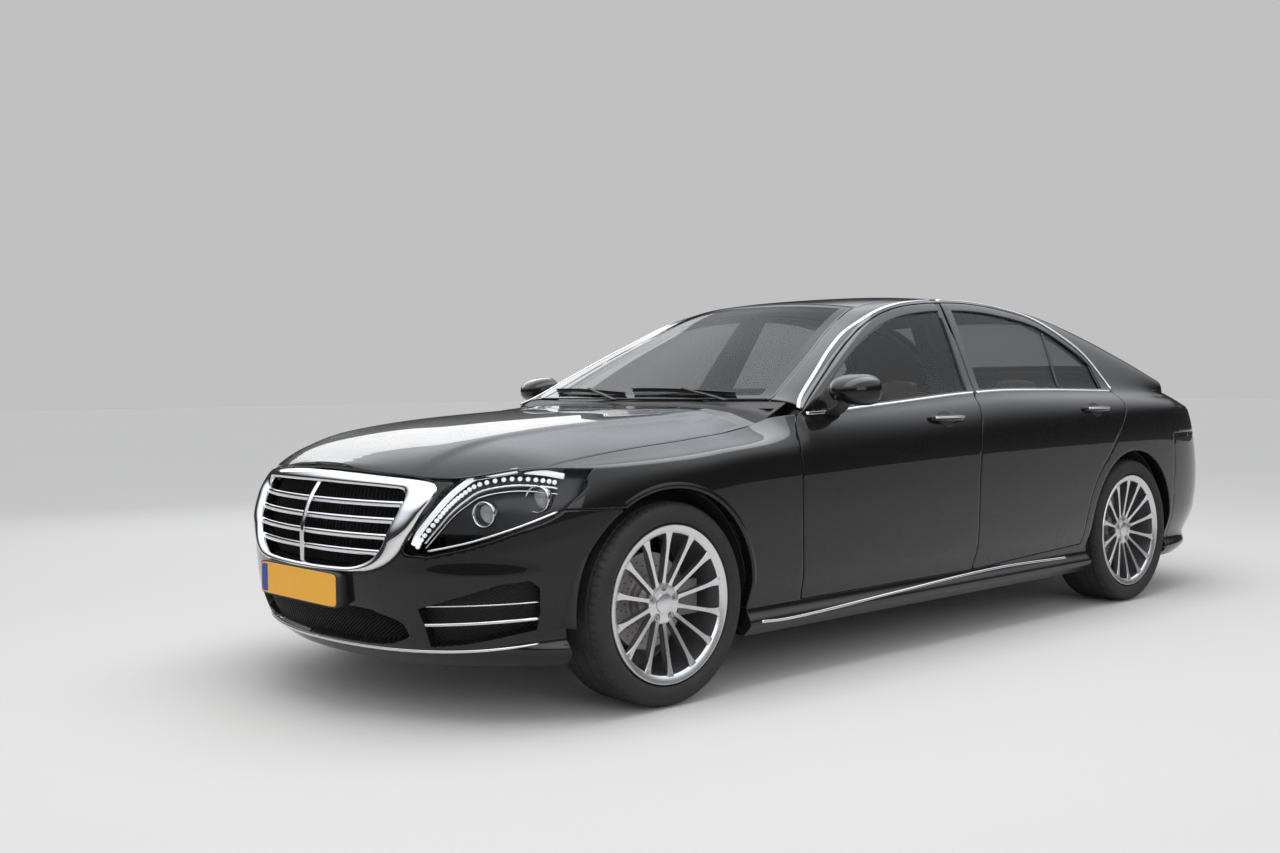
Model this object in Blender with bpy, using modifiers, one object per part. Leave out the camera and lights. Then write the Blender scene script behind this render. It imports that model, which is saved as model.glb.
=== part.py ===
"""Four-door long-wheelbase sedan car, modelled at full size in metres.

The car faces +X, its left side is +Y and +Z is up. The origin is on the ground,
under the middle of its length.
The outer skin follows one family of cross sections.
Doors, fenders, bonnet and bumpers are cut from it.
"""
import math

import bmesh
import bpy
import numpy as np
from mathutils import Matrix

# Driving dimensions of the whole car
FRONT_OVERHANG = 0.905
WHEELBASE = 3.165
REAR_OVERHANG = 1.176
WIDTH = 1.899
HEIGHT = 1.505
WHEEL_Y = 0.812
TYRE_RADIUS = 0.352
TYRE_WIDTH = 0.250
RIM_RADIUS = 0.273
RIM_FACE_Y = 0.926
SPOKES = 14

# Clearances
SHUT_GAP = 0.005
HINGE_GAP = 0.007
SEAT_GAP = 0.0004

LENGTH = FRONT_OVERHANG + WHEELBASE + REAR_OVERHANG
HALF_LENGTH = 0.5 * LENGTH
HALF_WIDTH = 0.5 * WIDTH
FRONT_AXLE_X = HALF_LENGTH - FRONT_OVERHANG
REAR_AXLE_X = FRONT_AXLE_X - WHEELBASE
ARCH_RADIUS = 1.13 * TYRE_RADIUS

for old in list(bpy.data.objects):
    bpy.data.objects.remove(old, do_unlink=True)

PARTS = bpy.data.collections.new("sedan_car")
CUTTERS = bpy.data.collections.new("cutters")
bpy.context.scene.collection.children.link(PARTS)
bpy.context.scene.collection.children.link(CUTTERS)


# Materials
def finish(name, colour, roughness, metallic):
    """A Principled material with one colour, roughness and metallic value."""
    material = bpy.data.materials.new(name)
    material.use_nodes = True
    shader = material.node_tree.nodes["Principled BSDF"]
    shader.inputs["Base Color"].default_value = (*colour, 1.0)
    shader.inputs["Roughness"].default_value = roughness
    shader.inputs["Metallic"].default_value = metallic
    return material


BLACK_PAINT = finish("black_paint", (0.012, 0.011, 0.012), 0.12, 0.0)
BLACK_PLASTIC = finish("black_plastic", (0.02, 0.02, 0.02), 0.55, 0.0)
CHROME = finish("chrome", (0.72, 0.72, 0.73), 0.12, 1.0)
GLASS = finish("tinted_glass", (0.05, 0.055, 0.055), 0.05, 0.0)
LAMP = finish("lamp_cover", (0.35, 0.37, 0.40), 0.08, 0.0)
RED_LAMP = finish("red_lamp", (0.35, 0.01, 0.01), 0.15, 0.0)
ALLOY = finish("alloy", (0.60, 0.60, 0.61), 0.25, 1.0)
RUBBER = finish("rubber", (0.018, 0.018, 0.018), 0.85, 0.0)
LEATHER = finish("leather", (0.20, 0.13, 0.08), 0.55, 0.0)
STEEL = finish("steel", (0.22, 0.22, 0.23), 0.45, 1.0)


# Mesh helpers
DRAFT_LEVELS = 5


def place(name, mesh, material, collection=PARTS):
    """Put a mesh into the scene as a named object with its material."""
    obj = bpy.data.objects.new(name, mesh)
    obj.data.materials.clear()
    obj.data.materials.append(material)
    collection.objects.link(obj)
    return obj


def as_cutter(obj):
    """Show an object as a wire guide that is not a piece of the car."""
    for collection in list(obj.users_collection):
        collection.objects.unlink(obj)
    CUTTERS.objects.link(obj)
    obj.hide_render = True
    obj.display_type = "WIRE"
    return obj


def boolean(obj, tool, operation):
    """Cut, keep or join one object with another, with the exact solver."""
    step = obj.modifiers.new(operation.lower(), "BOOLEAN")
    step.operation = operation
    step.object = as_cutter(tool)
    step.solver = "EXACT"
    return obj


def from_rings(name, rings, material, closed_ends=True):
    """A skin over a stack of closed rings with equal point counts, with its two ends capped.

    Each four-sided face is split on the diagonal that lies further forward, so that twisted
    faces of two cutters with the same outline agree.
    """
    rings = np.asarray(rings, dtype=float)
    count, around = rings.shape[:2]
    bm = bmesh.new()
    verts = [[bm.verts.new(point) for point in ring] for ring in rings]
    for i in range(count - 1):
        for j in range(around):
            k = (j + 1) % around
            a, b, c, d = verts[i][j], verts[i][k], verts[i + 1][k], verts[i + 1][j]
            ahead = a.co.x + c.co.x - b.co.x - d.co.x
            if abs(ahead) < SEAT_GAP:
                bm.faces.new((a, b, c, d))
            elif ahead > 0:
                bm.faces.new((a, b, c))
                bm.faces.new((a, c, d))
            else:
                bm.faces.new((a, b, d))
                bm.faces.new((b, c, d))
    if closed_ends:
        bm.faces.new(verts[0])
        bm.faces.new(verts[-1])
    else:
        for j in range(around):
            k = (j + 1) % around
            bm.faces.new((verts[-1][j], verts[-1][k], verts[0][k], verts[0][j]))
    bmesh.ops.recalc_face_normals(bm, faces=bm.faces)
    mesh = bpy.data.meshes.new(name)
    bm.to_mesh(mesh)
    bm.free()
    return place(name, mesh, material)


def block(name, outer, inner, material):
    """The solid between two grids of points: an outer skin and the inner face behind it."""
    outer = np.asarray(outer, dtype=float)
    inner = np.asarray(inner, dtype=float)
    rows, columns = outer.shape[:2]
    bm = bmesh.new()
    front = [[bm.verts.new(outer[i, j]) for j in range(columns)] for i in range(rows)]
    back = [[bm.verts.new(inner[i, j]) for j in range(columns)] for i in range(rows)]
    for i in range(rows - 1):
        for j in range(columns - 1):
            bm.faces.new((front[i][j], front[i + 1][j], front[i + 1][j + 1], front[i][j + 1]))
            bm.faces.new((back[i][j], back[i][j + 1], back[i + 1][j + 1], back[i + 1][j]))
    edge = [(i, 0) for i in range(rows)] + [(rows - 1, j) for j in range(1, columns)]
    edge += [(i, columns - 1) for i in range(rows - 2, -1, -1)] + [(0, j) for j in range(columns - 2, 0, -1)]
    for (i, j), (k, m) in zip(edge, edge[1:] + edge[:1]):
        bm.faces.new((front[i][j], back[i][j], back[k][m], front[k][m]))
    bmesh.ops.recalc_face_normals(bm, faces=bm.faces)
    mesh = bpy.data.meshes.new(name)
    bm.to_mesh(mesh)
    bm.free()
    return place(name, mesh, material)


def normals_of(points, facing):
    """Unit normals of a grid of points, turned to the side that facing points to."""
    points = np.asarray(points, dtype=float)
    normal = np.cross(np.gradient(points, axis=0), np.gradient(points, axis=1))
    length = np.linalg.norm(normal, axis=2, keepdims=True)
    normal = normal / np.maximum(length, np.finfo(float).tiny)
    if (normal.reshape(-1, 3).mean(axis=0) * np.array(facing)).sum() < 0:
        normal = -normal
    return normal


def upright_edges(normals, columns):
    """Normals whose given columns have no sideways part, so that the edges meet a neighbour squarely."""
    for column in columns:
        normals[:, column, 1] = 0.0
        normals[:, column] /= np.linalg.norm(normals[:, column], axis=1, keepdims=True)
    return normals


def shell(name, outer, wall, facing, material, square_columns=()):
    """A curved sheet of the given wall behind a grid of points."""
    outer = np.asarray(outer, dtype=float)
    wall = np.broadcast_to(np.asarray(wall, dtype=float), outer.shape[:2])
    normals = upright_edges(normals_of(outer, facing), square_columns)
    return block(name, outer, outer - wall[..., None] * normals, material)


def box(name, low, high, material, bevel=0.0):
    """A box between two corners, with its edges rounded where a bevel is given."""
    low = np.array(low, dtype=float)
    high = np.array(high, dtype=float)
    bpy.ops.mesh.primitive_cube_add(size=1.0)
    obj = bpy.context.active_object
    obj.data.transform(Matrix.Diagonal((*(high - low), 1.0)))
    obj.data.transform(Matrix.Translation(0.5 * (low + high)))
    obj.name = name
    obj.data.materials.append(material)
    for collection in list(obj.users_collection):
        collection.objects.unlink(obj)
    PARTS.objects.link(obj)
    if bevel:
        step = obj.modifiers.new("rounded", "BEVEL")
        step.width = bevel
        step.segments = 2
    return obj


def prism(name, outline, normal_axis, low, high, turn=0.0, slope=None):
    """A cutter: an outline in the plane across normal_axis, swept from low to high.

    The outline's points are (x, z) across Y and (y, z) across X. A turn rotates the cutter about Z.
    slope moves each point along its first coordinate, per unit of the sweep, to draft the cut.
    """
    outline = np.array(outline, dtype=float)
    levels = (low, high) if slope is None else np.linspace(low, high, DRAFT_LEVELS)
    slope = np.zeros(len(outline)) if slope is None else np.array(slope, dtype=float)
    rings = []
    for level in levels:
        first = outline[:, 0] + slope * level
        along = np.full(len(outline), float(level))
        columns = (first, along, outline[:, 1]) if normal_axis == "Y" else (along, first, outline[:, 1])
        rings.append(np.stack(columns, axis=1))
    obj = from_rings(name, rings, BLACK_PLASTIC)
    if turn:
        obj.data.transform(Matrix.Rotation(turn, 4, "Z"))
    return as_cutter(obj)


def turned(name, profile, centre, material, segments):
    """A solid of revolution about the Y axis through centre, from a closed profile of (radius, y) points."""
    profile = np.array(profile, dtype=float)
    angles = np.arange(segments) * (2.0 * math.pi / segments) - 0.5 * math.pi
    rings = []
    for angle in angles:
        x = centre[0] + profile[:, 0] * math.cos(angle)
        z = centre[2] + profile[:, 0] * math.sin(angle)
        rings.append(np.stack([x, centre[1] + profile[:, 1], z], axis=1))
    return from_rings(name, rings, material, closed_ends=False)


def rod(name, start, end, radius, material, sides=12):
    """A round bar between two points."""
    start = np.array(start, dtype=float)
    end = np.array(end, dtype=float)
    span = end - start
    bpy.ops.mesh.primitive_cylinder_add(vertices=sides, radius=radius, depth=float(np.linalg.norm(span)))
    obj = bpy.context.active_object
    z_axis = span / np.linalg.norm(span)
    spare = np.array((1.0, 0.0, 0.0)) if abs(z_axis[2]) > 0.5 else np.array((0.0, 0.0, 1.0))
    x_axis = np.cross(spare, z_axis)
    x_axis = x_axis / np.linalg.norm(x_axis)
    y_axis = np.cross(z_axis, x_axis)
    middle = 0.5 * (start + end)
    frame = Matrix([[x_axis[i], y_axis[i], z_axis[i], middle[i]] for i in range(3)] + [[0.0, 0.0, 0.0, 1.0]])
    obj.data.transform(frame)
    obj.name = name
    obj.data.materials.append(material)
    for collection in list(obj.users_collection):
        collection.objects.unlink(obj)
    PARTS.objects.link(obj)
    return obj


def twin(obj, name):
    """The right-hand piece: the finished left-hand one mirrored across the middle of the car."""
    graph = bpy.context.evaluated_depsgraph_get()
    mesh = bpy.data.meshes.new_from_object(obj.evaluated_get(graph))
    mesh.transform(obj.matrix_world)
    mesh.transform(Matrix.Scale(-1.0, 4, (0.0, 1.0, 0.0)))
    mesh.flip_normals()
    mesh.name = name
    return place(name, mesh, obj.data.materials[0])


def carried_at(obj, point):
    """Move an object's origin to a point on its joint's axis, leaving its shape where it is."""
    obj.data.transform(Matrix.Translation([-value for value in point]))
    obj.location = point
    return obj


def inset(outline, distance):
    """An outline moved inwards by a distance, or by one for each point, and outwards where it is negative."""
    points = np.array(outline, dtype=float)
    distance = np.broadcast_to(np.asarray(distance, dtype=float), len(points))
    area = np.sum(points[:, 0] * np.roll(points[:, 1], -1) - np.roll(points[:, 0], -1) * points[:, 1])
    before = points - np.roll(points, 1, axis=0)
    after = np.roll(points, -1, axis=0) - points
    before = before / np.linalg.norm(before, axis=1, keepdims=True)
    after = after / np.linalg.norm(after, axis=1, keepdims=True)
    turn = math.copysign(1.0, area)
    side_a = turn * np.stack([-before[:, 1], before[:, 0]], axis=1)
    side_b = turn * np.stack([-after[:, 1], after[:, 0]], axis=1)
    both = side_a + side_b
    both = both / np.linalg.norm(both, axis=1, keepdims=True)
    reach = distance / np.maximum(np.sum(both * side_a, axis=1), 0.5)
    return points + both * reach[:, None]


# Outer skin
def smooth_curve(knots, values, at):
    """A smooth curve through knots that never overshoots them: cubic pieces with harmonic mean slopes."""
    knots = np.asarray(knots, dtype=float)
    values = np.asarray(values, dtype=float)
    step = np.diff(knots)
    slope = np.diff(values) / step
    tangent = np.zeros(len(knots))
    tangent[0] = slope[0]
    tangent[-1] = slope[-1]
    product = slope[:-1] * slope[1:]
    total = slope[:-1] + slope[1:]
    tangent[1:-1] = np.where(product > 0, 2.0 * product / np.where(total == 0, 1.0, total), 0.0)
    at = np.clip(at, knots[0], knots[-1])
    i = np.clip(np.searchsorted(knots, at) - 1, 0, len(step) - 1)
    t = (at - knots[i]) / step[i]
    start = values[i] * (1.0 + 2.0 * t) + step[i] * tangent[i] * t
    finish_value = values[i + 1] * (3.0 - 2.0 * t) + step[i] * tangent[i + 1] * (t - 1.0)
    return start * (1.0 - t) ** 2 + finish_value * t ** 2


def follow(shares, at, size, along=HALF_LENGTH):
    """A size at a place, from a table of (share of along, share of size) pairs."""
    table = np.array(shares)
    return smooth_curve(table[:, 0] * along, table[:, 1] * size, at)


# Half width of the side at each height, nose and tail in side view
side_shares = ((0.123, 0.932), (0.156, 0.978), (0.190, 0.948), (0.266, 0.986), (0.365, 0.996), (0.452, 1.0),
               (0.531, 0.998), (0.65, 0.985))
nose_shares = ((0.123, 0.950), (0.166, 0.976), (0.233, 0.991), (0.30, 0.995), (0.40, 0.995), (0.465, 0.985),
               (0.520, 0.965), (0.552, 0.949))
tail_shares = ((0.123, 0.940), (0.166, 0.955), (0.266, 0.990), (0.365, 1.0), (0.465, 0.993), (0.565, 0.977),
               (0.665, 0.957), (0.71, 0.945))
NOSE_START_X = 0.34 * HALF_LENGTH
TAIL_START_X = -0.34 * HALF_LENGTH
NOSE_POWER = 6.0
TAIL_POWER = 8.0

# Feature lines along the car, front to back: crease, belt or bonnet line, roof rail and glass edge
crease_z_shares = ((-0.99, 0.618), (-0.91, 0.625), (-0.76, 0.630), (-0.61, 0.631), (-0.46, 0.628),
                   (-0.23, 0.621),
                   (0.0, 0.611), (0.24, 0.597), (0.40, 0.585), (0.52, 0.575), (0.61, 0.560), (0.76, 0.551),
                   (0.82, 0.556), (0.877, 0.542), (0.909, 0.528), (0.925, 0.530), (0.950, 0.551))
belt_y_shares = ((-1.0, 0.80), (-0.93, 0.830), (-0.84, 0.855), (-0.74, 0.876), (-0.65, 0.888), (-0.52, 0.886),
                 (0.0, 0.890), (0.37, 0.922), (0.40, 0.890), (0.42, 0.855), (0.46, 0.843), (1.0, 0.843))
belt_z_shares = ((-1.0, 0.635), (-0.93, 0.645), (-0.84, 0.664), (-0.74, 0.675), (-0.65, 0.683), (-0.52,
                                                                                                 0.691),
                 (-0.18, 0.700), (-0.06, 0.694), (0.13, 0.674), (0.21, 0.666), (0.37, 0.652), (0.40, 0.656),
                 (0.42, 0.648), (0.46, 0.627), (0.52, 0.615))
rail_z_shares = ((-1.0, 0.64), (-0.84, 0.680), (-0.743, 0.722), (-0.686, 0.768), (-0.61, 0.822), (-0.534,
                                                                                                  0.871),
                 (-0.457, 0.915), (-0.38, 0.944), (-0.305, 0.962), (-0.21, 0.972), (-0.118, 0.971),
                 (-0.057, 0.964), (0.005, 0.952), (0.071, 0.925), (0.145, 0.879), (0.223, 0.815), (0.304,
                                                                                                   0.735),
                 (0.374, 0.664))
edge_y_shares = ((-1.0, 0.655), (-0.84, 0.653), (-0.762, 0.625), (-0.735, 0.606), (-0.648, 0.566), (-0.572,
                                                                                                    0.530),
                 (-0.477, 0.500), (-0.38, 0.515), (-0.19, 0.527), (0.072, 0.530), (0.152, 0.566), (0.229,
                                                                                                   0.641),
                 (0.374, 0.751))
edge_z_shares = ((-1.0, 0.68), (-0.869, 0.705), (-0.762, 0.735), (-0.735, 0.767), (-0.648, 0.832), (-0.572,
                                                                                                    0.885),
                 (-0.477, 0.932), (-0.38, 0.963), (-0.19, 0.984), (-0.04, 0.977), (0.072, 0.950), (0.152,
                                                                                                   0.887),
                 (0.229, 0.820), (0.374, 0.683))
roof_z_shares = ((-0.477, 0.948), (-0.38, 0.975), (-0.26, 0.994), (-0.15, 1.0), (-0.04, 0.990), (0.10, 0.963))
bonnet_z_shares = ((0.40, 0.684), (0.44, 0.676), (0.53, 0.667), (0.61, 0.660), (0.70, 0.649), (0.76, 0.638),
                   (0.82, 0.623), (0.87, 0.606), (0.91, 0.587), (0.935, 0.569), (0.950, 0.551))
deck_z_shares = ((-0.965, 0.690), (-0.945, 0.704), (-0.915, 0.719), (-0.87, 0.733), (-0.80, 0.755),
                 (-0.762, 0.768))
crown_power_shares = ((0.40, 9.0), (0.43, 6.5), (0.47, 4.2), (0.53, 3.2), (1.0, 3.0))

TUMBLEHOME_SLOPE = 0.61
BELT_PLANE_Z = 0.684 * HEIGHT
BELT_PLANE_Y = 0.893 * HALF_WIDTH
DECK_POWER = 3.4


def half_width_at(z):
    """Half width of the middle of the car at a height below the crease."""
    return follow(side_shares, z, HALF_WIDTH, along=HEIGHT)


def plan_taper(x, z):
    """Share of the half width that is left at x, as nose and tail round off in plan: (1 - t^p)^(1/2)."""
    nose = (x - NOSE_START_X) / (follow(nose_shares, z, HALF_LENGTH, along=HEIGHT) - NOSE_START_X)
    tail = (x - TAIL_START_X) / (-follow(tail_shares, z, HALF_LENGTH, along=HEIGHT) - TAIL_START_X)
    front = np.sqrt(1.0 - np.clip(nose, 0.0, 1.0) ** NOSE_POWER)
    back = np.sqrt(1.0 - np.clip(tail, 0.0, 1.0) ** TAIL_POWER)
    return np.minimum(front, back)


def glass_plane_y(z):
    """Half width of the side windows' plane at a height."""
    return BELT_PLANE_Y - TUMBLEHOME_SLOPE * (z - BELT_PLANE_Z)


crease_share = 0.976


def crease(x):
    """Half width and height of the crease that runs along the side."""
    z = follow(crease_z_shares, x, HEIGHT)
    return crease_share * HALF_WIDTH * plan_taper(x, z), z


def bonnet_height(x, y):
    """Height of the bonnet and fender tops: centre height less the drop times (y / edge) to a power."""
    centre = follow(bonnet_z_shares, x, HEIGHT)
    edge_y, edge_z = crease(x)
    power = follow(crown_power_shares, x, 1.0)
    share = np.clip(np.abs(y) / np.maximum(edge_y, SHUT_GAP), 0.0, 1.0)
    return centre - (centre - edge_z) * share ** power


def deck_height(x, y):
    """Height of the boot deck and of the quarter panels beside it."""
    centre = follow(deck_z_shares, x, HEIGHT)
    edge_y, edge_z = crease(x)
    share = np.clip(np.abs(y) / np.maximum(edge_y, SHUT_GAP), 0.0, 1.0)
    return centre - (centre - edge_z) * share ** DECK_POWER


# Rows of a side section, from the sill's underside up to the windscreen, roof or rear window edge
(SILL_BOTTOM, SKIRT, SEAM, LOWER, MIDDLE, WIDEST, UPPER, CREASE, STRIP, BELT, PLANE, RAIL, TURN,
 EDGE) = range(14)
low_row_shares = (0.123, 0.156, 0.190, 0.266, 0.365, 0.452)
upper_row_share = 0.073
strip_share = 0.55
turn_share = 0.42
deck_row_shares = (0.12, 0.30, 0.50, 0.68, 0.85, 1.0)
BOOT_HALF = 0.640 * HALF_WIDTH
FENDER_END_X = 0.38 * HALF_LENGTH
DECK_START_X = -0.762 * HALF_LENGTH


def section(x):
    """The fourteen (y, z) feature points of the left side at one place along the car."""
    rows = []
    for share in low_row_shares:
        z = share * HEIGHT
        rows.append((half_width_at(z) * plan_taper(x, z), z))
    edge_y, edge_z = crease(x)
    z = edge_z - upper_row_share * HEIGHT
    z = max(z, rows[-1][1] + 0.02 * HEIGHT)
    rows.append((half_width_at(z) * plan_taper(x, z), z))
    rows.append((edge_y, edge_z))
    if x > FENDER_END_X:
        belt_y = min(follow(belt_y_shares, x, HALF_WIDTH), 0.99 * edge_y)
        belt_z = bonnet_height(x, belt_y)
        strip_y = edge_y + strip_share * (belt_y - edge_y)
        strip_z = bonnet_height(x, strip_y)
        mix = np.clip((x - FENDER_END_X) / (0.08 * HALF_LENGTH), 0.0, 1.0)
        cabin_z = follow(belt_z_shares, x, HEIGHT)
        belt_z = mix * belt_z + (1.0 - mix) * cabin_z
        strip_z = mix * strip_z + (1.0 - mix) * (edge_z + 0.62 * (cabin_z - edge_z))
        rows.append((strip_y, strip_z))
        rows += [(belt_y, belt_z)] * 5
        return np.array(rows)
    belt_y = follow(belt_y_shares, x, HALF_WIDTH)
    belt_z = follow(belt_z_shares, x, HEIGHT)
    if x < DECK_START_X:
        for share in deck_row_shares:
            y = edge_y + share * (BOOT_HALF + SHUT_GAP - edge_y)
            rows.append((y, deck_height(x, y)))
        return np.array(rows)
    rows.append((edge_y + 0.42 * (belt_y - edge_y), edge_z + 0.62 * (belt_z - edge_z)))
    glass_y = follow(edge_y_shares, x, HALF_WIDTH)
    glass_z = follow(edge_z_shares, x, HEIGHT)
    rows.append((belt_y, belt_z))
    rail_z = follow(rail_z_shares, x, HEIGHT)
    rail_y = glass_plane_y(rail_z)
    rows.append((0.5 * (belt_y + rail_y) + 0.006 * HALF_WIDTH, 0.5 * (belt_z + rail_z)))
    rows.append((rail_y, rail_z))
    rows.append((rail_y + turn_share * (glass_y - rail_y), rail_z + 0.68 * (glass_z - rail_z)))
    rows.append((glass_y, glass_z))
    return np.array(rows)


def side_surface(stations, levels):
    """Points of the left side at places along the car and at row numbers, which may lie between rows."""
    grid = np.zeros((len(stations), len(levels), 3))
    for i, x in enumerate(stations):
        rows = section(x)
        numbers = np.arange(len(rows))
        grid[i, :, 0] = x
        grid[i, :, 1] = smooth_curve(numbers, rows[:, 0], np.array(levels, dtype=float))
        grid[i, :, 2] = smooth_curve(numbers, rows[:, 1], np.array(levels, dtype=float))
    return grid


def end_surface(angles, levels, front):
    """Points of the nose or tail below the crease, by the angle round the end and the row number.

    x runs from the start of the taper to the end by cos(angle)^(2/p), and y is the half width by sin(angle).
    """
    shares = nose_shares if front else tail_shares
    start = NOSE_START_X if front else TAIL_START_X
    power = NOSE_POWER if front else TAIL_POWER
    side = 1.0 if front else -1.0
    grid = np.zeros((len(angles), len(levels), 3))
    for i, angle in enumerate(angles):
        reach = math.cos(angle) ** (2.0 / power)
        crease_z = 0.55 * HEIGHT
        for _ in range(6):
            end = side * follow(shares, crease_z, HALF_LENGTH, along=HEIGHT)
            crease_z = float(follow(crease_z_shares, start + (end - start) * reach, HEIGHT))
        heights = [share * HEIGHT for share in low_row_shares]
        upper_z = max(crease_z - upper_row_share * HEIGHT, heights[-1] + 0.02 * HEIGHT)
        heights += [upper_z, crease_z]
        heights = np.array(heights)
        half = half_width_at(heights)
        half[-1] = crease_share * HALF_WIDTH
        ends = side * follow(shares, heights, HALF_LENGTH, along=HEIGHT)
        rows = np.stack([start + (ends - start) * reach, half * math.sin(angle), heights], axis=1)
        for axis in range(3):
            grid[i, :, axis] = smooth_curve(np.arange(len(rows)), rows[:, axis], np.array(levels,
                                                                                          dtype=float))
    return grid


# Shut lines in side view, as (x, z) shares of the half length and of the height
door_front_shares = ((0.3905, 0.1914), (0.3960, 0.2500), (0.3995, 0.2930), (0.4034, 0.3920), (0.4045, 0.4920),
                     (0.4003, 0.5910), (0.3900, 0.6350))
door_split_shares = ((-0.0385, 0.1914), (-0.0385, 0.2550), (-0.0368, 0.3340), (-0.0368, 0.4480),
                     (-0.0427, 0.5340), (-0.0511, 0.5980), (-0.0602, 0.6280), (-0.0694, 0.6780),
                     (-0.0823, 0.6980))
door_top_shares = ((0.3820, 0.6520), (0.3550, 0.6810), (0.3038, 0.7330), (0.2230, 0.8120), (0.1445, 0.8780),
                   (0.0713, 0.9240), (0.0050, 0.9500), (-0.0572, 0.9630), (-0.1222, 0.9700), (-0.2100,
                                                                                              0.9710),
                   (-0.3010, 0.9570), (-0.3890, 0.9280), (-0.4610, 0.8640), (-0.5030, 0.8070), (-0.5280,
                                                                                                0.7310),
                   (-0.5370, 0.6950))
door_rear_shares = ((-0.5390, 0.6480), (-0.5260, 0.6150), (-0.5010, 0.5670))
SEAM_Z = 0.1914 * HEIGHT
DOOR_ARCH_RADIUS = 1.145 * ARCH_RADIUS
arch_angle_shares = (0.62, 0.50, 0.38, 0.26, 0.14, 0.04)


def scaled(shares):
    """A table of (x, z) shares as points in side view."""
    return np.array(shares) * (HALF_LENGTH, HEIGHT)


door_front = scaled(door_front_shares)
door_split = scaled(door_split_shares)
door_top = scaled(door_top_shares)
door_rear = scaled(door_rear_shares)
split_top = 8
front_door_top = door_top[:split_top + 1]
rear_door_top = door_top[split_top:]
arch_angles = np.array(arch_angle_shares) * 0.5 * math.pi
door_arch = np.stack([REAR_AXLE_X + DOOR_ARCH_RADIUS * np.cos(arch_angles),
                      TYRE_RADIUS + DOOR_ARCH_RADIUS * np.sin(arch_angles)], axis=1)
arch_foot = np.array([[REAR_AXLE_X + DOOR_ARCH_RADIUS, SEAM_Z + 0.022 * HEIGHT]])

split_upper = np.linspace(door_split[-1], front_door_top[-1], 5)[1:-1]

FRONT_DOOR = np.concatenate([door_front, front_door_top, split_upper[::-1], door_split[::-1]])
REAR_DOOR = np.concatenate([door_split, split_upper, rear_door_top, door_rear, door_arch, arch_foot])


def skin_y(x, z):
    """Half width of the skin at a point in side view."""
    rows = section(x)
    return float(np.interp(z, rows[:, 1], rows[:, 0]))


# Doors
DOOR_FRAME_WALL = 0.040
LOWER_DRAFT = 0.15
FRAME_DRAFT = 0.40
AXIS_BEHIND_SHUT = 0.055
HINGE_SET_IN = 0.0145
HINGE_Y = HALF_WIDTH - HINGE_SET_IN
PIN_RADIUS = 0.006
HINGE_ARM = 0.008
HINGE_HEIGHT = 0.040
PILLAR_Y = 0.775
HANDLE_LENGTH = 0.235
HANDLE_HEIGHT = 0.028
HANDLE_STAND = 0.030
GLASS_SET_IN = 0.012
GLASS_WALL = 0.005
WINDOW_RIM = 0.042
WINDOW_SILL = 0.014
door_depth_shares = (0.085, 0.105, 0.112, 0.118, 0.112, 0.100, 0.080, 0.060)
hinge_z_shares = (0.375, 0.525)
FRONT_HINGE_X = float(np.interp(0.45, [p[1] for p in door_front_shares], [p[0] for p in door_front_shares]))
FRONT_HINGE_X = FRONT_HINGE_X * HALF_LENGTH - AXIS_BEHIND_SHUT
REAR_HINGE_X = float(door_split[3][0]) - AXIS_BEHIND_SHUT
HINGE_ZS = [share * HEIGHT for share in hinge_z_shares]


def drafted(name, outline, drafts):
    """A door's cutter: its outline at the skin, drawn in towards the car by a draft at each point."""
    skin = np.array([skin_y(x, z) for x, z in outline])
    drafts = np.array(drafts, dtype=float)
    points = np.array(outline, dtype=float)
    points[:, 0] = points[:, 0] + drafts * skin
    return prism(name, points, "Y", 0.52 * HALF_WIDTH, 1.02 * HALF_WIDTH, slope=-drafts)


def door_block(name, stations):
    """The whole thickness of the left side where a door is: deep below the belt, thin at the window frame."""
    low = [1.85, 3, 4, 5, 6, 7, 8, 9]
    high = [9.12, 10, 11, 11.45]
    outer = side_surface(stations, low + high)
    inner = outer.copy()
    inner[:, :len(low), 1] -= np.array(door_depth_shares)
    inner[:, len(low):, 1] -= DOOR_FRAME_WALL
    return block(name, outer, inner, BLACK_PAINT)


def window_outline(front_x, back_x, front_lean, back_lean, top):
    """A window's outline in side view: the belt, the leaning pillars and the door's top edge."""
    xs = np.linspace(front_x, back_x, 9)
    upper_xs = xs + np.linspace(front_lean, back_lean, len(xs))
    top_z = np.interp(-upper_xs, -top[:, 0], top[:, 1]) - WINDOW_RIM
    belt_z = follow(belt_z_shares, xs, HEIGHT) + WINDOW_SILL
    upper = np.stack([upper_xs, top_z], axis=1)[::-1]
    lower = np.stack([xs, belt_z], axis=1)
    return np.concatenate([lower, upper[upper[:, 1] > belt_z[::-1] + WINDOW_SILL]])


def hinge_pocket(name, x, z, shut_x):
    """The room in a door's front edge in which a hinge arm swings."""
    low = (x - 1.5 * HINGE_ARM, 0.6 * HALF_WIDTH, z - 0.5 * HINGE_HEIGHT - SEAT_GAP)
    high = (shut_x + HINGE_GAP, HINGE_Y + PIN_RADIUS + 0.25 * PIN_RADIUS, z + 0.5 * HINGE_HEIGHT + SEAT_GAP)
    return box(name, low, high, STEEL)


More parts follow.
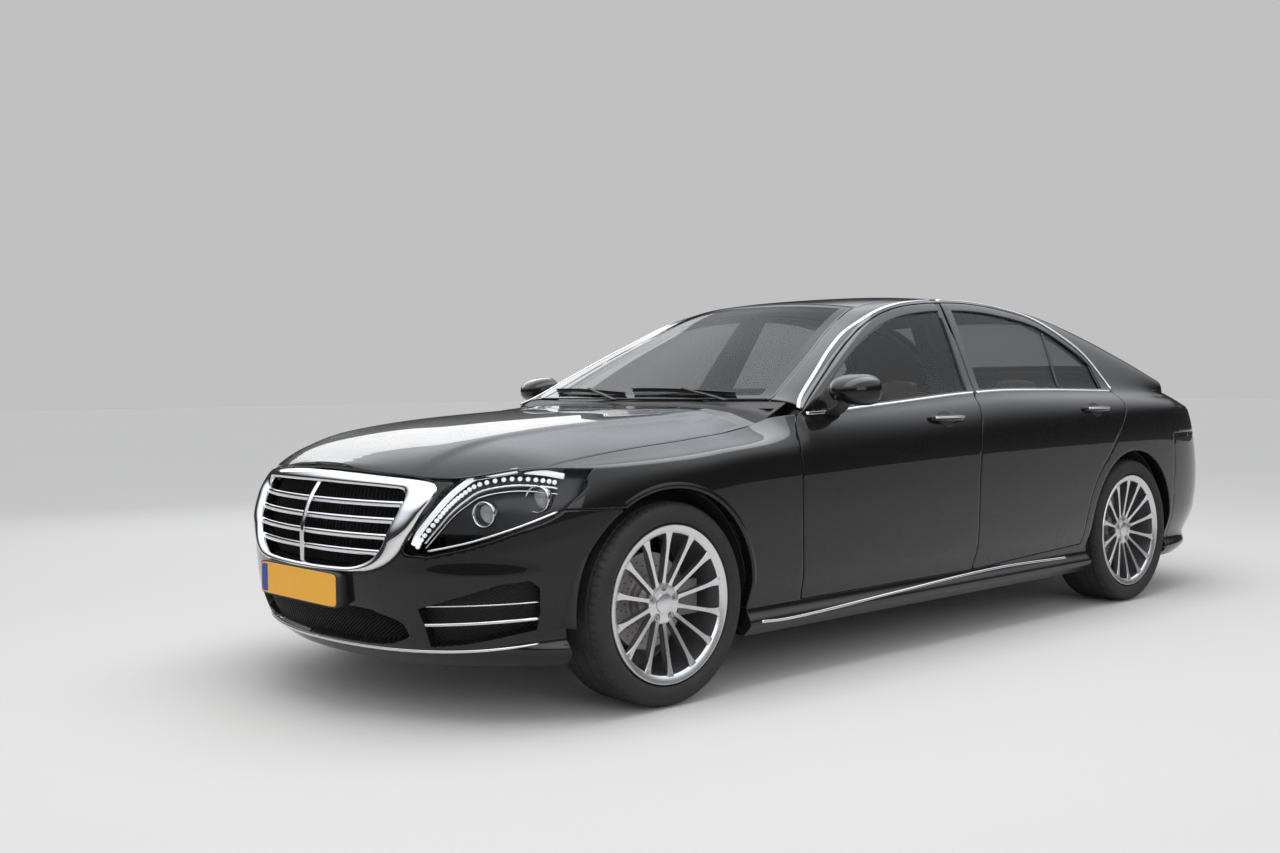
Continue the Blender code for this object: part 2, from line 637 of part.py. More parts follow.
def handle_on(door, x, z):
    """A pull handle that stands off the door's skin on two feet."""
    y = skin_y(x, z)
    half = 0.5 * HANDLE_LENGTH
    bar = box("handle_bar", (x - half, y + 0.5 * HANDLE_STAND, z - 0.5 * HANDLE_HEIGHT),
              (x + half, y + HANDLE_STAND, z + 0.5 * HANDLE_HEIGHT), CHROME, bevel=0.2 * HANDLE_STAND)
    boolean(door, bar, "UNION")
    for place_x in (x - 0.8 * half, x + 0.8 * half):
        foot = box("handle_foot", (place_x - 0.12 * half, y - HANDLE_STAND, z - 0.3 * HANDLE_HEIGHT),
                   (place_x + 0.12 * half, y + 0.7 * HANDLE_STAND, z + 0.3 * HANDLE_HEIGHT), CHROME)
        boolean(door, foot, "UNION")


def make_door(name, outline, gaps, drafts, stations, window, hinge_x, shut_x, handle):
    """A left door and its glass: the side's block kept inside the outline, with its window cut through."""
    door = door_block(name, stations)
    boolean(door, drafted(name + "_outline", inset(outline, gaps), drafts), "INTERSECT")
    boolean(door, prism(name + "_window", window, "Y", 0.3 * HALF_WIDTH, 1.3 * HALF_WIDTH), "DIFFERENCE")
    for z in HINGE_ZS:
        boolean(door, hinge_pocket(name + "_pocket", hinge_x, z, shut_x), "DIFFERENCE")
    handle_on(door, *handle)
    levels = np.linspace(9.0, 11.4, 7)
    outer = side_surface(stations, levels)
    outer[..., 1] -= GLASS_SET_IN
    inner = outer.copy()
    inner[..., 1] -= GLASS_WALL
    glass = block(name.replace("door", "glass"), outer, inner, GLASS)
    pane = prism(name + "_pane", inset(window, SEAT_GAP), "Y", 0.3 * HALF_WIDTH, 1.3 * HALF_WIDTH)
    boolean(glass, pane, "INTERSECT")
    return door, glass


front_gaps = [0.9 * SHUT_GAP] * len(FRONT_DOOR)
pillar_drafts = list(np.linspace(FRAME_DRAFT, LOWER_DRAFT, len(split_upper) + 2)[1:-1])
front_drafts = [0.0] * (len(door_front) + split_top - 1) + [FRAME_DRAFT] * 2 + pillar_drafts
front_drafts += [LOWER_DRAFT] * len(door_split)
split_count = len(door_split) + len(split_upper)
rear_gaps = [HINGE_GAP - 0.5 * SHUT_GAP] * split_count + [0.9 * SHUT_GAP] * (len(REAR_DOOR) - split_count)
rear_drafts = [0.0] * (split_count + 3) + [FRAME_DRAFT] * (len(rear_door_top) - 3)
rear_drafts += [LOWER_DRAFT] * (len(REAR_DOOR) - len(rear_drafts))
STATION_MARGIN = 0.05
FRONT_DOOR_STATIONS = np.linspace(1.02 * float(door_front[:, 0].max()),
                                  float(door_top[split_top][0]) - STATION_MARGIN,
                                  10)
REAR_DOOR_STATIONS = np.linspace(float(door_split[:, 0].max()) + 0.6 * STATION_MARGIN,
                                 1.03 * float(door_rear[:, 0].min()), 11)
PILLAR_TRIM = 0.055
PILLAR_LEAN = float(door_top[split_top][0] - door_split[-1][0])
FRONT_WINDOW = window_outline(0.335 * HALF_LENGTH, float(door_split[-1][0]) + PILLAR_TRIM, 0.0, PILLAR_LEAN,
                              front_door_top)
REAR_WINDOW = window_outline(float(door_split[-1][0]) - PILLAR_TRIM, -0.502 * HALF_LENGTH, PILLAR_LEAN, 0.0,
                             rear_door_top)

# Body sides, fenders and roof
SIDE_WALL = 0.045
SILL_WALL = 0.170
FENDER_WALL = 0.010
ROOF_WALL = 0.030
PANE_WALL = 0.006
HINGE_POST = (0.930, 1.050)
B_POST = (-0.225, -0.085)
POST_WALL = 0.080
WINDSCREEN_STATIONS = np.linspace(0.370, 0.072, 6) * HALF_LENGTH
ROOF_STATIONS = np.linspace(0.072, -0.465, 7) * HALF_LENGTH
REAR_WINDOW_STATIONS = np.linspace(-0.465, -0.745, 5) * HALF_LENGTH
QUARTER_STATIONS = np.array([-0.765, -0.80, -0.84, -0.87, -0.90]) * HALF_LENGTH


def arch_cutter(name, axle_x, radius):
    """A cylinder across the side, for a wheel arch."""
    low = (axle_x, 0.55 * HALF_WIDTH, TYRE_RADIUS)
    high = (axle_x, 1.3 * HALF_WIDTH, TYRE_RADIUS)
    return as_cutter(rod(name, low, high, radius, BLACK_PLASTIC, sides=40))


def hinge_arm(side, x, z, post_y):
    """An arm from a pillar to a door's hinge axis, with the pin's barrel at its end."""
    arm = box("hinge_arm", (x - HINGE_ARM, post_y - 0.5 * POST_WALL, z - 0.5 * HINGE_HEIGHT),
              (x + HINGE_ARM, HINGE_Y, z + 0.5 * HINGE_HEIGHT), STEEL)
    boolean(side, arm, "UNION")


EAR_BACK = 0.010


def rear_shelf(side):
    """Half of the shelf behind the rear seat, which ends in an ear for the boot lid's hinge."""
    half_gap = 0.5 * SEAT_GAP
    flat_shares = np.array([(-0.545, 0.6765), (-0.745, 0.6765), (-0.745, 0.688), (-0.545, 0.688)])
    flat = flat_shares * (HALF_LENGTH, HEIGHT)
    rings = [[(x, y, z) for x, z in flat] for y in (half_gap, 0.845 * HALF_WIDTH)]
    boolean(side, from_rings("shelf", rings, BLACK_PLASTIC), "UNION")
    ear_x = BOOT_HINGE_X
    ear_top = BOOT_HINGE_Z + 0.4 * EAR_BACK
    rise = [(-0.740 * HALF_LENGTH, 0.680 * HEIGHT), (ear_x - EAR_BACK, 0.680 * HEIGHT + 3.0 * EAR_BACK),
            (ear_x - EAR_BACK, ear_top), (ear_x + 0.7 * EAR_BACK, ear_top),
            (ear_x + 1.2 * EAR_BACK, BOOT_HINGE_Z - 2.0 * EAR_BACK), (-0.730 * HALF_LENGTH, 0.687 * HEIGHT)]
    low_y = BOOT_ARM_Y + 0.5 * BOOT_WALL + SEAT_GAP
    rings = [[(x, y, z) for x, z in rise] for y in (low_y, low_y + 0.6 * BOOT_WALL)]
    boolean(side, from_rings("boot_ear", rings, STEEL), "UNION")


def make_body_side():
    """The left body side: pillars, roof rail and quarter panel in one, with the sill and the hinge arms."""
    stations = np.concatenate([WINDSCREEN_STATIONS, ROOF_STATIONS[1:], REAR_WINDOW_STATIONS[1:],
                               QUARTER_STATIONS])
    levels = [SILL_BOTTOM, SKIRT, SEAM - 0.05, LOWER, MIDDLE, WIDEST, UPPER, CREASE, STRIP, BELT,
              PLANE, RAIL, TURN, EDGE]
    outer = side_surface(stations, levels)
    walls = np.full(outer.shape[:2], SIDE_WALL)
    inner = outer - walls[..., None] * upright_edges(normals_of(outer, (0.0, 1.0, 0.3)), (-1,))
    ahead = stations > DOOR_ARCH_RADIUS + REAR_AXLE_X
    for row in range(3):
        inner[ahead, row] = outer[ahead, row] - np.array([0.0, SILL_WALL, 0.0])
        inner[ahead, row, 1] = outer[ahead, 2, 1] - SILL_WALL
    side = block("body_side_left", outer, inner, BLACK_PAINT)
    for name, outline in (("front", FRONT_DOOR), ("rear", REAR_DOOR)):
        widened = inset(outline, -0.5 * SHUT_GAP)
        boolean(side, prism(name + "_opening", widened, "Y", 0.3 * HALF_WIDTH, 1.3 * HALF_WIDTH),
                "DIFFERENCE")
    boolean(side, arch_cutter("rear_arch", REAR_AXLE_X, ARCH_RADIUS), "DIFFERENCE")
    sill_stations = np.linspace(FRONT_AXLE_X - 1.03 * ARCH_RADIUS, 0.355 * HALF_LENGTH, 4)
    sill_outer = side_surface(sill_stations, [SILL_BOTTOM, SKIRT, SEAM - 0.006])
    sill_inner = sill_outer.copy()
    sill_inner[..., 1] = sill_outer[:, 2:, 1] - SILL_WALL
    boolean(side, block("sill_front", sill_outer, sill_inner, BLACK_PAINT), "UNION")
    low_z = 0.150 * HEIGHT
    post = box("hinge_post", (HINGE_POST[0], PILLAR_Y - POST_WALL, low_z),
               (HINGE_POST[1], PILLAR_Y, 0.668 * HEIGHT), BLACK_PAINT)
    boolean(side, post, "UNION")
    lean = PILLAR_LEAN
    top_y = glass_plane_y(0.953 * HEIGHT) - DOOR_FRAME_WALL - 0.2 * POST_WALL
    rings = []
    for z, out_y, shift in ((low_z, PILLAR_Y, 0.0), (0.635 * HEIGHT, PILLAR_Y, 0.0),
                            (0.684 * HEIGHT, PILLAR_Y - 0.1 * POST_WALL, -0.375 * POST_WALL),
                            (0.953 * HEIGHT, top_y, 1.2 * lean)):
        front_x = B_POST[1] + shift - (0.0 if z < 0.7 * HEIGHT else 0.1 * POST_WALL)
        back_x = B_POST[0] + shift + (0.0 if z < 0.7 * HEIGHT else 0.4 * POST_WALL)
        deep = POST_WALL
        rings.append([(front_x, out_y, z), (front_x, out_y - deep, z), (back_x, out_y - deep, z),
                      (back_x, out_y, z)])
    boolean(side, from_rings("b_post", rings, BLACK_PAINT), "UNION")
    rear_shelf(side)
    for z in HINGE_ZS:
        hinge_arm(side, FRONT_HINGE_X, z, PILLAR_Y)
        hinge_arm(side, REAR_HINGE_X, z, PILLAR_Y)
    return side


LAMP_SHARE_TURN = 0.25 * math.pi
lamp_outline_shares = ((-0.317, 0.532), (-0.317, 0.512), (-0.330, 0.488), (-0.348, 0.458), (-0.367, 0.441),
                       (-0.398, 0.423), (-0.454, 0.392), (-0.512, 0.369), (-0.543, 0.381), (-0.515, 0.453),
                       (-0.4975, 0.500), (-0.479, 0.523), (-0.455, 0.560), (-0.300, 0.600), (-0.308, 0.556))


def lamp_prism(name, gap):
    """A headlamp's outline seen square on to the car's corner, swept through the corner."""
    outline = np.array(lamp_outline_shares) * (HALF_LENGTH, HEIGHT)
    return prism(name, inset(outline, gap), "X", 0.3 * HALF_LENGTH, 1.3 * HALF_LENGTH, turn=LAMP_SHARE_TURN)


nose_seam_shares = ((0.850, 0.468), (0.7450, 0.462), (0.60, 0.455))


def make_fender():
    """The left front fender, from the sill seam to the bonnet line, around the wheel arch."""
    stations = np.linspace(0.383, 0.835, 12) * HALF_LENGTH
    levels = [SEAM, LOWER, MIDDLE, WIDEST, UPPER, CREASE, STRIP, BELT]
    outer = side_surface(stations, levels)
    outer[:, -1, 1] += 0.85 * SHUT_GAP
    fender = shell("fender_left", outer, FENDER_WALL, (0.0, 1.0, 0.2), BLACK_PAINT)
    boolean(fender, arch_cutter("front_arch", FRONT_AXLE_X, ARCH_RADIUS), "DIFFERENCE")
    boolean(fender, lamp_prism("fender_lamp", -SEAT_GAP), "DIFFERENCE")
    seam = scaled(nose_seam_shares)
    below = np.concatenate([seam, [[seam[-1][0], 0.0], [HALF_LENGTH, 0.0], [HALF_LENGTH, seam[0][1]]]])
    below[:, 1] += SEAT_GAP
    boolean(fender, prism("fender_nose", below, "Y", 0.3 * HALF_WIDTH, 1.3 * HALF_WIDTH), "DIFFERENCE")
    shut = door_front.copy()
    shut[:, 0] += HINGE_GAP - 0.5 * SHUT_GAP
    behind = np.concatenate([[[0.3 * HALF_LENGTH, 0.5 * shut[0][1]], [shut[0][0], 0.5 * shut[0][1]]], shut,
                             [[0.3845 * HALF_LENGTH, 0.652 * HEIGHT], [0.3845 * HALF_LENGTH, 0.8 * HEIGHT],
                              [0.3 * HALF_LENGTH, 0.8 * HEIGHT]]])
    boolean(fender, prism("fender_shut", behind, "Y", 0.3 * HALF_WIDTH, 1.3 * HALF_WIDTH), "DIFFERENCE")
    return fender


WINDSCREEN_BOW = (0.030 * HALF_LENGTH, 0.027 * HALF_LENGTH)
REAR_WINDOW_BOW = (0.020 * HALF_LENGTH, 0.010 * HALF_LENGTH)


def across(stations, bows, crowns, columns, gap):
    """A pane or panel between the two glass edges: bowed along X and crowned in Z by 1 - (y / edge)^2."""
    share = np.linspace(-1.0, 1.0, columns)
    grid = np.zeros((len(stations), columns, 3))
    for i, x in enumerate(stations):
        rows = section(x)
        edge_y = rows[EDGE][0] - gap
        grid[i, :, 0] = x + bows[i] * (1.0 - share ** 2)
        grid[i, :, 1] = edge_y * share
        grid[i, :, 2] = rows[EDGE][1] + crowns[i] * (1.0 - np.abs(share) ** 2.6)
    return grid


def crown_at(x):
    """Rise of the roof's middle over its edge."""
    return float(follow(roof_z_shares, x, HEIGHT)) - section(x)[EDGE][1]


def make_greenhouse():
    """Roof, windscreen and rear window, which meet each other and the body sides at the glass edge."""
    front_crown = crown_at(ROOF_STATIONS[0])
    back_crown = crown_at(ROOF_STATIONS[-1])
    count = len(ROOF_STATIONS)
    part_way = np.linspace(0.0, 1.0, count)
    bows = (1.0 - part_way) * WINDSCREEN_BOW[1] - part_way * REAR_WINDOW_BOW[0]
    crowns = [crown_at(x) for x in ROOF_STATIONS]
    roof = shell("roof", across(ROOF_STATIONS, bows, crowns, 11, SEAT_GAP), ROOF_WALL, (0.0, 0.0, 1.0),
                 BLACK_PAINT,
                 square_columns=(0, -1))
    stations = WINDSCREEN_STATIONS.copy()
    stations[-1] += 0.5 * PANE_WALL + 2.0 * SEAT_GAP
    count = len(stations)
    bows = np.linspace(WINDSCREEN_BOW[0], WINDSCREEN_BOW[1], count)
    crowns = np.linspace(0.0, front_crown, count)
    shell("windscreen", across(stations, bows, crowns, 11, 2.0 * SEAT_GAP), PANE_WALL, (1.0, 0.0, 1.0), GLASS,
          square_columns=(0, -1))
    stations = REAR_WINDOW_STATIONS.copy()
    stations[0] -= 0.5 * PANE_WALL + 2.0 * SEAT_GAP
    count = len(stations)
    bows = np.linspace(-REAR_WINDOW_BOW[0], -REAR_WINDOW_BOW[1], count)
    crowns = np.linspace(back_crown, 0.6 * back_crown, count)
    shell("rear_window", across(stations, bows, crowns, 11, 2.0 * SEAT_GAP), PANE_WALL, (-1.0, 0.0, 1.0),
          GLASS,
          square_columns=(0, -1))
    return roof


# Bonnet and boot lid
BONNET_WALL = 0.022
BONNET_REAR_X = 0.440 * HALF_LENGTH
BONNET_HINGE_X = 0.422 * HALF_LENGTH
BONNET_HINGE_Z = 0.648 * HEIGHT
BONNET_ARM_Y = 0.60 * HALF_WIDTH
BOOT_FRONT_X = -0.7665 * HALF_LENGTH
BOOT_HINGE_SET_BACK = 0.018
BOOT_HINGE_X = BOOT_FRONT_X + BOOT_HINGE_SET_BACK
BOOT_WALL = 0.022
BOOT_HINGE_Z = 0.762 * HEIGHT
BOOT_ARM_Y = 0.210 * HALF_WIDTH
BOOT_LIP_Z = 0.650 * HEIGHT
BOOT_BOTTOM_Z = 0.556 * HEIGHT
boot_face_shares = (0.10, 0.28, 0.50, 0.75, 1.0)


def tail_x(y, z):
    """Where the tail's skin is, at a half width and a height."""
    end = -follow(tail_shares, z, HALF_LENGTH, along=HEIGHT)
    share = np.clip(np.abs(y) / half_width_at(z), 0.0, 1.0)
    return TAIL_START_X + (end - TAIL_START_X) * (1.0 - share ** 2) ** (1.0 / TAIL_POWER)


def bonnet_points(rows, columns, gap):
    """The bonnet's skin: rows along the car, closer together at the nose, columns from edge to edge."""
    nose_x = 0.9485 * HALF_LENGTH
    angles = np.linspace(0.0, 0.5 * math.pi, rows)
    stations = BONNET_REAR_X + (nose_x - BONNET_REAR_X) * np.sin(angles) ** 0.9
    grid = np.zeros((rows, columns, 3))
    share = np.linspace(-1.0, 1.0, columns)
    for i, x in enumerate(stations):
        edge_y, _ = crease(x)
        belt_y = min(float(follow(belt_y_shares, x, HALF_WIDTH)), 0.99 * float(edge_y)) - gap
        ys = belt_y * share
        grid[i, :, 0] = x
        grid[i, :, 1] = ys
        grid[i, :, 2] = bonnet_height(x, ys)
    return grid


def make_bonnet():
    """The bonnet, thin at its edges and deeper in the middle, with two hinge arms at the back."""
    outer = bonnet_points(10, 13, 0.85 * SHUT_GAP)
    share = np.abs(np.linspace(-1.0, 1.0, outer.shape[1]))
    wall = BONNET_WALL * (0.35 + 0.65 * np.clip(6.0 * (1.0 - share), 0.0, 1.0))
    wall = np.broadcast_to(wall, outer.shape[:2]).copy()
    wall[-2:] = 0.35 * BONNET_WALL
    inner = outer.copy()
    inner[..., 2] -= wall
    bonnet = block("bonnet", outer, inner, BLACK_PAINT)
    for side in (-1.0, 1.0):
        y = side * BONNET_ARM_Y
        arm = box("bonnet_arm", (BONNET_HINGE_X - 0.4 * BONNET_WALL, y - 0.5 * BONNET_WALL,
                                 BONNET_HINGE_Z - 0.4 * BONNET_WALL),
                  (BONNET_REAR_X + 5.0 * BONNET_WALL, y + 0.5 * BONNET_WALL,
                   BONNET_HINGE_Z + 0.4 * BONNET_WALL),
                  STEEL)
        boolean(bonnet, arm, "UNION")
    return bonnet


def make_boot_lid():
    """The boot lid: a deck that turns down at the lip into the rear face."""
    ys = (BOOT_HALF - 0.3 * SHUT_GAP) * np.linspace(-1.0, 1.0, 13)
    lip_x = tail_x(ys, BOOT_LIP_Z)
    rows = []
    for share in np.linspace(0.0, 1.0, 7):
        x = BOOT_FRONT_X + share * (lip_x - BOOT_FRONT_X)
        rows.append(np.stack([x, ys, [float(deck_height(a, b)) for a, b in zip(x, ys)]], axis=1))
    lip_z = rows[-1][:, 2]
    for share in boot_face_shares:
        z = lip_z + share * (BOOT_BOTTOM_Z - lip_z)
        rows.append(np.stack([tail_x(ys, z), ys, z], axis=1))
    lid = shell("boot_lid", np.array(rows), BOOT_WALL, (-0.3, 0.0, 1.0), BLACK_PAINT)
    for side in (-1.0, 1.0):
        y = side * BOOT_ARM_Y
        arm = box("boot_arm", (BOOT_FRONT_X - 0.7 * BOOT_WALL, y - 0.5 * BOOT_WALL,
                               BOOT_HINGE_Z - 0.2 * BOOT_WALL),
                  (BOOT_HINGE_X + 0.2 * BOOT_WALL, y + 0.5 * BOOT_WALL, BOOT_HINGE_Z + 0.2 * BOOT_WALL),
                  STEEL)
        boolean(lid, arm, "UNION")
    return lid


# Bumpers, grille and lamps
BUMPER_WALL = 0.012
PLATE_WIDTH = 0.520
PLATE_HEIGHT = 0.098
PLATE_Z = 0.427
LAMP_DEPTH = 0.090
grille_outline_shares = ((0.0, 0.322), (0.316, 0.324), (0.421, 0.336), (0.495, 0.365), (0.542, 0.412),
                         (0.579, 0.465), (0.592, 0.498), (0.580, 0.517), (0.520, 0.529), (0.30, 0.537),
                         (0.0, 0.542))
grille_opening_shares = ((0.0, 0.336), (0.31, 0.340), (0.39, 0.358), (0.435, 0.385), (0.462, 0.425),
                         (0.482, 0.470), (0.482, 0.505), (0.0, 0.510))
intake_outline_shares = ((0.0, 0.160), (0.42, 0.166), (0.525, 0.190), (0.500, 0.222), (0.33, 0.250), (0.0,
                                                                                                      0.250))
side_intake_shares = ((-0.372, 0.303), (-0.384, 0.319), (-0.42, 0.312), (-0.483, 0.279), (-0.526, 0.256),
                      (-0.518, 0.215), (-0.515, 0.150), (-0.372, 0.196))
GRILLE_WALL = 0.035
LOUVRES = 4
LOUVRE_HEIGHT = 0.020
LOUVRE_DEPTH = 0.030


def mirrored_outline(shares):
    """A whole outline from its right half, as (y, z) shares of the half width and the height."""
    half = np.array(shares) * (HALF_WIDTH, HEIGHT)
    other = half[::-1] * (-1.0, 1.0)
    keep = other[:, 0] != 0.0
    return np.concatenate([half, other[keep]])


def nose_x(y, z):
    """Where the nose's skin is, at a half width and a height."""
    half = float(half_width_at(z))
    end = float(follow(nose_shares, z, HALF_LENGTH, along=HEIGHT))
    share = np.clip(np.abs(y) / half, 0.0, 1.0)
    return NOSE_START_X + (end - NOSE_START_X) * (1.0 - share ** 2) ** (1.0 / NOSE_POWER)


NOSE_ANGLES = np.radians([-79.0, -73.0, -66.0, -58.0, -48.0, -37.0, -25.0, -12.0, 0.0,
                          12.0, 25.0, 37.0, 48.0, 58.0, 66.0, 73.0, 79.0])


def make_front_bumper():
    """The front bumper: the nose's skin below the bonnet, with its openings cut."""
    outer = end_surface(NOSE_ANGLES, [SILL_BOTTOM, SKIRT, SEAM, LOWER, MIDDLE, WIDEST, UPPER, 6.86], True)
    bumper = shell("front_bumper", outer, BUMPER_WALL, (1.0, 0.0, 0.0), BLACK_PAINT)
    grille = prism("grille_hole", inset(mirrored_outline(grille_outline_shares), -2.0 * SEAT_GAP), "X",
                   0.7 * HALF_LENGTH, 1.2 * HALF_LENGTH)
    boolean(bumper, grille, "DIFFERENCE")
    middle = prism("intake", mirrored_outline(intake_outline_shares), "X", 0.7 * HALF_LENGTH,
                   1.2 * HALF_LENGTH)
    boolean(bumper, middle, "DIFFERENCE")
    plate = box("plate_panel", (0.982 * HALF_LENGTH, -0.5 * PLATE_WIDTH, PLATE_Z - 0.5 * PLATE_HEIGHT),
                (HALF_LENGTH, 0.5 * PLATE_WIDTH, PLATE_Z + 0.5 * PLATE_HEIGHT), BLACK_PLASTIC)
    boolean(bumper, plate, "UNION")
    seam = scaled(nose_seam_shares)
    above = np.concatenate([seam, [[seam[-1][0], HEIGHT], [seam[0][0], HEIGHT]]])
    for side in (1.0, -1.0):
        cuts = [lamp_prism("bumper_lamp", -SEAT_GAP),
                prism("side_intake", np.array(side_intake_shares) * (HALF_LENGTH, HEIGHT), "X",
                      0.3 * HALF_LENGTH, 1.3 * HALF_LENGTH, turn=LAMP_SHARE_TURN),
                prism("bumper_fender", above, "Y", 0.3 * HALF_WIDTH, 1.3 * HALF_WIDTH),
                arch_cutter("bumper_arch", FRONT_AXLE_X, ARCH_RADIUS + SHUT_GAP)]
        for cut in cuts:
            if side < 0:
                cut.data.transform(Matrix.Scale(-1.0, 4, (0.0, 1.0, 0.0)))
                cut.data.flip_normals()
            boolean(bumper, cut, "DIFFERENCE")
    return bumper


def make_grille():
    """The grille: a broad surround, louvres and a centre bar, all on the nose's curve."""
    levels = np.linspace(3.3, 6.9, 9)
    angles = np.radians(np.linspace(-36.0, 36.0, 13))
    outer = end_surface(angles, levels, True)
    inner = outer - np.array([GRILLE_WALL, 0.0, 0.0])
    grille = block("grille", outer, inner, CHROME)
    rim = prism("grille_rim", mirrored_outline(grille_outline_shares), "X", 0.7 * HALF_LENGTH,
                1.2 * HALF_LENGTH)
    boolean(grille, rim, "INTERSECT")
    hole = prism("grille_open", mirrored_outline(grille_opening_shares), "X", 0.7 * HALF_LENGTH,
                 1.2 * HALF_LENGTH)
    boolean(grille, hole, "DIFFERENCE")
    low_z = grille_opening_shares[0][1] * HEIGHT
    high_z = grille_opening_shares[-1][1] * HEIGHT
    for i in range(LOUVRES):
        z = low_z + (high_z - low_z) * (i + 1.0) / (LOUVRES + 1.0)
        ys = np.linspace(-1.0, 1.0, 9) * (0.46 + 0.04 * i / (LOUVRES - 1)) * HALF_WIDTH
        xs = np.array([nose_x(y, z) for y in ys]) - 0.35 * GRILLE_WALL
        rings = []
        for x, y in zip(xs, ys):
            rings.append([(x, y, z - 0.5 * LOUVRE_HEIGHT), (x, y, z + 0.5 * LOUVRE_HEIGHT),
                          (x - 0.6 * LOUVRE_DEPTH, y, z + 0.3 * LOUVRE_HEIGHT),
                          (x - 0.6 * LOUVRE_DEPTH, y, z - 0.3 * LOUVRE_HEIGHT)])
        boolean(grille, from_rings("louvre", rings, CHROME), "UNION")
    rings = []
    for z in np.linspace(low_z - 0.2 * LOUVRE_HEIGHT, high_z + 0.2 * LOUVRE_HEIGHT, 6):
        x = float(nose_x(0.0, z)) - 0.25 * GRILLE_WALL
        half = 0.25 * LOUVRE_HEIGHT
        rings.append([(x, -half, z), (x, half, z), (x - 0.7 * GRILLE_WALL, half, z),
                      (x - 0.7 * GRILLE_WALL, -half, z)])
    boolean(grille, from_rings("grille_bar", rings, CHROME), "UNION")
    return grille


def make_headlamp():
    """The left headlamp: a deep block behind the nose's skin inside the lamp's outline."""
    angles = np.radians([27.0, 32.0, 37.0, 43.0, 49.0, 55.0, 61.0, 67.0, 73.0, 77.0])
    outer = end_surface(angles, [4.6, 5, 5.3, 5.7, 6, 6.3, 6.6, 6.94], True)
    lamp = shell("headlamp_left", outer, 0.6 * LAMP_DEPTH, (1.0, 1.0, 0.0), LAMP)
    boolean(lamp, lamp_prism("lamp_outline", SEAT_GAP), "INTERSECT")
    rim = prism("lamp_grille", inset(mirrored_outline(grille_outline_shares), -2.0 * SEAT_GAP), "X",
                0.7 * HALF_LENGTH, 1.2 * HALF_LENGTH)
    return boolean(lamp, rim, "DIFFERENCE")


TAIL_LAMP_LOW_Z = 0.550 * HEIGHT
TAIL_LAMP_HIGH_Z = 0.625 * HEIGHT
TAIL_LAMP_FRONT_X = -0.835 * HALF_LENGTH
TAIL_SEAM_Z = 0.545 * HEIGHT
BUMPER_FRONT_X = REAR_AXLE_X - 1.06 * ARCH_RADIUS


def tail_lamp_outline(gap):
    """A tail lamp in side view: a wedge that grows towards the tail."""
    outline = np.array([(TAIL_LAMP_FRONT_X, TAIL_LAMP_HIGH_Z - 0.4 * (TAIL_LAMP_HIGH_Z - TAIL_LAMP_LOW_Z)),
                        (-0.90 * HALF_LENGTH, TAIL_LAMP_LOW_Z), (-1.02 * HALF_LENGTH, TAIL_LAMP_LOW_Z),
                        (-1.02 * HALF_LENGTH, TAIL_LAMP_HIGH_Z), (-0.86 * HALF_LENGTH, TAIL_LAMP_HIGH_Z)])
    return inset(outline, gap)


def make_tail_lamp():
    """The left tail lamp, which wraps round the corner from the quarter panel to the boot lid."""
    angles = np.radians([38.0, 43.0, 49.0, 55.0, 61.0, 67.0, 72.0])
    outer = end_surface(angles, [5.7, 6, 6.3, 6.6, 6.9, 7.0], False)
    lamp = shell("tail_lamp_left", outer, 0.7 * LAMP_DEPTH, (-1.0, 1.0, 0.0), RED_LAMP)
    outline = tail_lamp_outline(SEAT_GAP)
    boolean(lamp, prism("tail_lamp_outline", outline, "Y", BOOT_HALF + SHUT_GAP, 1.3 * HALF_WIDTH),
            "INTERSECT")
    return lamp


def make_rear_bumper():
    """The rear bumper, from arch to arch below the tail lamps and the boot lid."""
    wrap = np.radians(84.3)
    angles = np.concatenate([[-wrap], NOSE_ANGLES, [wrap]])
    outer = end_surface(angles, [SILL_BOTTOM, SKIRT, SEAM, LOWER, MIDDLE, WIDEST, 6.0], False)
    bumper = shell("rear_bumper", outer, BUMPER_WALL, (-1.0, 0.0, 0.0), BLACK_PAINT)
    above = box("bumper_top", (-2.0 * HALF_LENGTH, -WIDTH, TAIL_SEAM_Z - 2.0 * SEAT_GAP - SHUT_GAP),
                (0.0, WIDTH, HEIGHT), BLACK_PAINT)
    boolean(bumper, above, "DIFFERENCE")
    ahead = box("bumper_front", (BUMPER_FRONT_X - SEAT_GAP, -WIDTH, 0.0), (0.0, WIDTH, HEIGHT), BLACK_PAINT)
    boolean(bumper, ahead, "DIFFERENCE")
    return bumper


def fit_quarter(side):
    """Cut the body side where the rear bumper and the tail lamp sit."""
    below = np.array([(BUMPER_FRONT_X, 0.0), (BUMPER_FRONT_X, TAIL_SEAM_Z), (-1.2 * HALF_LENGTH, TAIL_SEAM_Z),
                      (-1.2 * HALF_LENGTH, 0.0)])
    boolean(side, prism("quarter_bumper", below, "Y", 0.3 * HALF_WIDTH, 1.3 * HALF_WIDTH), "DIFFERENCE")
    lamp = tail_lamp_outline(-SEAT_GAP)
    boolean(side, prism("quarter_lamp", lamp, "Y", 0.3 * HALF_WIDTH, 1.3 * HALF_WIDTH), "DIFFERENCE")


# Wheels, with the brake disc on the rim's hub
WHEEL_SEGMENTS = 2 * SPOKES
RIM_WIDTH = 0.219
RIM_WALL = 0.010
HUB_RADIUS = 0.060
BORE_RADIUS = 0.0235
SPINDLE_PLAY = 0.0007
SPINDLE_RADIUS = BORE_RADIUS - SPINDLE_PLAY
DISC_RADIUS = 0.170
DISC_WALL = 0.024
DISC_Y = -0.034
CAP_RADIUS = 0.037
WINDOW_INNER = 0.085
WINDOW_OUTER = 0.228
SPOKE_ROOT = 0.014
SPOKE_TIP = 0.022
BEAD_DEPTH = 0.017


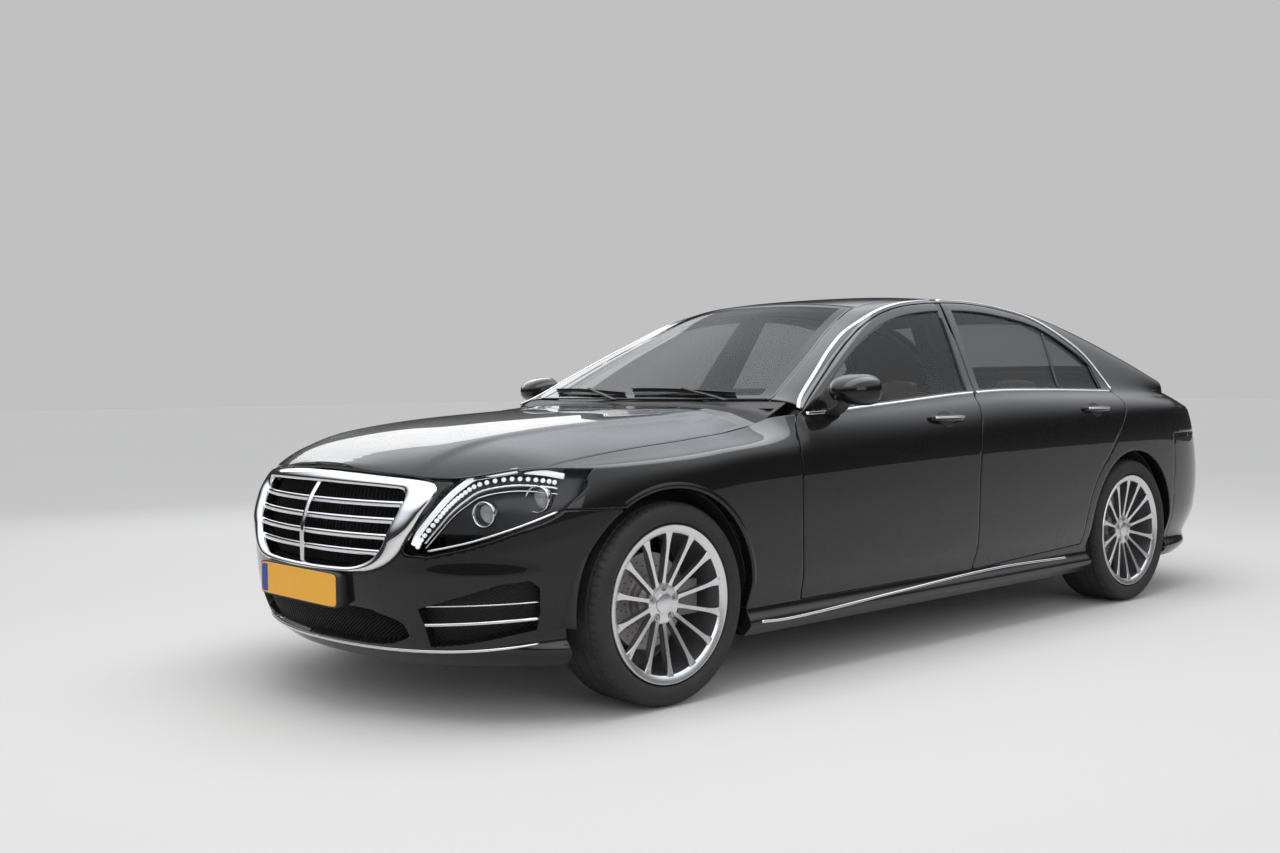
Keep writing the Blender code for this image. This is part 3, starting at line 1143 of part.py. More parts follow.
def window_cutters(name, centre):
    """The openings between the spokes, as one cutter of separate wedges."""
    bm = bmesh.new()
    pitch = 2.0 * math.pi / SPOKES
    for k in range(SPOKES):
        angle = (k + 0.5) * pitch - 0.5 * math.pi
        out = np.array((math.cos(angle), math.sin(angle)))
        side = np.array((-out[1], out[0]))
        corners = []
        for radius, spoke in ((WINDOW_INNER, SPOKE_ROOT), (WINDOW_OUTER, SPOKE_TIP)):
            half = 0.5 * (radius * pitch - spoke)
            corners += [radius * out - half * side, radius * out + half * side]
        corners = [corners[0], corners[1], corners[3], corners[2]]
        rings = []
        for y in (0.0, 0.60 * RIM_WIDTH):
            rings.append([bm.verts.new((centre[0] + c[0], centre[1] + y, centre[2] + c[1])) for c in corners])
        bm.faces.new(rings[0])
        bm.faces.new(rings[1])
        for a in range(4):
            b = (a + 1) % 4
            bm.faces.new((rings[0][a], rings[0][b], rings[1][b], rings[1][a]))
    bmesh.ops.recalc_face_normals(bm, faces=bm.faces)
    mesh = bpy.data.meshes.new(name)
    bm.to_mesh(mesh)
    bm.free()
    return place(name, mesh, STEEL)


def make_wheel(tag, axle_x):
    """A left wheel: a rim with fourteen spokes, hub and brake disc, and its tyre."""
    centre = (axle_x, WHEEL_Y, TYRE_RADIUS)
    face = RIM_FACE_Y - WHEEL_Y
    back = face - RIM_WIDTH
    well = RIM_RADIUS - BEAD_DEPTH - RIM_WALL
    profile = [(RIM_RADIUS, face), (0.87 * RIM_RADIUS, 0.83 * face), (0.28 * RIM_RADIUS, 0.68 * face),
               (BORE_RADIUS, 0.68 * face), (BORE_RADIUS, DISC_Y), (DISC_RADIUS, DISC_Y),
               (DISC_RADIUS, DISC_Y + DISC_WALL), (HUB_RADIUS, DISC_Y + DISC_WALL), (HUB_RADIUS, 0.36 * face),
               (0.86 * RIM_RADIUS, 0.58 * face), (well - RIM_WALL, 0.25 * back), (0.92 * RIM_RADIUS, back),
               (RIM_RADIUS, back), (RIM_RADIUS - BEAD_DEPTH, back + 1.4 * RIM_WALL), (well, 0.30 * back),
               (well, 0.30 * face), (RIM_RADIUS - BEAD_DEPTH, face - 1.4 * RIM_WALL),
               (RIM_RADIUS, face - 0.9 * RIM_WALL)]
    rim = turned("rim_" + tag, profile, centre, ALLOY, WHEEL_SEGMENTS)
    boolean(rim, window_cutters("windows", centre), "DIFFERENCE")
    cap_y = WHEEL_Y + 0.62 * face
    cap = rod("cap", (axle_x, cap_y, TYRE_RADIUS), (axle_x, cap_y + 0.10 * face, TYRE_RADIUS), CAP_RADIUS,
              ALLOY,
              sides=16)
    boolean(rim, cap, "UNION")
    half = 0.5 * TYRE_WIDTH
    seat = RIM_RADIUS - BEAD_DEPTH + 2.0 * SEAT_GAP
    bead_out = face - 1.4 * RIM_WALL - 2.0 * SEAT_GAP
    bead_in = back + 1.4 * RIM_WALL + 2.0 * SEAT_GAP
    tyre = [(seat, bead_out), (RIM_RADIUS + SEAT_GAP, bead_out + 0.35 * RIM_WALL), (0.89 * TYRE_RADIUS,
                                                                                    0.99 * half),
            (0.95 * TYRE_RADIUS, 0.96 * half), (0.99 * TYRE_RADIUS, 0.84 * half), (TYRE_RADIUS, 0.45 * half),
            (TYRE_RADIUS, -0.45 * half), (0.99 * TYRE_RADIUS, -0.84 * half), (0.95 * TYRE_RADIUS,
                                                                              -0.96 * half),
            (0.89 * TYRE_RADIUS, -0.99 * half), (RIM_RADIUS + SEAT_GAP, bead_in - 0.35 * RIM_WALL), (seat,
                                                                                                     bead_in)]
    tyre_obj = turned("tyre_" + tag, tyre, centre, RUBBER, WHEEL_SEGMENTS)
    return rim, tyre_obj


# Running gear
KINGPIN_Y = 0.690
CALIPER_OUTER = 0.205
UPRIGHT_WALL = 0.058
UPRIGHT_LOW = 0.140
UPRIGHT_HIGH = 0.120
UPRIGHT_HALF = 0.045
ARM_HALF = 0.028
ARM_HEIGHT = 0.040
RAIL_Y = (0.380, 0.450)
RAIL_Z = (0.420, 0.520)


def caliper_on(obj, centre, way):
    """A caliper that reaches over the disc, on the side that way points to, with its bracket."""
    inner_face = DISC_Y - 0.2 * DISC_WALL
    outer_face = DISC_Y + 1.2 * DISC_WALL
    cheek = 1.3 * DISC_WALL
    near = 0.55 * CALIPER_OUTER
    bridge = DISC_RADIUS + 0.2 * DISC_WALL
    plan = [(0.0, inner_face - 1.8 * cheek), (near, inner_face - 1.8 * cheek), (CALIPER_OUTER,
                                                                                inner_face - cheek),
            (CALIPER_OUTER, outer_face + cheek), (near, outer_face + cheek), (near, outer_face),
            (bridge, outer_face), (bridge, inner_face), (near, inner_face), (near, inner_face - 0.8 * cheek),
            (0.0, inner_face - 0.8 * cheek)]
    tall = 0.30 * CALIPER_OUTER
    rings = []
    for z in (centre[2] - tall, centre[2] + tall):
        rings.append([(centre[0] + way * x, centre[1] + y, z) for x, y in plan])
    boolean(obj, from_rings("caliper", rings, STEEL), "UNION")


def upright(name, axle_x, way):
    """A wheel carrier: an upright plate with the wheel's spindle and the caliper."""
    centre = (axle_x, WHEEL_Y, TYRE_RADIUS)
    plate_y = KINGPIN_Y - 0.5 * UPRIGHT_WALL
    obj = box(name, (axle_x - UPRIGHT_HALF, plate_y, TYRE_RADIUS - UPRIGHT_LOW),
              (axle_x + UPRIGHT_HALF, plate_y + UPRIGHT_WALL, TYRE_RADIUS + UPRIGHT_HIGH), STEEL)
    spindle = rod("spindle", (axle_x, KINGPIN_Y, TYRE_RADIUS), (axle_x, RIM_FACE_Y - 2.6 * SPINDLE_RADIUS,
                                                                TYRE_RADIUS),
                  SPINDLE_RADIUS, STEEL, sides=WHEEL_SEGMENTS)
    boolean(obj, spindle, "UNION")
    caliper_on(obj, centre, way)
    return obj


def both_sides(make):
    """The same solid on the left and, mirrored, on the right."""
    made = []
    for side in (1.0, -1.0):
        obj = make()
        if side < 0:
            obj.data.transform(Matrix.Scale(-1.0, 4, (0.0, 1.0, 0.0)))
            obj.data.flip_normals()
        made.append(obj)
    return made


FIREWALL_X = 0.4596 * HALF_LENGTH


def make_front_structure():
    """The front structure: rails with the bumper beam, radiator, crossmember and lower arms."""
    low, high = RAIL_Z
    beam_x = 0.905 * HALF_LENGTH
    obj = box("front_structure", (beam_x, -0.50 * HALF_WIDTH, low), (0.925 * HALF_LENGTH,
                                                                     0.50 * HALF_WIDTH, high), STEEL)
    for rail in both_sides(lambda: box("rail", (FIREWALL_X + SEAT_GAP, RAIL_Y[0], low), (beam_x + SHUT_GAP,
                                                                                         RAIL_Y[1], high),
                                       STEEL)):
        boolean(obj, rail, "UNION")
    bracket_y = 0.37 * HALF_WIDTH
    bracket_x = float(nose_x(bracket_y, high)) - 1.62 * BUMPER_WALL
    for bracket in both_sides(lambda: box("bracket", (0.92 * HALF_LENGTH, 0.30 * HALF_WIDTH, 0.29 * HEIGHT),
                                          (bracket_x, bracket_y, 0.315 * HEIGHT), STEEL)):
        boolean(obj, bracket, "UNION")
    radiator = box("radiator", (0.865 * HALF_LENGTH, -RAIL_Y[0] - SHUT_GAP, 0.165 * HEIGHT),
                   (0.888 * HALF_LENGTH, RAIL_Y[0] + SHUT_GAP, 0.50 * HEIGHT), STEEL)
    boolean(obj, radiator, "UNION")
    cross_top = TYRE_RADIUS - UPRIGHT_LOW + 1.5 * ARM_HEIGHT
    cross = box("crossmember", (FRONT_AXLE_X - 2.5 * ARM_HALF, -RAIL_Y[1], cross_top - 2.0 * ARM_HEIGHT),
                (FRONT_AXLE_X + 2.5 * ARM_HALF, RAIL_Y[1], cross_top), STEEL)
    boolean(obj, cross, "UNION")
    for post in both_sides(lambda: box("post", (FRONT_AXLE_X - ARM_HALF, RAIL_Y[0], cross_top - ARM_HEIGHT),
                                       (FRONT_AXLE_X + ARM_HALF, RAIL_Y[1], low + SHUT_GAP), STEEL)):
        boolean(obj, post, "UNION")
    arm_top = TYRE_RADIUS - UPRIGHT_LOW - SEAT_GAP
    for arm in both_sides(lambda: box("arm", (FRONT_AXLE_X - ARM_HALF, 0.9 * RAIL_Y[1], arm_top - ARM_HEIGHT),
                                      (FRONT_AXLE_X + ARM_HALF, KINGPIN_Y + 0.4 * UPRIGHT_WALL, arm_top),
                                      STEEL)):
        boolean(obj, arm, "UNION")
    return obj


def make_engine():
    """The engine, as one plain block on the crossmember."""
    base = TYRE_RADIUS - UPRIGHT_LOW + 1.5 * ARM_HEIGHT + SEAT_GAP
    return box("engine", (FIREWALL_X + 0.05 * HALF_LENGTH, -0.30 * HALF_WIDTH, base),
               (FIREWALL_X + 0.33 * HALF_LENGTH, 0.30 * HALF_WIDTH, base + 0.36 * HEIGHT), STEEL,
               bevel=0.03 * HALF_WIDTH)


FLOOR_WALL = 0.024
floor_shares = ((-0.905, 0.300), (-0.80, 0.285), (-0.70, 0.285), (-0.56, 0.300), (-0.47, 0.285), (-0.385,
                                                                                                  0.240),
                (-0.275, 0.232), (-0.245, 0.145), (-0.05, 0.136), (0.16, 0.136), (0.325, 0.136), (0.347,
                                                                                                  0.136),
                (0.40, 0.190),
                (0.448, 0.300), (0.455, 0.420), (0.452, 0.580), (0.437, 0.612), (0.412, 0.616), (0.403,
                                                                                                 0.640))
floor_half_shares = ((-0.905, 0.60), (-0.45, 0.60), (-0.40, 0.60), (-0.375, 0.7692), (0.325, 0.7692),
                     (0.345, 0.731),
                     (0.46, 0.731))
TUNNEL_RISE = 0.110
TUNNEL_HALF = 0.150


def make_underbody():
    """Floor with its tunnel, firewall and cowl, seat pan and boot floor, as one bent sheet."""
    stations = np.array(floor_shares) * (HALF_LENGTH, HEIGHT)
    share = np.array([-1.0, -0.6, -0.27, -0.17, -0.08, 0.08, 0.17, 0.27, 0.6, 1.0])
    grid = np.zeros((len(stations), len(share), 3))
    for i, (x, z) in enumerate(stations):
        half = float(follow(floor_half_shares, x, HALF_WIDTH)) - SEAT_GAP
        ys = half * share
        on_floor = 1.0 if -0.25 * HALF_LENGTH < x < 0.36 * HALF_LENGTH else 0.0
        bump = np.clip((TUNNEL_HALF - np.abs(ys)) / (0.5 * TUNNEL_HALF), 0.0, 1.0)
        grid[i, :, 0] = x
        grid[i, :, 1] = ys
        grid[i, :, 2] = z + on_floor * TUNNEL_RISE * bump
    floor = shell("underbody", grid, FLOOR_WALL, (0.0, 0.0, 1.0), BLACK_PLASTIC)
    for side in (-1.0, 1.0):
        ys = sorted(side * (BONNET_ARM_Y + np.array([0.5 * BONNET_WALL + SEAT_GAP, BONNET_WALL + SEAT_GAP])))
        ear = box("bonnet_ear", (BONNET_HINGE_X - 0.55 * BONNET_WALL, ys[0], 0.620 * HEIGHT),
                  (BONNET_HINGE_X + 0.55 * BONNET_WALL, ys[1], BONNET_HINGE_Z + 0.4 * BONNET_WALL), STEEL)
        boolean(floor, ear, "UNION")
    return floor


def make_rear_axle():
    """The rear axle: a subframe under the boot floor, arms, wheel carriers, spindles and calipers."""
    top = 0.2967 * HEIGHT - FLOOR_WALL - SEAT_GAP
    obj = box("rear_axle", (REAR_AXLE_X - 2.0 * ARM_HALF, -0.58 * HALF_WIDTH, top - 2.5 * ARM_HEIGHT),
              (REAR_AXLE_X + 2.0 * ARM_HALF, 0.58 * HALF_WIDTH, top - ARM_HEIGHT), STEEL)
    for mount in both_sides(lambda: box("mount", (REAR_AXLE_X - ARM_HALF, 0.40 * HALF_WIDTH,
                                                  top - 1.2 * ARM_HEIGHT),
                                        (REAR_AXLE_X + ARM_HALF, 0.50 * HALF_WIDTH, top), STEEL)):
        boolean(obj, mount, "UNION")
    for arm in both_sides(lambda: box("arm", (REAR_AXLE_X - ARM_HALF, 0.50 * HALF_WIDTH,
                                              top - 2.4 * ARM_HEIGHT),
                                      (REAR_AXLE_X + ARM_HALF, KINGPIN_Y, top - 1.4 * ARM_HEIGHT), STEEL)):
        boolean(obj, arm, "UNION")
    left = upright("carrier", REAR_AXLE_X, 1.0)
    right = twin(left, "carrier_right")
    boolean(obj, left, "UNION")
    boolean(obj, right, "UNION")
    return obj


EXHAUST_RADIUS = 0.030
EXHAUST_Y = 0.30 * HALF_WIDTH
EXHAUST_Z = 0.135 * HEIGHT


def make_exhaust():
    """The exhaust: a silencer behind the axle with a pipe forward and two tail pipes."""
    top = 0.285 * HEIGHT - FLOOR_WALL - SEAT_GAP
    obj = box("exhaust", (-0.86 * HALF_LENGTH, -0.45 * HALF_WIDTH, top - 0.11 * HEIGHT),
              (-0.71 * HALF_LENGTH, 0.45 * HALF_WIDTH, top), STEEL, bevel=EXHAUST_RADIUS)
    z = top - 0.055 * HEIGHT
    for pipe in both_sides(lambda: rod("tail_pipe", (-0.938 * HALF_LENGTH, 0.40 * HALF_WIDTH, z),
                                       (-0.80 * HALF_LENGTH, 0.40 * HALF_WIDTH, z), EXHAUST_RADIUS, STEEL)):
        boolean(obj, pipe, "UNION")
    low = rod("pipe", (-0.72 * HALF_LENGTH, EXHAUST_Y, top - 0.10 * HEIGHT),
              (-0.62 * HALF_LENGTH, EXHAUST_Y, EXHAUST_Z), EXHAUST_RADIUS, STEEL)
    boolean(obj, low, "UNION")
    run = rod("pipe", (-0.625 * HALF_LENGTH, EXHAUST_Y, EXHAUST_Z), (-0.29 * HALF_LENGTH, EXHAUST_Y,
                                                                     EXHAUST_Z),
              EXHAUST_RADIUS, STEEL)
    boolean(obj, run, "UNION")
    return obj


# Cabin
SEAT_Y = 0.400 * HALF_WIDTH
CUSHION_HALF = 0.255
CUSHION_WALL = 0.140
BACK_WALL = 0.110
SEAT_HEIGHT = 0.790
FLOOR_Z = 0.136 * HEIGHT


def soft_block(name, low, high, lean, bevel):
    """A cushion: a rounded box whose top leans back."""
    obj = box(name, low, high, LEATHER, bevel=bevel)
    for vertex in obj.data.vertices:
        if vertex.co.z > 0.5 * (low[2] + high[2]):
            vertex.co.x -= lean
    return obj


def make_front_seat():
    """The left front seat, as one closed solid: a base, cushion, back and headrest."""
    front, back = 0.165 * HALF_LENGTH, -0.040 * HALF_LENGTH
    cushion_top = 0.285 * HEIGHT
    low_y, high_y = SEAT_Y - CUSHION_HALF, SEAT_Y + CUSHION_HALF
    round_off = 0.25 * BACK_WALL
    seat = box("seat_front_left", (back, low_y, cushion_top - CUSHION_WALL), (front, high_y, cushion_top),
               LEATHER,
               bevel=round_off)
    plinth = box("plinth", (back + BACK_WALL, low_y + BACK_WALL, FLOOR_Z + SEAT_GAP),
                 (front - BACK_WALL, high_y - 0.5 * BACK_WALL, cushion_top - 0.9 * CUSHION_WALL),
                 BLACK_PLASTIC)
    boolean(seat, plinth, "UNION")
    top = cushion_top + 0.60 * SEAT_HEIGHT
    lean = 0.30 * SEAT_HEIGHT
    rest = soft_block("seat_back", (back - 0.2 * BACK_WALL, low_y + round_off,
                                    cushion_top - 0.5 * CUSHION_WALL),
                      (back + 0.8 * BACK_WALL, high_y - round_off, top), lean, round_off)
    boolean(seat, rest, "UNION")
    head = box("headrest", (back - lean - 0.35 * BACK_WALL, SEAT_Y - 0.5 * CUSHION_HALF, top - round_off),
               (back - lean + 0.75 * BACK_WALL, SEAT_Y + 0.5 * CUSHION_HALF, top + 0.20 * SEAT_HEIGHT),
               LEATHER,
               bevel=round_off)
    boolean(seat, head, "UNION")
    return seat


def make_rear_seat():
    """The rear bench: one wide cushion with a leaning back."""
    front, back = -0.245 * HALF_LENGTH, -0.440 * HALF_LENGTH
    pan_z = 0.2388 * HEIGHT
    half = 0.70 * HALF_WIDTH
    round_off = 0.25 * BACK_WALL
    seat = box("rear_seat", (back, -half, 0.290 * HEIGHT), (front, half, 0.345 * HEIGHT), LEATHER,
               bevel=round_off)
    base = box("bench_base", (-0.37 * HALF_LENGTH, -half + round_off, pan_z + SEAT_GAP),
               (-0.28 * HALF_LENGTH, half - round_off, 0.30 * HEIGHT), BLACK_PLASTIC)
    boolean(seat, base, "UNION")
    back_rest = soft_block("bench_back", (back - 0.2 * BACK_WALL, -half + round_off, 0.30 * HEIGHT),
                           (back + BACK_WALL, half - round_off, 0.685 * HEIGHT), 0.20 * SEAT_HEIGHT,
                           round_off)
    boolean(seat, back_rest, "UNION")
    return seat


COLUMN_RADIUS = 0.030
WHEEL_RIM_RADIUS = 0.180
WHEEL_GRIP = 0.015
COLUMN_TILT = math.radians(22.0)
STEERING_X = 0.205 * HALF_LENGTH
STEERING_Z = 0.545 * HEIGHT


def column_axis():
    """The direction from the dashboard to the driver along the steering column."""
    return np.array((-math.cos(COLUMN_TILT), 0.0, math.sin(COLUMN_TILT)))


def make_dashboard():
    """The dashboard with the console between the seats and the steering column."""
    half = 0.727 * HALF_WIDTH
    profile = np.array([(0.245, 0.430), (0.385, 0.400), (0.425, 0.430), (0.430, 0.590), (0.397, 0.603),
                        (0.385, 0.628),
                        (0.330, 0.640), (0.262, 0.640), (0.238, 0.610), (0.232, 0.520)]) * (HALF_LENGTH,
                                                                                            HEIGHT)
    rings = [np.stack([profile[:, 0], np.full(len(profile), y), profile[:, 1]], axis=1) for y in (-half,
                                                                                                  half)]
    dash = from_rings("dashboard", rings, LEATHER)
    console = box("console", (-0.06 * HALF_LENGTH, -0.13 * HALF_WIDTH, FLOOR_Z + TUNNEL_RISE + SEAT_GAP),
                  (0.27 * HALF_LENGTH, 0.13 * HALF_WIDTH, 0.420 * HEIGHT), LEATHER, bevel=0.02 * HALF_WIDTH)
    boolean(dash, console, "UNION")
    front = box("console_front", (0.20 * HALF_LENGTH, -0.13 * HALF_WIDTH, 0.38 * HEIGHT),
                (0.30 * HALF_LENGTH, 0.13 * HALF_WIDTH, 0.50 * HEIGHT), LEATHER)
    boolean(dash, front, "UNION")
    hub = np.array((STEERING_X, SEAT_Y, STEERING_Z))
    axis = column_axis()
    column = rod("column", hub - (0.5 * WHEEL_GRIP + SEAT_GAP) * axis, hub - 1.3 * WHEEL_RIM_RADIUS * axis,
                 COLUMN_RADIUS, BLACK_PLASTIC)
    boolean(dash, column, "UNION")
    for side in (1.0, -1.0):
        end_y = side * half
        foot = box("dash_foot", (0.405 * HALF_LENGTH, min(0.9 * end_y, end_y), 0.50 * HEIGHT),
                   (0.4528 * HALF_LENGTH, max(0.9 * end_y, end_y), 0.52 * HEIGHT), BLACK_PLASTIC)
        boolean(dash, foot, "UNION")
    return dash


def make_steering_wheel():
    """The steering wheel: a ring with a hub and three spokes, square to its column."""
    bpy.ops.mesh.primitive_torus_add(major_radius=WHEEL_RIM_RADIUS, minor_radius=WHEEL_GRIP,
                                     major_segments=24,
                                     minor_segments=6)
    wheel = bpy.context.active_object
    wheel.name = "steering_wheel"
    wheel.data.materials.append(LEATHER)
    for collection in list(wheel.users_collection):
        collection.objects.unlink(wheel)
    PARTS.objects.link(wheel)
    hub = np.array((STEERING_X, SEAT_Y, STEERING_Z))
    axis = column_axis()
    up = np.array((axis[2], 0.0, -axis[0]))
    tilt = Matrix.Translation(hub) @ Matrix.Rotation(COLUMN_TILT - 0.5 * math.pi, 4, "Y")
    wheel.data.transform(tilt)
    boss = rod("boss", hub - 0.5 * WHEEL_GRIP * axis, hub + 1.5 * WHEEL_GRIP * axis,
               0.35 * WHEEL_RIM_RADIUS, LEATHER)
    boolean(wheel, boss, "UNION")
    for way in (np.array((0.0, 1.0, 0.0)), np.array((0.0, -1.0, 0.0)), -up):
        tip = hub + 0.2 * WHEEL_GRIP * axis + WHEEL_RIM_RADIUS * way
        spoke = rod("spoke", hub + 0.2 * WHEEL_GRIP * axis + 0.15 * WHEEL_RIM_RADIUS * way, tip,
                    0.45 * WHEEL_GRIP, LEATHER, sides=8)
        boolean(wheel, spoke, "UNION")
    return wheel


# Handles and mirror of the doors
FRONT_HANDLE = (0.108, 0.942)
REAR_HANDLE = (-1.113, 0.958)
MIRROR_X = (0.765, 0.885)
MIRROR_Y = (0.935, 1.075)
MIRROR_Z = (1.012, 1.140)


def mirror_on(door):
    """The door mirror: a rounded housing on a short arm from the belt line."""
    housing = box("mirror", (MIRROR_X[0], MIRROR_Y[0], MIRROR_Z[0]), (MIRROR_X[1], MIRROR_Y[1], MIRROR_Z[1]),
                  BLACK_PAINT, bevel=0.28 * (MIRROR_X[1] - MIRROR_X[0]))
    boolean(door, housing, "UNION")
    middle = 0.5 * (MIRROR_X[0] + MIRROR_X[1])
    arm_half = 0.25 * (MIRROR_X[1] - MIRROR_X[0])
    arm = box("mirror_arm", (middle - arm_half, 0.908 * HALF_WIDTH, MIRROR_Z[0] - 1.5 * arm_half),
              (middle + arm_half, MIRROR_Y[0] + arm_half, MIRROR_Z[0] + 0.5 * arm_half), BLACK_PLASTIC)
    boolean(door, arm, "UNION")


# The whole car
def build_car():
    """Make every piece, and put each moving piece's origin on its joint's axis."""
    side = make_body_side()
    fit_quarter(side)
    fender = make_fender()
    front_door, front_glass = make_door("front_door_left", FRONT_DOOR, front_gaps, front_drafts,
                                        FRONT_DOOR_STATIONS, FRONT_WINDOW, FRONT_HINGE_X,
                                        float(door_front[3][0]), FRONT_HANDLE)
    mirror_on(front_door)
    rear_door, rear_glass = make_door("rear_door_left", REAR_DOOR, rear_gaps, rear_drafts,
                                      REAR_DOOR_STATIONS, REAR_WINDOW, REAR_HINGE_X,
                                      float(door_split[3][0]), REAR_HANDLE)
    lamp = make_headlamp()
    tail_lamp = make_tail_lamp()
    knuckle = upright("knuckle_left", FRONT_AXLE_X, -1.0)
    front_rim, front_tyre = make_wheel("front_left", FRONT_AXLE_X)
    rear_rim, rear_tyre = make_wheel("rear_left", REAR_AXLE_X)
    seat = make_front_seat()
    for left in (side, fender, front_door, front_glass, rear_door, rear_glass, lamp, tail_lamp, knuckle,
                 front_rim, front_tyre, rear_rim, rear_tyre, seat):
        twin(left, left.name.replace("left", "right"))
    make_greenhouse()
    bonnet = make_bonnet()
    boot_lid = make_boot_lid()
    make_front_bumper()
    make_rear_bumper()
    make_grille()
    make_engine()
    make_front_structure()
    make_underbody()
    make_rear_axle()
    make_exhaust()
    make_rear_seat()
    make_dashboard()
    make_steering_wheel()
    for tag, sign in (("left", 1.0), ("right", -1.0)):
        for name in ("front_door_" + tag, "front_glass_" + tag):
            carried_at(bpy.data.objects[name], (FRONT_HINGE_X, sign * HINGE_Y, 0.0))
        for name in ("rear_door_" + tag, "rear_glass_" + tag):
            carried_at(bpy.data.objects[name], (REAR_HINGE_X, sign * HINGE_Y, 0.0))
        carried_at(bpy.data.objects["knuckle_" + tag], (FRONT_AXLE_X, sign * KINGPIN_Y, TYRE_RADIUS))
        for end, axle_x in (("front", FRONT_AXLE_X), ("rear", REAR_AXLE_X)):
            for kind in ("rim", "tyre"):
                carried_at(bpy.data.objects[kind + "_" + end + "_" + tag], (axle_x, sign * WHEEL_Y,
                                                                            TYRE_RADIUS))
    carried_at(bonnet, (BONNET_HINGE_X, 0.0, BONNET_HINGE_Z))
    carried_at(boot_lid, (BOOT_HINGE_X, 0.0, BOOT_HINGE_Z))


build_car()
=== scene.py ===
import math

import bpy
import numpy as np
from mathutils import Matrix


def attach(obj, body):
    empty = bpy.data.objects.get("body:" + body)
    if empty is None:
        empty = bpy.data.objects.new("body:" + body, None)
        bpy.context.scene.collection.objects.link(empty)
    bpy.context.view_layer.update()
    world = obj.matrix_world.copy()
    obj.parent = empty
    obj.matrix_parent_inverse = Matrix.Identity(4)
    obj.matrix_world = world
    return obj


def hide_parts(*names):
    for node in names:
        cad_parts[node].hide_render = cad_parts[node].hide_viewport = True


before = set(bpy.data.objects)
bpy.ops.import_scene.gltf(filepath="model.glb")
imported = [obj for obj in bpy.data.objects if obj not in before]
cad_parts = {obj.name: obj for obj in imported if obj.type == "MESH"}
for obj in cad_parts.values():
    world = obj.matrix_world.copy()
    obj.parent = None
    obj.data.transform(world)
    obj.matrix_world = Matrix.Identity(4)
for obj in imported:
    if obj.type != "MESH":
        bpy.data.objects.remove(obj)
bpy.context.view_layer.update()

# Studio: none of it is part of the car. The camera stands where the photograph was taken, ahead of the
# left front wing, and the floor and the sky are plain and pale under one broad soft lamp.
CAMERA_AT = (4.9231, 4.2661, 1.1150)
CAMERA_YAW, CAMERA_PITCH, CAMERA_ROLL = -2.3131, -0.0334, -0.0091
PHOTO_WIDTH, FOCAL_PIXELS, SENSOR = 1280, 1365.2, 36.0
FLOOR_HALF = 60.0
FLOOR_COLOUR = (0.66, 0.66, 0.66, 1.0)
SKY_DIFFUSE = (0.80, 0.80, 0.80, 1.0)
HORIZON_IN_PAINT = (0.035, 0.037, 0.040, 1.0)
ZENITH_IN_PAINT = (1.45, 1.52, 1.62, 1.0)
BACKDROP = (0.53, 0.53, 0.53, 1.0)

forward = np.array([math.cos(CAMERA_YAW) * math.cos(CAMERA_PITCH), math.sin(CAMERA_YAW) * math.cos(CAMERA_PITCH),
                    math.sin(CAMERA_PITCH)])
level_right = np.cross(forward, (0.0, 0.0, 1.0))
level_right /= np.linalg.norm(level_right)
level_up = np.cross(level_right, forward)
right = level_right * math.cos(CAMERA_ROLL) + level_up * math.sin(CAMERA_ROLL)
up = level_up * math.cos(CAMERA_ROLL) - level_right * math.sin(CAMERA_ROLL)


def stood(name, data, place, right, up, forward):
    """A studio object at a place, looking forward."""
    obj = bpy.data.objects.new(name, data)
    bpy.context.scene.collection.objects.link(obj)
    for axis in range(3):
        for column, way in enumerate((right, up, -forward)):
            obj.matrix_world[axis][column] = way[axis]
        obj.matrix_world[axis][3] = place[axis]
    return obj


lens = bpy.data.cameras.new("photo_camera")
lens.sensor_width = SENSOR
lens.lens = FOCAL_PIXELS / PHOTO_WIDTH * SENSOR
bpy.context.scene.camera = stood("photo_camera", lens, CAMERA_AT, right, up, forward)
bpy.context.scene.view_settings.view_transform = "Standard"

for lamp_name, lamp_at, lamp_size, lamp_power in (("overhead", (0.5, 0.6, 4.6), (7.0, 2.6), 150.0),
                                                  ("side_fill", (3.2, 6.5, 2.6), (4.0, 2.0), 50.0),
                                                  ("far_side", (-1.0, -6.5, 3.4), (6.0, 2.0), 60.0)):
    lamp = bpy.data.lights.new(lamp_name, "AREA")
    lamp.shape = "RECTANGLE"
    lamp.size, lamp.size_y = lamp_size
    lamp.energy = lamp_power
    aim = np.array((0.0, 0.0, 0.5)) - np.array(lamp_at)
    aim /= np.linalg.norm(aim)
    side = np.cross(aim, (0.0, 1.0, 0.0) if abs(aim[2]) > 0.9 else (0.0, 0.0, 1.0))
    side /= np.linalg.norm(side)
    stood(lamp_name, lamp, lamp_at, side, np.cross(side, aim), aim)

sky = bpy.data.worlds.new("sky")
bpy.context.scene.world = sky
sky.use_nodes = True
sky_nodes, sky_links = sky.node_tree.nodes, sky.node_tree.links
sky_light = sky_nodes["Background"]
ray = sky_nodes.new("ShaderNodeLightPath")
direction = sky_nodes.new("ShaderNodeTexCoord")
height = sky_nodes.new("ShaderNodeSeparateXYZ")
sky_links.new(direction.outputs["Generated"], height.inputs[0])


def sky_between(factor, first, second):
    """A colour of the sky between two, by a socket or a ray flag."""
    mix = sky_nodes.new("ShaderNodeMix")
    mix.data_type = "RGBA"
    sky_links.new(factor, mix.inputs["Factor"])
    for socket, value in ((mix.inputs[6], first), (mix.inputs[7], second)):
        if isinstance(value, bpy.types.NodeSocket):
            sky_links.new(value, socket)
        else:
            socket.default_value = value
    return mix.outputs[2]


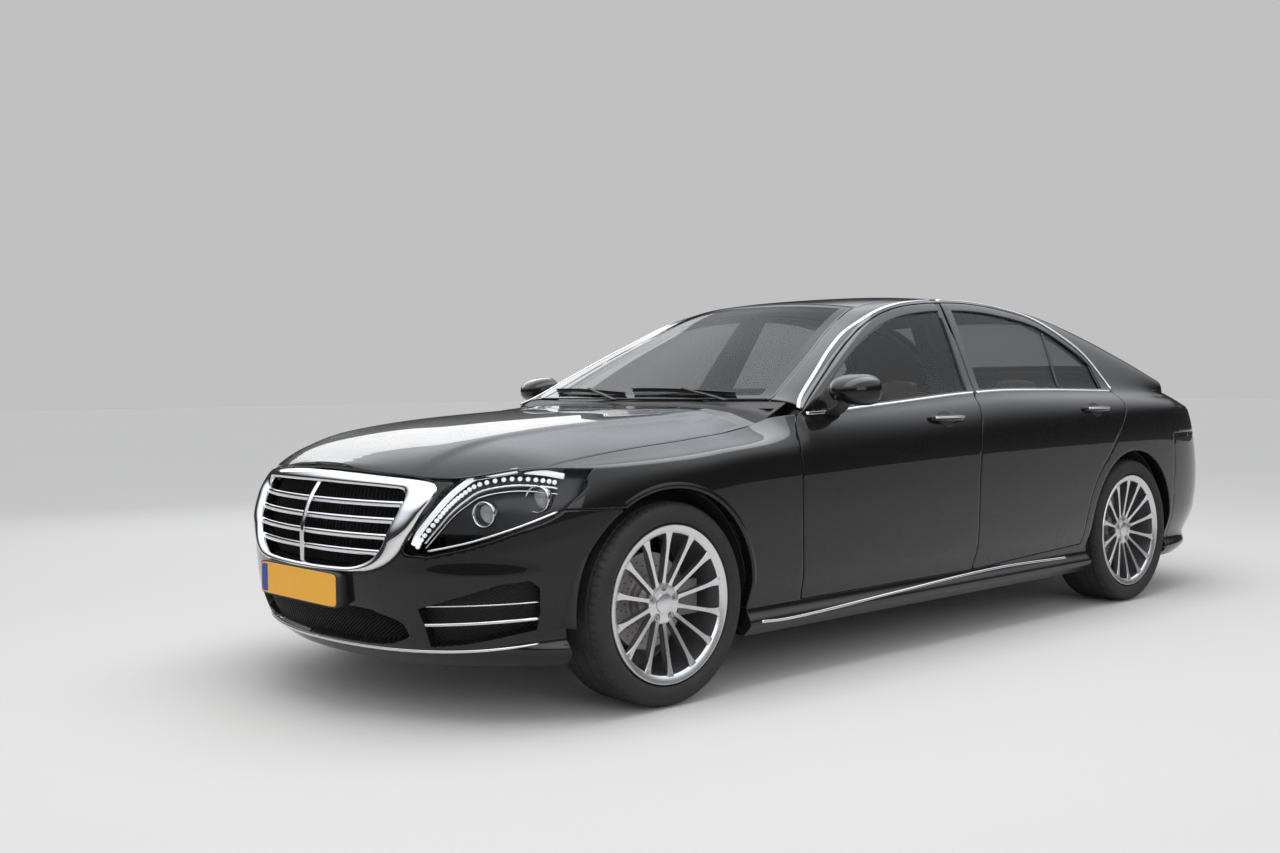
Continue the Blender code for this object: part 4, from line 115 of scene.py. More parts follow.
climb = sky_nodes.new("ShaderNodeMapRange")
climb.interpolation_type = "SMOOTHSTEP"
climb.inputs["From Min"].default_value, climb.inputs["From Max"].default_value = 0.20, 0.60
sky_links.new(height.outputs["Z"], climb.inputs["Value"])
mirrored_sky = sky_between(climb.outputs[0], HORIZON_IN_PAINT, ZENITH_IN_PAINT)
for_gloss = sky_between(ray.outputs["Is Glossy Ray"], SKY_DIFFUSE, mirrored_sky)
for_glass = sky_between(ray.outputs["Is Transmission Ray"], for_gloss, BACKDROP)
for_camera = sky_between(ray.outputs["Is Camera Ray"], for_glass, BACKDROP)
sky_links.new(for_camera, sky_light.inputs["Color"])


# Shader sums: a socket stands in Python expressions, and each operator adds its Math node.
class Signal:
    """One output socket of a material's nodes, with the arithmetic that the finishes need."""

    def __init__(self, finish, socket):
        self.finish = finish
        self.socket = socket

    def apply(self, operation, *values):
        """A Math node of the given operation on these values."""
        return self.finish.add("ShaderNodeMath", {"operation": operation}, dict(enumerate(values)))

    def __add__(self, other):
        return self.apply("ADD", self, other)

    def __radd__(self, other):
        return self.apply("ADD", other, self)

    def __sub__(self, other):
        return self.apply("SUBTRACT", self, other)

    def __rsub__(self, other):
        return self.apply("SUBTRACT", other, self)

    def __mul__(self, other):
        return self.apply("MULTIPLY", self, other)

    def __rmul__(self, other):
        return self.apply("MULTIPLY", other, self)

    def limited(self):
        """The value held between 0 and 1."""
        return self.apply("MINIMUM", self.apply("MAXIMUM", self, 0.0), 1.0)


class Finish:
    """A material with one Principled shader: constants go on its own sockets, and add() makes any node."""

    def __init__(self, name, **constants):
        self.material = bpy.data.materials.new(name)
        self.material.use_nodes = True
        self.tree = self.material.node_tree
        self.shader = self.tree.nodes["Principled BSDF"]
        for key, value in constants.items():
            self.shader.inputs[key.replace("_", " ")].default_value = value

    def add(self, kind, settings=None, inputs=None, output=0):
        """A node of one type, with its settings, then the values or links of its sockets."""
        node = self.tree.nodes.new(kind)
        for key, value in (settings or {}).items():
            setattr(node, key, value)
        for key, value in (inputs or {}).items():
            if isinstance(value, Signal):
                self.tree.links.new(value.socket, node.inputs[key])
            else:
                node.inputs[key].default_value = value
        return Signal(self, node.outputs[output])

    def place(self):
        """The point on the piece, in its own metres."""
        return self.add("ShaderNodeTexCoord", output="Object")

    def noise(self, scale, detail=3.0, at=None):
        """Soft noise at a number of lumps to the metre."""
        return self.add("ShaderNodeTexNoise", None, {"Vector": at or self.place(), "Scale": scale, "Detail": detail})

    def height(self):
        """Height over the ground."""
        return self.add("ShaderNodeSeparateXYZ", None, {0: self.place()}, output="Z")

    def blend(self, factor, first, second):
        """A colour between two, by a factor."""
        return self.add("ShaderNodeMix", {"data_type": "RGBA"}, {"Factor": factor, 6: first, 7: second}, output=2)

    def feed(self, socket, signal):
        """Link a signal to one of the shader's sockets."""
        self.tree.links.new(signal.socket, self.shader.inputs[socket])
        return self

    def bump(self, signal, distance, strength=1.0):
        """Raise the surface by a signal, in metres."""
        made = self.add("ShaderNodeBump", None, {"Height": signal, "Distance": distance, "Strength": strength})
        return self.feed("Normal", made)


# Floor: one pale sheet that keeps the car's shadow.
floor_finish = Finish("floor", Base_Color=FLOOR_COLOUR, Roughness=0.9, Specular_IOR_Level=0.1)
floor_finish.feed("Base Color", floor_finish.blend(floor_finish.noise(0.6), (0.65, 0.65, 0.65, 1.0),
                                                    (0.67, 0.67, 0.67, 1.0)))
floor_mesh = bpy.data.meshes.new("studio_floor")
floor_mesh.from_pydata([(-FLOOR_HALF, -FLOOR_HALF, 0.0), (FLOOR_HALF, -FLOOR_HALF, 0.0),
                        (FLOOR_HALF, FLOOR_HALF, 0.0), (-FLOOR_HALF, FLOOR_HALF, 0.0)], [], [(0, 1, 2, 3)])
floor_mesh.materials.append(floor_finish.material)
studio_floor = bpy.data.objects.new("studio_floor", floor_mesh)
bpy.context.scene.collection.objects.link(studio_floor)

# Body sides: one pressed steel side in gloss black paint, with the sill, the pillars, the roof rail and the
# rear wing in one piece. Every panel of the car is cut out of the same family of cross sections.
LENGTH, WIDTH, HEIGHT = 5.246, 1.899, 1.505
HALF_LENGTH, HALF_WIDTH = 0.5 * LENGTH, 0.5 * WIDTH
FRONT_AXLE_X, REAR_AXLE_X = 1.718, -1.447
WHEEL_Y, TYRE_RADIUS = 0.812, 0.352
ARCH_RADIUS = 1.13 * TYRE_RADIUS
SHUT_GAP = 0.005
SOFT_LEVEL = 0.30
FAIR_STEPS = np.array([-1.6, -1.1, -0.6, -0.2, 0.2, 0.6, 1.1, 1.6])
FAIR_WEIGHTS = np.exp(-0.5 * FAIR_STEPS ** 2) / np.exp(-0.5 * FAIR_STEPS ** 2).sum()

side_shares = ((0.123, 0.932), (0.156, 0.978), (0.190, 0.948), (0.266, 0.986), (0.365, 0.996), (0.452, 1.0),
               (0.531, 0.998), (0.65, 0.985))
nose_shares = ((0.123, 0.950), (0.166, 0.976), (0.233, 0.991), (0.30, 0.995), (0.40, 0.995), (0.465, 0.985),
               (0.520, 0.965), (0.552, 0.949))
tail_shares = ((0.123, 0.940), (0.166, 0.955), (0.266, 0.990), (0.365, 1.0), (0.465, 0.993), (0.565, 0.977),
               (0.665, 0.957), (0.71, 0.945))
crease_z_shares = ((-0.99, 0.618), (-0.91, 0.625), (-0.76, 0.630), (-0.61, 0.631), (-0.46, 0.628), (-0.23, 0.621),
                   (0.0, 0.611), (0.24, 0.597), (0.40, 0.585), (0.52, 0.575), (0.61, 0.560), (0.76, 0.551),
                   (0.82, 0.556), (0.877, 0.542), (0.909, 0.528), (0.925, 0.530), (0.950, 0.551))
belt_y_shares = ((-1.0, 0.80), (-0.93, 0.830), (-0.84, 0.855), (-0.74, 0.876), (-0.65, 0.888), (-0.52, 0.886),
                 (0.0, 0.890), (0.37, 0.922), (0.40, 0.890), (0.42, 0.855), (0.46, 0.843), (1.0, 0.843))
belt_z_shares = ((-1.0, 0.635), (-0.93, 0.645), (-0.84, 0.664), (-0.74, 0.675), (-0.65, 0.683), (-0.52, 0.691),
                 (-0.18, 0.700), (-0.06, 0.694), (0.13, 0.674), (0.21, 0.666), (0.37, 0.652), (0.40, 0.656),
                 (0.42, 0.648), (0.46, 0.627), (0.52, 0.615))
rail_z_shares = ((-1.0, 0.64), (-0.84, 0.680), (-0.743, 0.722), (-0.686, 0.768), (-0.61, 0.822), (-0.534, 0.871),
                 (-0.457, 0.915), (-0.38, 0.944), (-0.305, 0.962), (-0.21, 0.972), (-0.118, 0.971),
                 (-0.057, 0.964), (0.005, 0.952), (0.071, 0.925), (0.145, 0.879), (0.223, 0.815), (0.304, 0.735),
                 (0.374, 0.664))
edge_y_shares = ((-1.0, 0.655), (-0.84, 0.653), (-0.762, 0.625), (-0.735, 0.606), (-0.648, 0.566), (-0.572, 0.530),
                 (-0.477, 0.500), (-0.38, 0.515), (-0.19, 0.527), (0.072, 0.530), (0.152, 0.566), (0.229, 0.641),
                 (0.374, 0.751))
edge_z_shares = ((-1.0, 0.68), (-0.869, 0.705), (-0.762, 0.735), (-0.735, 0.767), (-0.648, 0.832), (-0.572, 0.885),
                 (-0.477, 0.932), (-0.38, 0.963), (-0.19, 0.984), (-0.04, 0.977), (0.072, 0.950), (0.152, 0.887),
                 (0.229, 0.820), (0.374, 0.683))
roof_z_shares = ((-0.477, 0.948), (-0.38, 0.975), (-0.26, 0.994), (-0.15, 1.0), (-0.04, 0.990), (0.10, 0.963))
bonnet_z_shares = ((0.40, 0.684), (0.44, 0.676), (0.53, 0.667), (0.61, 0.660), (0.70, 0.649), (0.76, 0.638),
                   (0.82, 0.623), (0.87, 0.606), (0.91, 0.587), (0.935, 0.569), (0.950, 0.551))
deck_z_shares = ((-0.965, 0.690), (-0.945, 0.704), (-0.915, 0.719), (-0.87, 0.733), (-0.80, 0.755), (-0.762, 0.768))
crown_power_shares = ((0.40, 9.0), (0.43, 6.5), (0.47, 4.2), (0.53, 3.2), (1.0, 3.0))
low_row_shares = np.array((0.123, 0.156, 0.190, 0.266, 0.365, 0.452))
deck_row_shares = np.array((0.12, 0.30, 0.50, 0.68, 0.85, 1.0))
SEAM, CREASE, BELT, EDGE = 2, 7, 9, 13
CREASE_SHARE, UPPER_DROP = 0.976, 0.073
NOSE_START_X, TAIL_START_X = 0.34 * HALF_LENGTH, -0.34 * HALF_LENGTH
NOSE_POWER, TAIL_POWER = 6.0, 8.0
TUMBLEHOME_SLOPE, BELT_PLANE_Z, BELT_PLANE_Y = 0.61, 0.684 * HEIGHT, 0.893 * HALF_WIDTH
BOOT_HALF = 0.640 * HALF_WIDTH
FENDER_END_X = 0.38 * HALF_LENGTH
DECK_POWER = 3.4
BUMPER_FRONT_X = REAR_AXLE_X - 1.06 * ARCH_RADIUS
TAIL_SEAM_Z = 0.545 * HEIGHT
SEAM_Z = 0.1914 * HEIGHT

door_front_shares = ((0.3905, 0.1914), (0.3960, 0.2500), (0.3995, 0.2930), (0.4034, 0.3920), (0.4045, 0.4920),
                     (0.4003, 0.5910), (0.3900, 0.6350))
door_split_shares = ((-0.0385, 0.1914), (-0.0385, 0.2550), (-0.0368, 0.3340), (-0.0368, 0.4480),
                     (-0.0427, 0.5340), (-0.0511, 0.5980), (-0.0602, 0.6280), (-0.0694, 0.6780),
                     (-0.0823, 0.6980))
door_top_shares = ((0.3820, 0.6520), (0.3550, 0.6810), (0.3038, 0.7330), (0.2230, 0.8120), (0.1445, 0.8780),
                   (0.0713, 0.9240), (0.0050, 0.9500), (-0.0572, 0.9630), (-0.1222, 0.9700), (-0.2100, 0.9710),
                   (-0.3010, 0.9570), (-0.3890, 0.9280), (-0.4610, 0.8640), (-0.5030, 0.8070), (-0.5280, 0.7310),
                   (-0.5370, 0.6950))
door_rear_shares = ((-0.5390, 0.6480), (-0.5260, 0.6150), (-0.5010, 0.5670))
arch_angle_shares = (0.62, 0.50, 0.38, 0.26, 0.14, 0.04)
SPLIT_TOP = 8
SIDE_VIEW = np.array([[1.0, 0.0, 0.0], [0.0, 0.0, 1.0]])
FRONT_VIEW = np.array([[0.0, 1.0, 0.0], [0.0, 0.0, 1.0]])
CORNER_VIEW = np.array([[-math.sqrt(0.5), math.sqrt(0.5), 0.0], [0.0, 0.0, 1.0]])


def unit(vectors):
    """The same directions at length one."""
    return vectors / np.maximum(np.linalg.norm(vectors, axis=-1, keepdims=True), 1e-12)


def knot_slopes(slope):
    """Slopes at knots: the harmonic mean of the two beside each, or none where they differ in sign."""
    product, total = slope[..., :-1] * slope[..., 1:], slope[..., :-1] + slope[..., 1:]
    inner = np.where(product > 0, 2.0 * product / np.where(total == 0, 1.0, total), 0.0)
    return np.concatenate([slope[..., :1], inner, slope[..., -1:]], axis=-1)


def through(knots, values, at):
    """A curve through knots by cubic pieces that never overshoot."""
    step = np.diff(knots)
    slope = np.diff(values) / step
    tangent = knot_slopes(slope)
    at = np.clip(at, knots[0], knots[-1])
    i = np.clip(np.searchsorted(knots, at) - 1, 0, len(step) - 1)
    t = (at - knots[i]) / step[i]
    first = values[i] * (1.0 + 2.0 * t) + step[i] * tangent[i] * t
    last = values[i + 1] * (3.0 - 2.0 * t) + step[i] * tangent[i + 1] * (t - 1.0)
    return first * (1.0 - t) ** 2 + last * t ** 2


def follow(shares, at, size, along=HALF_LENGTH, fair=0.0):
    """A table of shares as a curve in metres, faired by a weighted mean over a short window where asked."""
    table = np.array(shares)
    at = np.asarray(at, float)
    if not fair:
        return through(table[:, 0] * along, table[:, 1] * size, at)
    spread = at[..., None] + fair * FAIR_STEPS
    return (through(table[:, 0] * along, table[:, 1] * size, spread) * FAIR_WEIGHTS).sum(axis=-1)


def half_width_at(z):
    """Half width of the middle of the car at a height below the crease."""
    return follow(side_shares, z, HALF_WIDTH, along=HEIGHT)


def plan_taper(x, z):
    """Share of the half width left at x: (1 - t^p)^(1/2) at the nose and at the tail."""
    nose = (x - NOSE_START_X) / (follow(nose_shares, z, HALF_LENGTH, along=HEIGHT) - NOSE_START_X)
    tail = (x - TAIL_START_X) / (-follow(tail_shares, z, HALF_LENGTH, along=HEIGHT) - TAIL_START_X)
    front = np.sqrt(1.0 - np.clip(nose, 0.0, 1.0) ** NOSE_POWER)
    back = np.sqrt(1.0 - np.clip(tail, 0.0, 1.0) ** TAIL_POWER)
    return np.minimum(front, back)


def crease(x):
    """Half width and height of the crease along the side."""
    z = follow(crease_z_shares, x, HEIGHT, fair=0.05)
    return CREASE_SHARE * HALF_WIDTH * plan_taper(x, z), z


def top_height(x, y, centre, power):
    """Height of a bonnet or a deck: its centre height less the drop to the crease times (y / edge)^power."""
    edge_y, edge_z = crease(x)
    share = np.clip(np.abs(y) / np.maximum(edge_y, SHUT_GAP), 0.0, 1.0)
    return centre - (centre - edge_z) * share ** power


def bonnet_height(x, y):
    """Height of the bonnet and of the wings' tops."""
    return top_height(x, y, follow(bonnet_z_shares, x, HEIGHT, fair=0.05), follow(crown_power_shares, x, 1.0))


def deck_height(x, y):
    """Height of the boot deck and of the rear wings beside it."""
    return top_height(x, y, follow(deck_z_shares, x, HEIGHT, fair=0.02), DECK_POWER)


def sections(x):
    """Half widths and heights of the fourteen feature rows at each x: three families, mixed where they meet."""
    x = np.asarray(x, float)
    low_z = np.broadcast_to(low_row_shares * HEIGHT, x.shape + (6,))
    low_y = half_width_at(low_z) * plan_taper(x[..., None], low_z)
    edge_y, edge_z = crease(x)
    upper_z = np.maximum(edge_z - UPPER_DROP * HEIGHT, low_z[..., -1] + 0.02 * HEIGHT)
    upper_y = half_width_at(upper_z) * plan_taper(x, upper_z)
    belt_y = follow(belt_y_shares, x, HALF_WIDTH, fair=0.008)
    belt_z = follow(belt_z_shares, x, HEIGHT, fair=0.03)
    rail_z = follow(rail_z_shares, x, HEIGHT, fair=0.05)
    rail_y = BELT_PLANE_Y - TUMBLEHOME_SLOPE * (rail_z - BELT_PLANE_Z)
    glass_y = follow(edge_y_shares, x, HALF_WIDTH, fair=0.05)
    glass_z = follow(edge_z_shares, x, HEIGHT, fair=0.05)
    cabin_y = np.stack([edge_y + 0.42 * (belt_y - edge_y), belt_y,
                        0.5 * (belt_y + rail_y) + 0.006 * HALF_WIDTH, rail_y,
                        rail_y + 0.42 * (glass_y - rail_y), glass_y], axis=-1)
    cabin_z = np.stack([edge_z + 0.62 * (belt_z - edge_z), belt_z, 0.5 * (belt_z + rail_z), rail_z,
                        rail_z + 0.68 * (glass_z - rail_z), glass_z], axis=-1)
    wing_y = np.minimum(belt_y, 0.99 * edge_y)
    strip_y = edge_y + 0.55 * (wing_y - edge_y)
    mix = np.clip((x - FENDER_END_X) / (0.08 * HALF_LENGTH), 0.0, 1.0)
    wing_z = mix * bonnet_height(x, wing_y) + (1.0 - mix) * belt_z
    strip_z = mix * bonnet_height(x, strip_y) + (1.0 - mix) * (edge_z + 0.62 * (belt_z - edge_z))
    nose_y = np.stack([strip_y] + [wing_y] * 5, axis=-1)
    nose_z = np.stack([strip_z] + [wing_z] * 5, axis=-1)
    deck_y = edge_y[..., None] + deck_row_shares * (BOOT_HALF + SHUT_GAP - edge_y[..., None])
    deck_z = deck_height(x[..., None], deck_y)
    to_deck = np.clip((-0.745 * HALF_LENGTH - x) / (0.020 * HALF_LENGTH), 0.0, 1.0)[..., None]
    high_y = np.where(x[..., None] > FENDER_END_X, nose_y, cabin_y * (1.0 - to_deck) + deck_y * to_deck)
    high_z = np.where(x[..., None] > FENDER_END_X, nose_z, cabin_z * (1.0 - to_deck) + deck_z * to_deck)
    ys = np.concatenate([low_y, upper_y[..., None], edge_y[..., None], high_y], axis=-1)
    zs = np.concatenate([low_z, upper_z[..., None], edge_z[..., None], high_z], axis=-1)
    return ys, zs


def picked(table, k):
    """The k-th value of each place in a table."""
    return np.take_along_axis(table, k[..., None], axis=-1)[..., 0]


def along_rows(rows, level):
    """A value at a level between rows: the harmonic cubic through the rows, averaged over a short window."""
    tangent = knot_slopes(np.diff(rows, axis=-1))
    last_row = rows.shape[-1] - 1
    window = np.minimum(SOFT_LEVEL, np.minimum(level, last_row - level) / 1.7)
    result = 0.0
    for step, weight in zip(FAIR_STEPS, FAIR_WEIGHTS):
        at = np.clip(level + window * step, 0.0, last_row)
        i = np.clip(np.floor(at).astype(int), 0, last_row - 1)
        t = at - i
        first = picked(rows, i) * (1.0 + 2.0 * t) + picked(tangent, i) * t
        last = picked(rows, i + 1) * (3.0 - 2.0 * t) + picked(tangent, i + 1) * (t - 1.0)
        result = result + weight * (first * (1.0 - t) ** 2 + last * t ** 2)
    return result


def side_skin(x, level):
    """The left side at places along the car and levels between the feature rows."""
    ys, zs = sections(x)
    return np.stack([np.broadcast_to(x, level.shape), along_rows(ys, level), along_rows(zs, level)], axis=-1)


def end_skin(angle, level, front=True):
    """The nose or tail below the crease: x by cos(angle)^(2/p) from the taper's start, y by sin(angle)."""
    shares, start = (nose_shares, NOSE_START_X) if front else (tail_shares, TAIL_START_X)
    power, way = (NOSE_POWER, 1.0) if front else (TAIL_POWER, -1.0)
    reach = np.abs(np.cos(angle)) ** (2.0 / power)
    crease_z = np.full(angle.shape, 0.55 * HEIGHT)
    for _ in range(6):
        end = way * follow(shares, crease_z, HALF_LENGTH, along=HEIGHT)
        crease_z = follow(crease_z_shares, start + (end - start) * reach, HEIGHT, fair=0.05)
    low_z = np.broadcast_to(low_row_shares * HEIGHT, angle.shape + (6,))
    upper_z = np.maximum(crease_z - UPPER_DROP * HEIGHT, low_z[..., -1] + 0.02 * HEIGHT)
    zs = np.concatenate([low_z, upper_z[..., None], crease_z[..., None]], axis=-1)
    half = half_width_at(zs)
    half[..., -1] = CREASE_SHARE * HALF_WIDTH
    ends = way * follow(shares, zs, HALF_LENGTH, along=HEIGHT)
    xs = start + (ends - start) * reach[..., None]
    ys = half * np.sin(angle)[..., None]
    return np.stack([along_rows(xs, level), along_rows(ys, level), along_rows(zs, level)], axis=-1)


def flowing(points, pieces=8):
    """A smooth open line through points: uniform cubic pieces with centred slopes."""
    points = np.asarray(points, float)
    ahead = np.concatenate([points[:1] * 2 - points[1:2], points, points[-1:] * 2 - points[-2:-1]])
    t = np.linspace(0.0, 1.0, pieces, endpoint=False)[:, None]
    lines = [0.5 * (2 * b + (c - a) * t + (2 * a - 5 * b + 4 * c - d) * t ** 2 + (3 * b - a - 3 * c + d) * t ** 3)
             for a, b, c, d in zip(ahead[:-3], ahead[1:-2], ahead[2:-1], ahead[3:])]
    return np.concatenate(lines + [points[-1:]])


def widened(outline, distance):
    """A closed outline moved outwards by a distance, each point along the mean of its two edges' normals."""
    outline = np.asarray(outline, float)
    outline = outline[np.linalg.norm(outline - np.roll(outline, 1, axis=0), axis=1) > 1e-6]
    area = np.sum(outline[:, 0] * np.roll(outline[:, 1], -1) - np.roll(outline[:, 0], -1) * outline[:, 1])
    edge = unit(np.roll(outline, -1, axis=0) - outline)
    out = math.copysign(1.0, area) * np.stack([edge[:, 1], -edge[:, 0]], axis=1)
    both = unit(out + np.roll(out, 1, axis=0))
    return outline + distance * both / np.maximum((both * out).sum(axis=1), 0.5)[:, None]


def inside(points, outline):
    """Which points lie inside a closed outline: its edges cross a ray from them an odd number of times."""
    x, z = points[..., 0], points[..., 1]
    crossed = np.zeros(x.shape, bool)
    for (x0, z0), (x1, z1) in zip(outline, np.roll(outline, -1, axis=0)):
        if z0 != z1:
            crossed ^= ((z0 > z) != (z1 > z)) & (x < (x1 - x0) * (z - z0) / (z1 - z0) + x0)
    return crossed


def nearest(points, outline):
    """The nearest places to points on a closed outline, and how far they are."""
    start, edge = outline, np.roll(outline, -1, axis=0) - outline
    t = ((points[:, None] - start) * edge).sum(axis=2) / np.maximum((edge ** 2).sum(axis=1), 1e-12)
    spots = start + np.clip(t, 0.0, 1.0)[..., None] * edge
    gap = np.linalg.norm(points[:, None] - spots, axis=2)
    best = gap.argmin(axis=1)
    rows = np.arange(len(points))
    return spots[rows, best], gap[rows, best]


def mesh_piece(name, points, faces, finish, smooth=True):
    """A mesh object at the origin from points and faces."""
    mesh = bpy.data.meshes.new(name)
    mesh.from_pydata(np.asarray(points, float).reshape(-1, 3).tolist(), [], [tuple(map(int, f)) for f in faces])
    mesh.polygons.foreach_set("use_smooth", np.full(len(mesh.polygons), smooth))
    for one in finish if isinstance(finish, (list, tuple)) else (finish,):
        mesh.materials.append(one.material)
    mesh.validate()
    obj = bpy.data.objects.new(name, mesh)
    bpy.context.scene.collection.objects.link(obj)
    return obj


def solved(along_u, along_v, miss):
    """Steps du and dv with du * along_u + dv * along_v = miss, and none where the two are parallel."""
    det = along_u[:, 0] * along_v[:, 1] - along_u[:, 1] * along_v[:, 0]
    det = np.where(np.abs(det) < 1e-9, np.inf, det)
    return ((miss[:, 0] * along_v[:, 1] - miss[:, 1] * along_v[:, 0]) / det,
            (along_u[:, 0] * miss[:, 1] - along_u[:, 1] * miss[:, 0]) / det)


def turned_to(points, faces, way):
    """Four-sided faces, all turned over if they look against a direction on the whole."""
    a, b, c, d = (points[faces[:, k]] for k in range(4))
    return faces[:, ::-1] if (np.cross(c - a, d - b) * way).sum() < 0 else faces


def cut_panel(surface, us, vs, cuts, facing, hem=0.0022, depth=0.014, centred=False):
    """Points and faces of a panel: a surface's cells inside every cut, with its border snapped to the cuts.

    A border point is moved on the surface until its view lies on the nearest cut's outline, by Newton steps.
    Then the border is rolled in by a quarter circle of radius hem and turned in by depth.
    """
    u, v = np.meshgrid(us, vs, indexing="ij")
    centre_u, centre_v = np.meshgrid(0.5 * (us[1:] + us[:-1]), 0.5 * (vs[1:] + vs[:-1]), indexing="ij")
    centres = surface(centre_u, centre_v)
    keep = np.ones(centre_u.shape, bool)
    for view, outline, inner in cuts:
        keep &= inside(centres @ view.T, outline) == inner
    cells = np.argwhere(keep)
    columns = len(vs)
    corner = cells[:, 0] * columns + cells[:, 1]
    faces = np.stack([corner, corner + columns, corner + columns + 1, corner + 1], axis=1)
    lost = np.zeros(u.shape, bool)
    for i, j in np.argwhere(~keep):
        lost[i:i + 2, j:j + 2] = True
    used = np.zeros(u.size, bool)
    used[faces.ravel()] = True
    border = np.flatnonzero(used & lost.ravel())
    flat_u, flat_v = u.ravel().copy(), v.ravel().copy()
    if len(border):
        at = surface(flat_u[border], flat_v[border])
        target, best = np.zeros((len(border), 2)), np.full(len(border), np.inf)
        chosen = np.zeros(len(border), int)
        for k, (view, outline, inner) in enumerate(cuts):
            spot, gap = nearest(at @ view.T, outline)
            nearer = gap < best
            target[nearer], best[nearer], chosen[nearer] = spot[nearer], gap[nearer], k
        views = np.array([cut[0] for cut in cuts])[chosen]
        see = lambda a, b: np.einsum("nij,nj->ni", views, surface(a, b))
        step_u, step_v = 0.05 * (us[1] - us[0]), 0.05 * (vs[1] - vs[0])
        bu, bv = flat_u[border], flat_v[border]
        for _ in range(7):
            here = see(bu, bv)
            along_u, along_v = (see(bu + step_u, bv) - here) / step_u, (see(bu, bv + step_v) - here) / step_v
            move_u, move_v = solved(along_u, along_v, target - here)
            bu = bu + np.clip(move_u, -40 * abs(step_u), 40 * abs(step_u))
            bv = bv + np.clip(move_v, -40 * abs(step_v), 40 * abs(step_v))
        bu, bv = np.clip(bu, us.min(), us.max()), np.clip(bv, vs.min(), vs.max())
        flat_u[border], flat_v[border] = bu, bv
    keep_ids = np.flatnonzero(used)
    renumber = np.full(u.size, -1)
    renumber[keep_ids] = np.arange(len(keep_ids))
    faces = renumber[faces]
    pu, pv = flat_u[keep_ids], flat_v[keep_ids]
    points = surface(pu, pv)
    du, dv = 0.02 * (us[1] - us[0]), 0.02 * (vs[1] - vs[0])
    normal = unit(np.cross(surface(pu + du, pv) - surface(pu - du, pv),
                           surface(pu, pv + dv) - surface(pu, pv - dv)))
    if (normal * np.asarray(facing, float)).sum() < 0:
        normal = -normal
    faces = turned_to(points, faces, normal[faces[:, 0]])
    return hemmed(points, faces, normal, hem, depth, centred)


def hemmed(points, faces, normal, hem, depth, centred=False):
    """A sheet with its border rolled in: rings at quarter-circle steps, then one ring at depth."""
    edges = np.concatenate([faces[:, [k, (k + 1) % 4]] for k in range(4)])
    edges = edges[edges[:, 0] != edges[:, 1]]
    key = edges.min(axis=1) * (len(points) + 1) + edges.max(axis=1)
    _, first, count = np.unique(key, return_index=True, return_counts=True)
    rim = edges[first[count == 1]]
    if centred:
        rim = rim[~((np.abs(points[rim[:, 0], 1]) < 1e-5) & (np.abs(points[rim[:, 1], 1]) < 1e-5))]
    if not hem or not len(rim):
        return points, faces.tolist()
    way = unit(points[rim[:, 1]] - points[rim[:, 0]])
    out = np.zeros_like(points)
    for end in (0, 1):
        np.add.at(out, rim[:, end], np.cross(way, normal[rim[:, end]]))
    ids = np.unique(rim)
    out = unit(out[ids])
    if centred:
        middle = np.abs(points[ids, 1]) < 1e-5
        out[middle, 1] = 0.0
        out[middle] = unit(out[middle])
    down = normal[ids]
    rings = [points[ids] + out * hem * math.sin(t) - down * hem * (1.0 - math.cos(t))
             for t in (math.pi / 6, math.pi / 3, math.pi / 2)]
    rings.append(rings[-1] - down * depth)
    local = np.full(len(points), -1)
    local[ids] = np.arange(len(ids))
    total, faces = len(points), faces.tolist()
    inner = rim.copy()
    for ring in range(4):
        outer = local[rim] + total + ring * len(ids)
        faces += np.stack([inner[:, 1], inner[:, 0], outer[:, 0], outer[:, 1]], axis=1).tolist()
        inner = outer
    return np.concatenate([points] + rings), faces


def mirrored(points, faces):
    """The same shape on the car's right side, with its faces still turned outwards."""
    return points * (1.0, -1.0, 1.0), [face[::-1] for face in faces]


def joined(*shapes):
    """Several shapes as one list of points and faces."""
    points, faces, start = [], [], 0
    for shape_points, shape_faces in shapes:
        shape_points = np.asarray(shape_points, float).reshape(-1, 3)
        points.append(shape_points)
        faces += [[k + start for k in face] for face in shape_faces]
        start += len(shape_points)
    return np.concatenate(points), faces


def welded(obj, distance=0.0001):
    """Merge the points that two halves share."""
    step = obj.modifiers.new("weld", "WELD")
    step.merge_threshold = distance
    return obj


def pair(stem, shape, finish, bodies, nodes=None, smooth=True):
    """The left piece and its mirror image, each on its own body, standing for its own CAD node."""
    made = []
    for tag, one, body in (("left", shape, bodies[0]), ("right", mirrored(*shape), bodies[1])):
        obj = mesh_piece(f"{stem}_{tag}", *one, finish, smooth)
        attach(obj, body)
        if nodes:
            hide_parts(*[node.format(tag) for node in ([nodes] if isinstance(nodes, str) else nodes)])
        made.append(obj)
    return made


def piece_on(body, name, shape, finish, node=None, smooth=True):
    """One piece that rides on a body and the CAD node that it stands for."""
    obj = mesh_piece(name, *shape, finish, smooth)
    if node:
        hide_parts(node)
    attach(obj, body)
    return obj


def circle(count):
    """Cosines and sines of equal steps of one turn."""
    turn = np.arange(count) * 2.0 * math.pi / count
    return np.stack([np.cos(turn), np.sin(turn)], axis=1)


def rounded_ring(half_y, half_z, power=4.0, count=48):
    """A rounded rectangle by |y/a|^p + |z/b|^p = 1."""
    ring = circle(count)
    return np.sign(ring) * np.abs(ring) ** (2.0 / power) * (half_y, half_z)


def across_at(ring, x, y, z):
    """A flat ring of (y, z), stood across the car at a place."""
    return np.stack([np.broadcast_to(x, len(ring)), y + ring[:, 0], z + ring[:, 1]], axis=1)


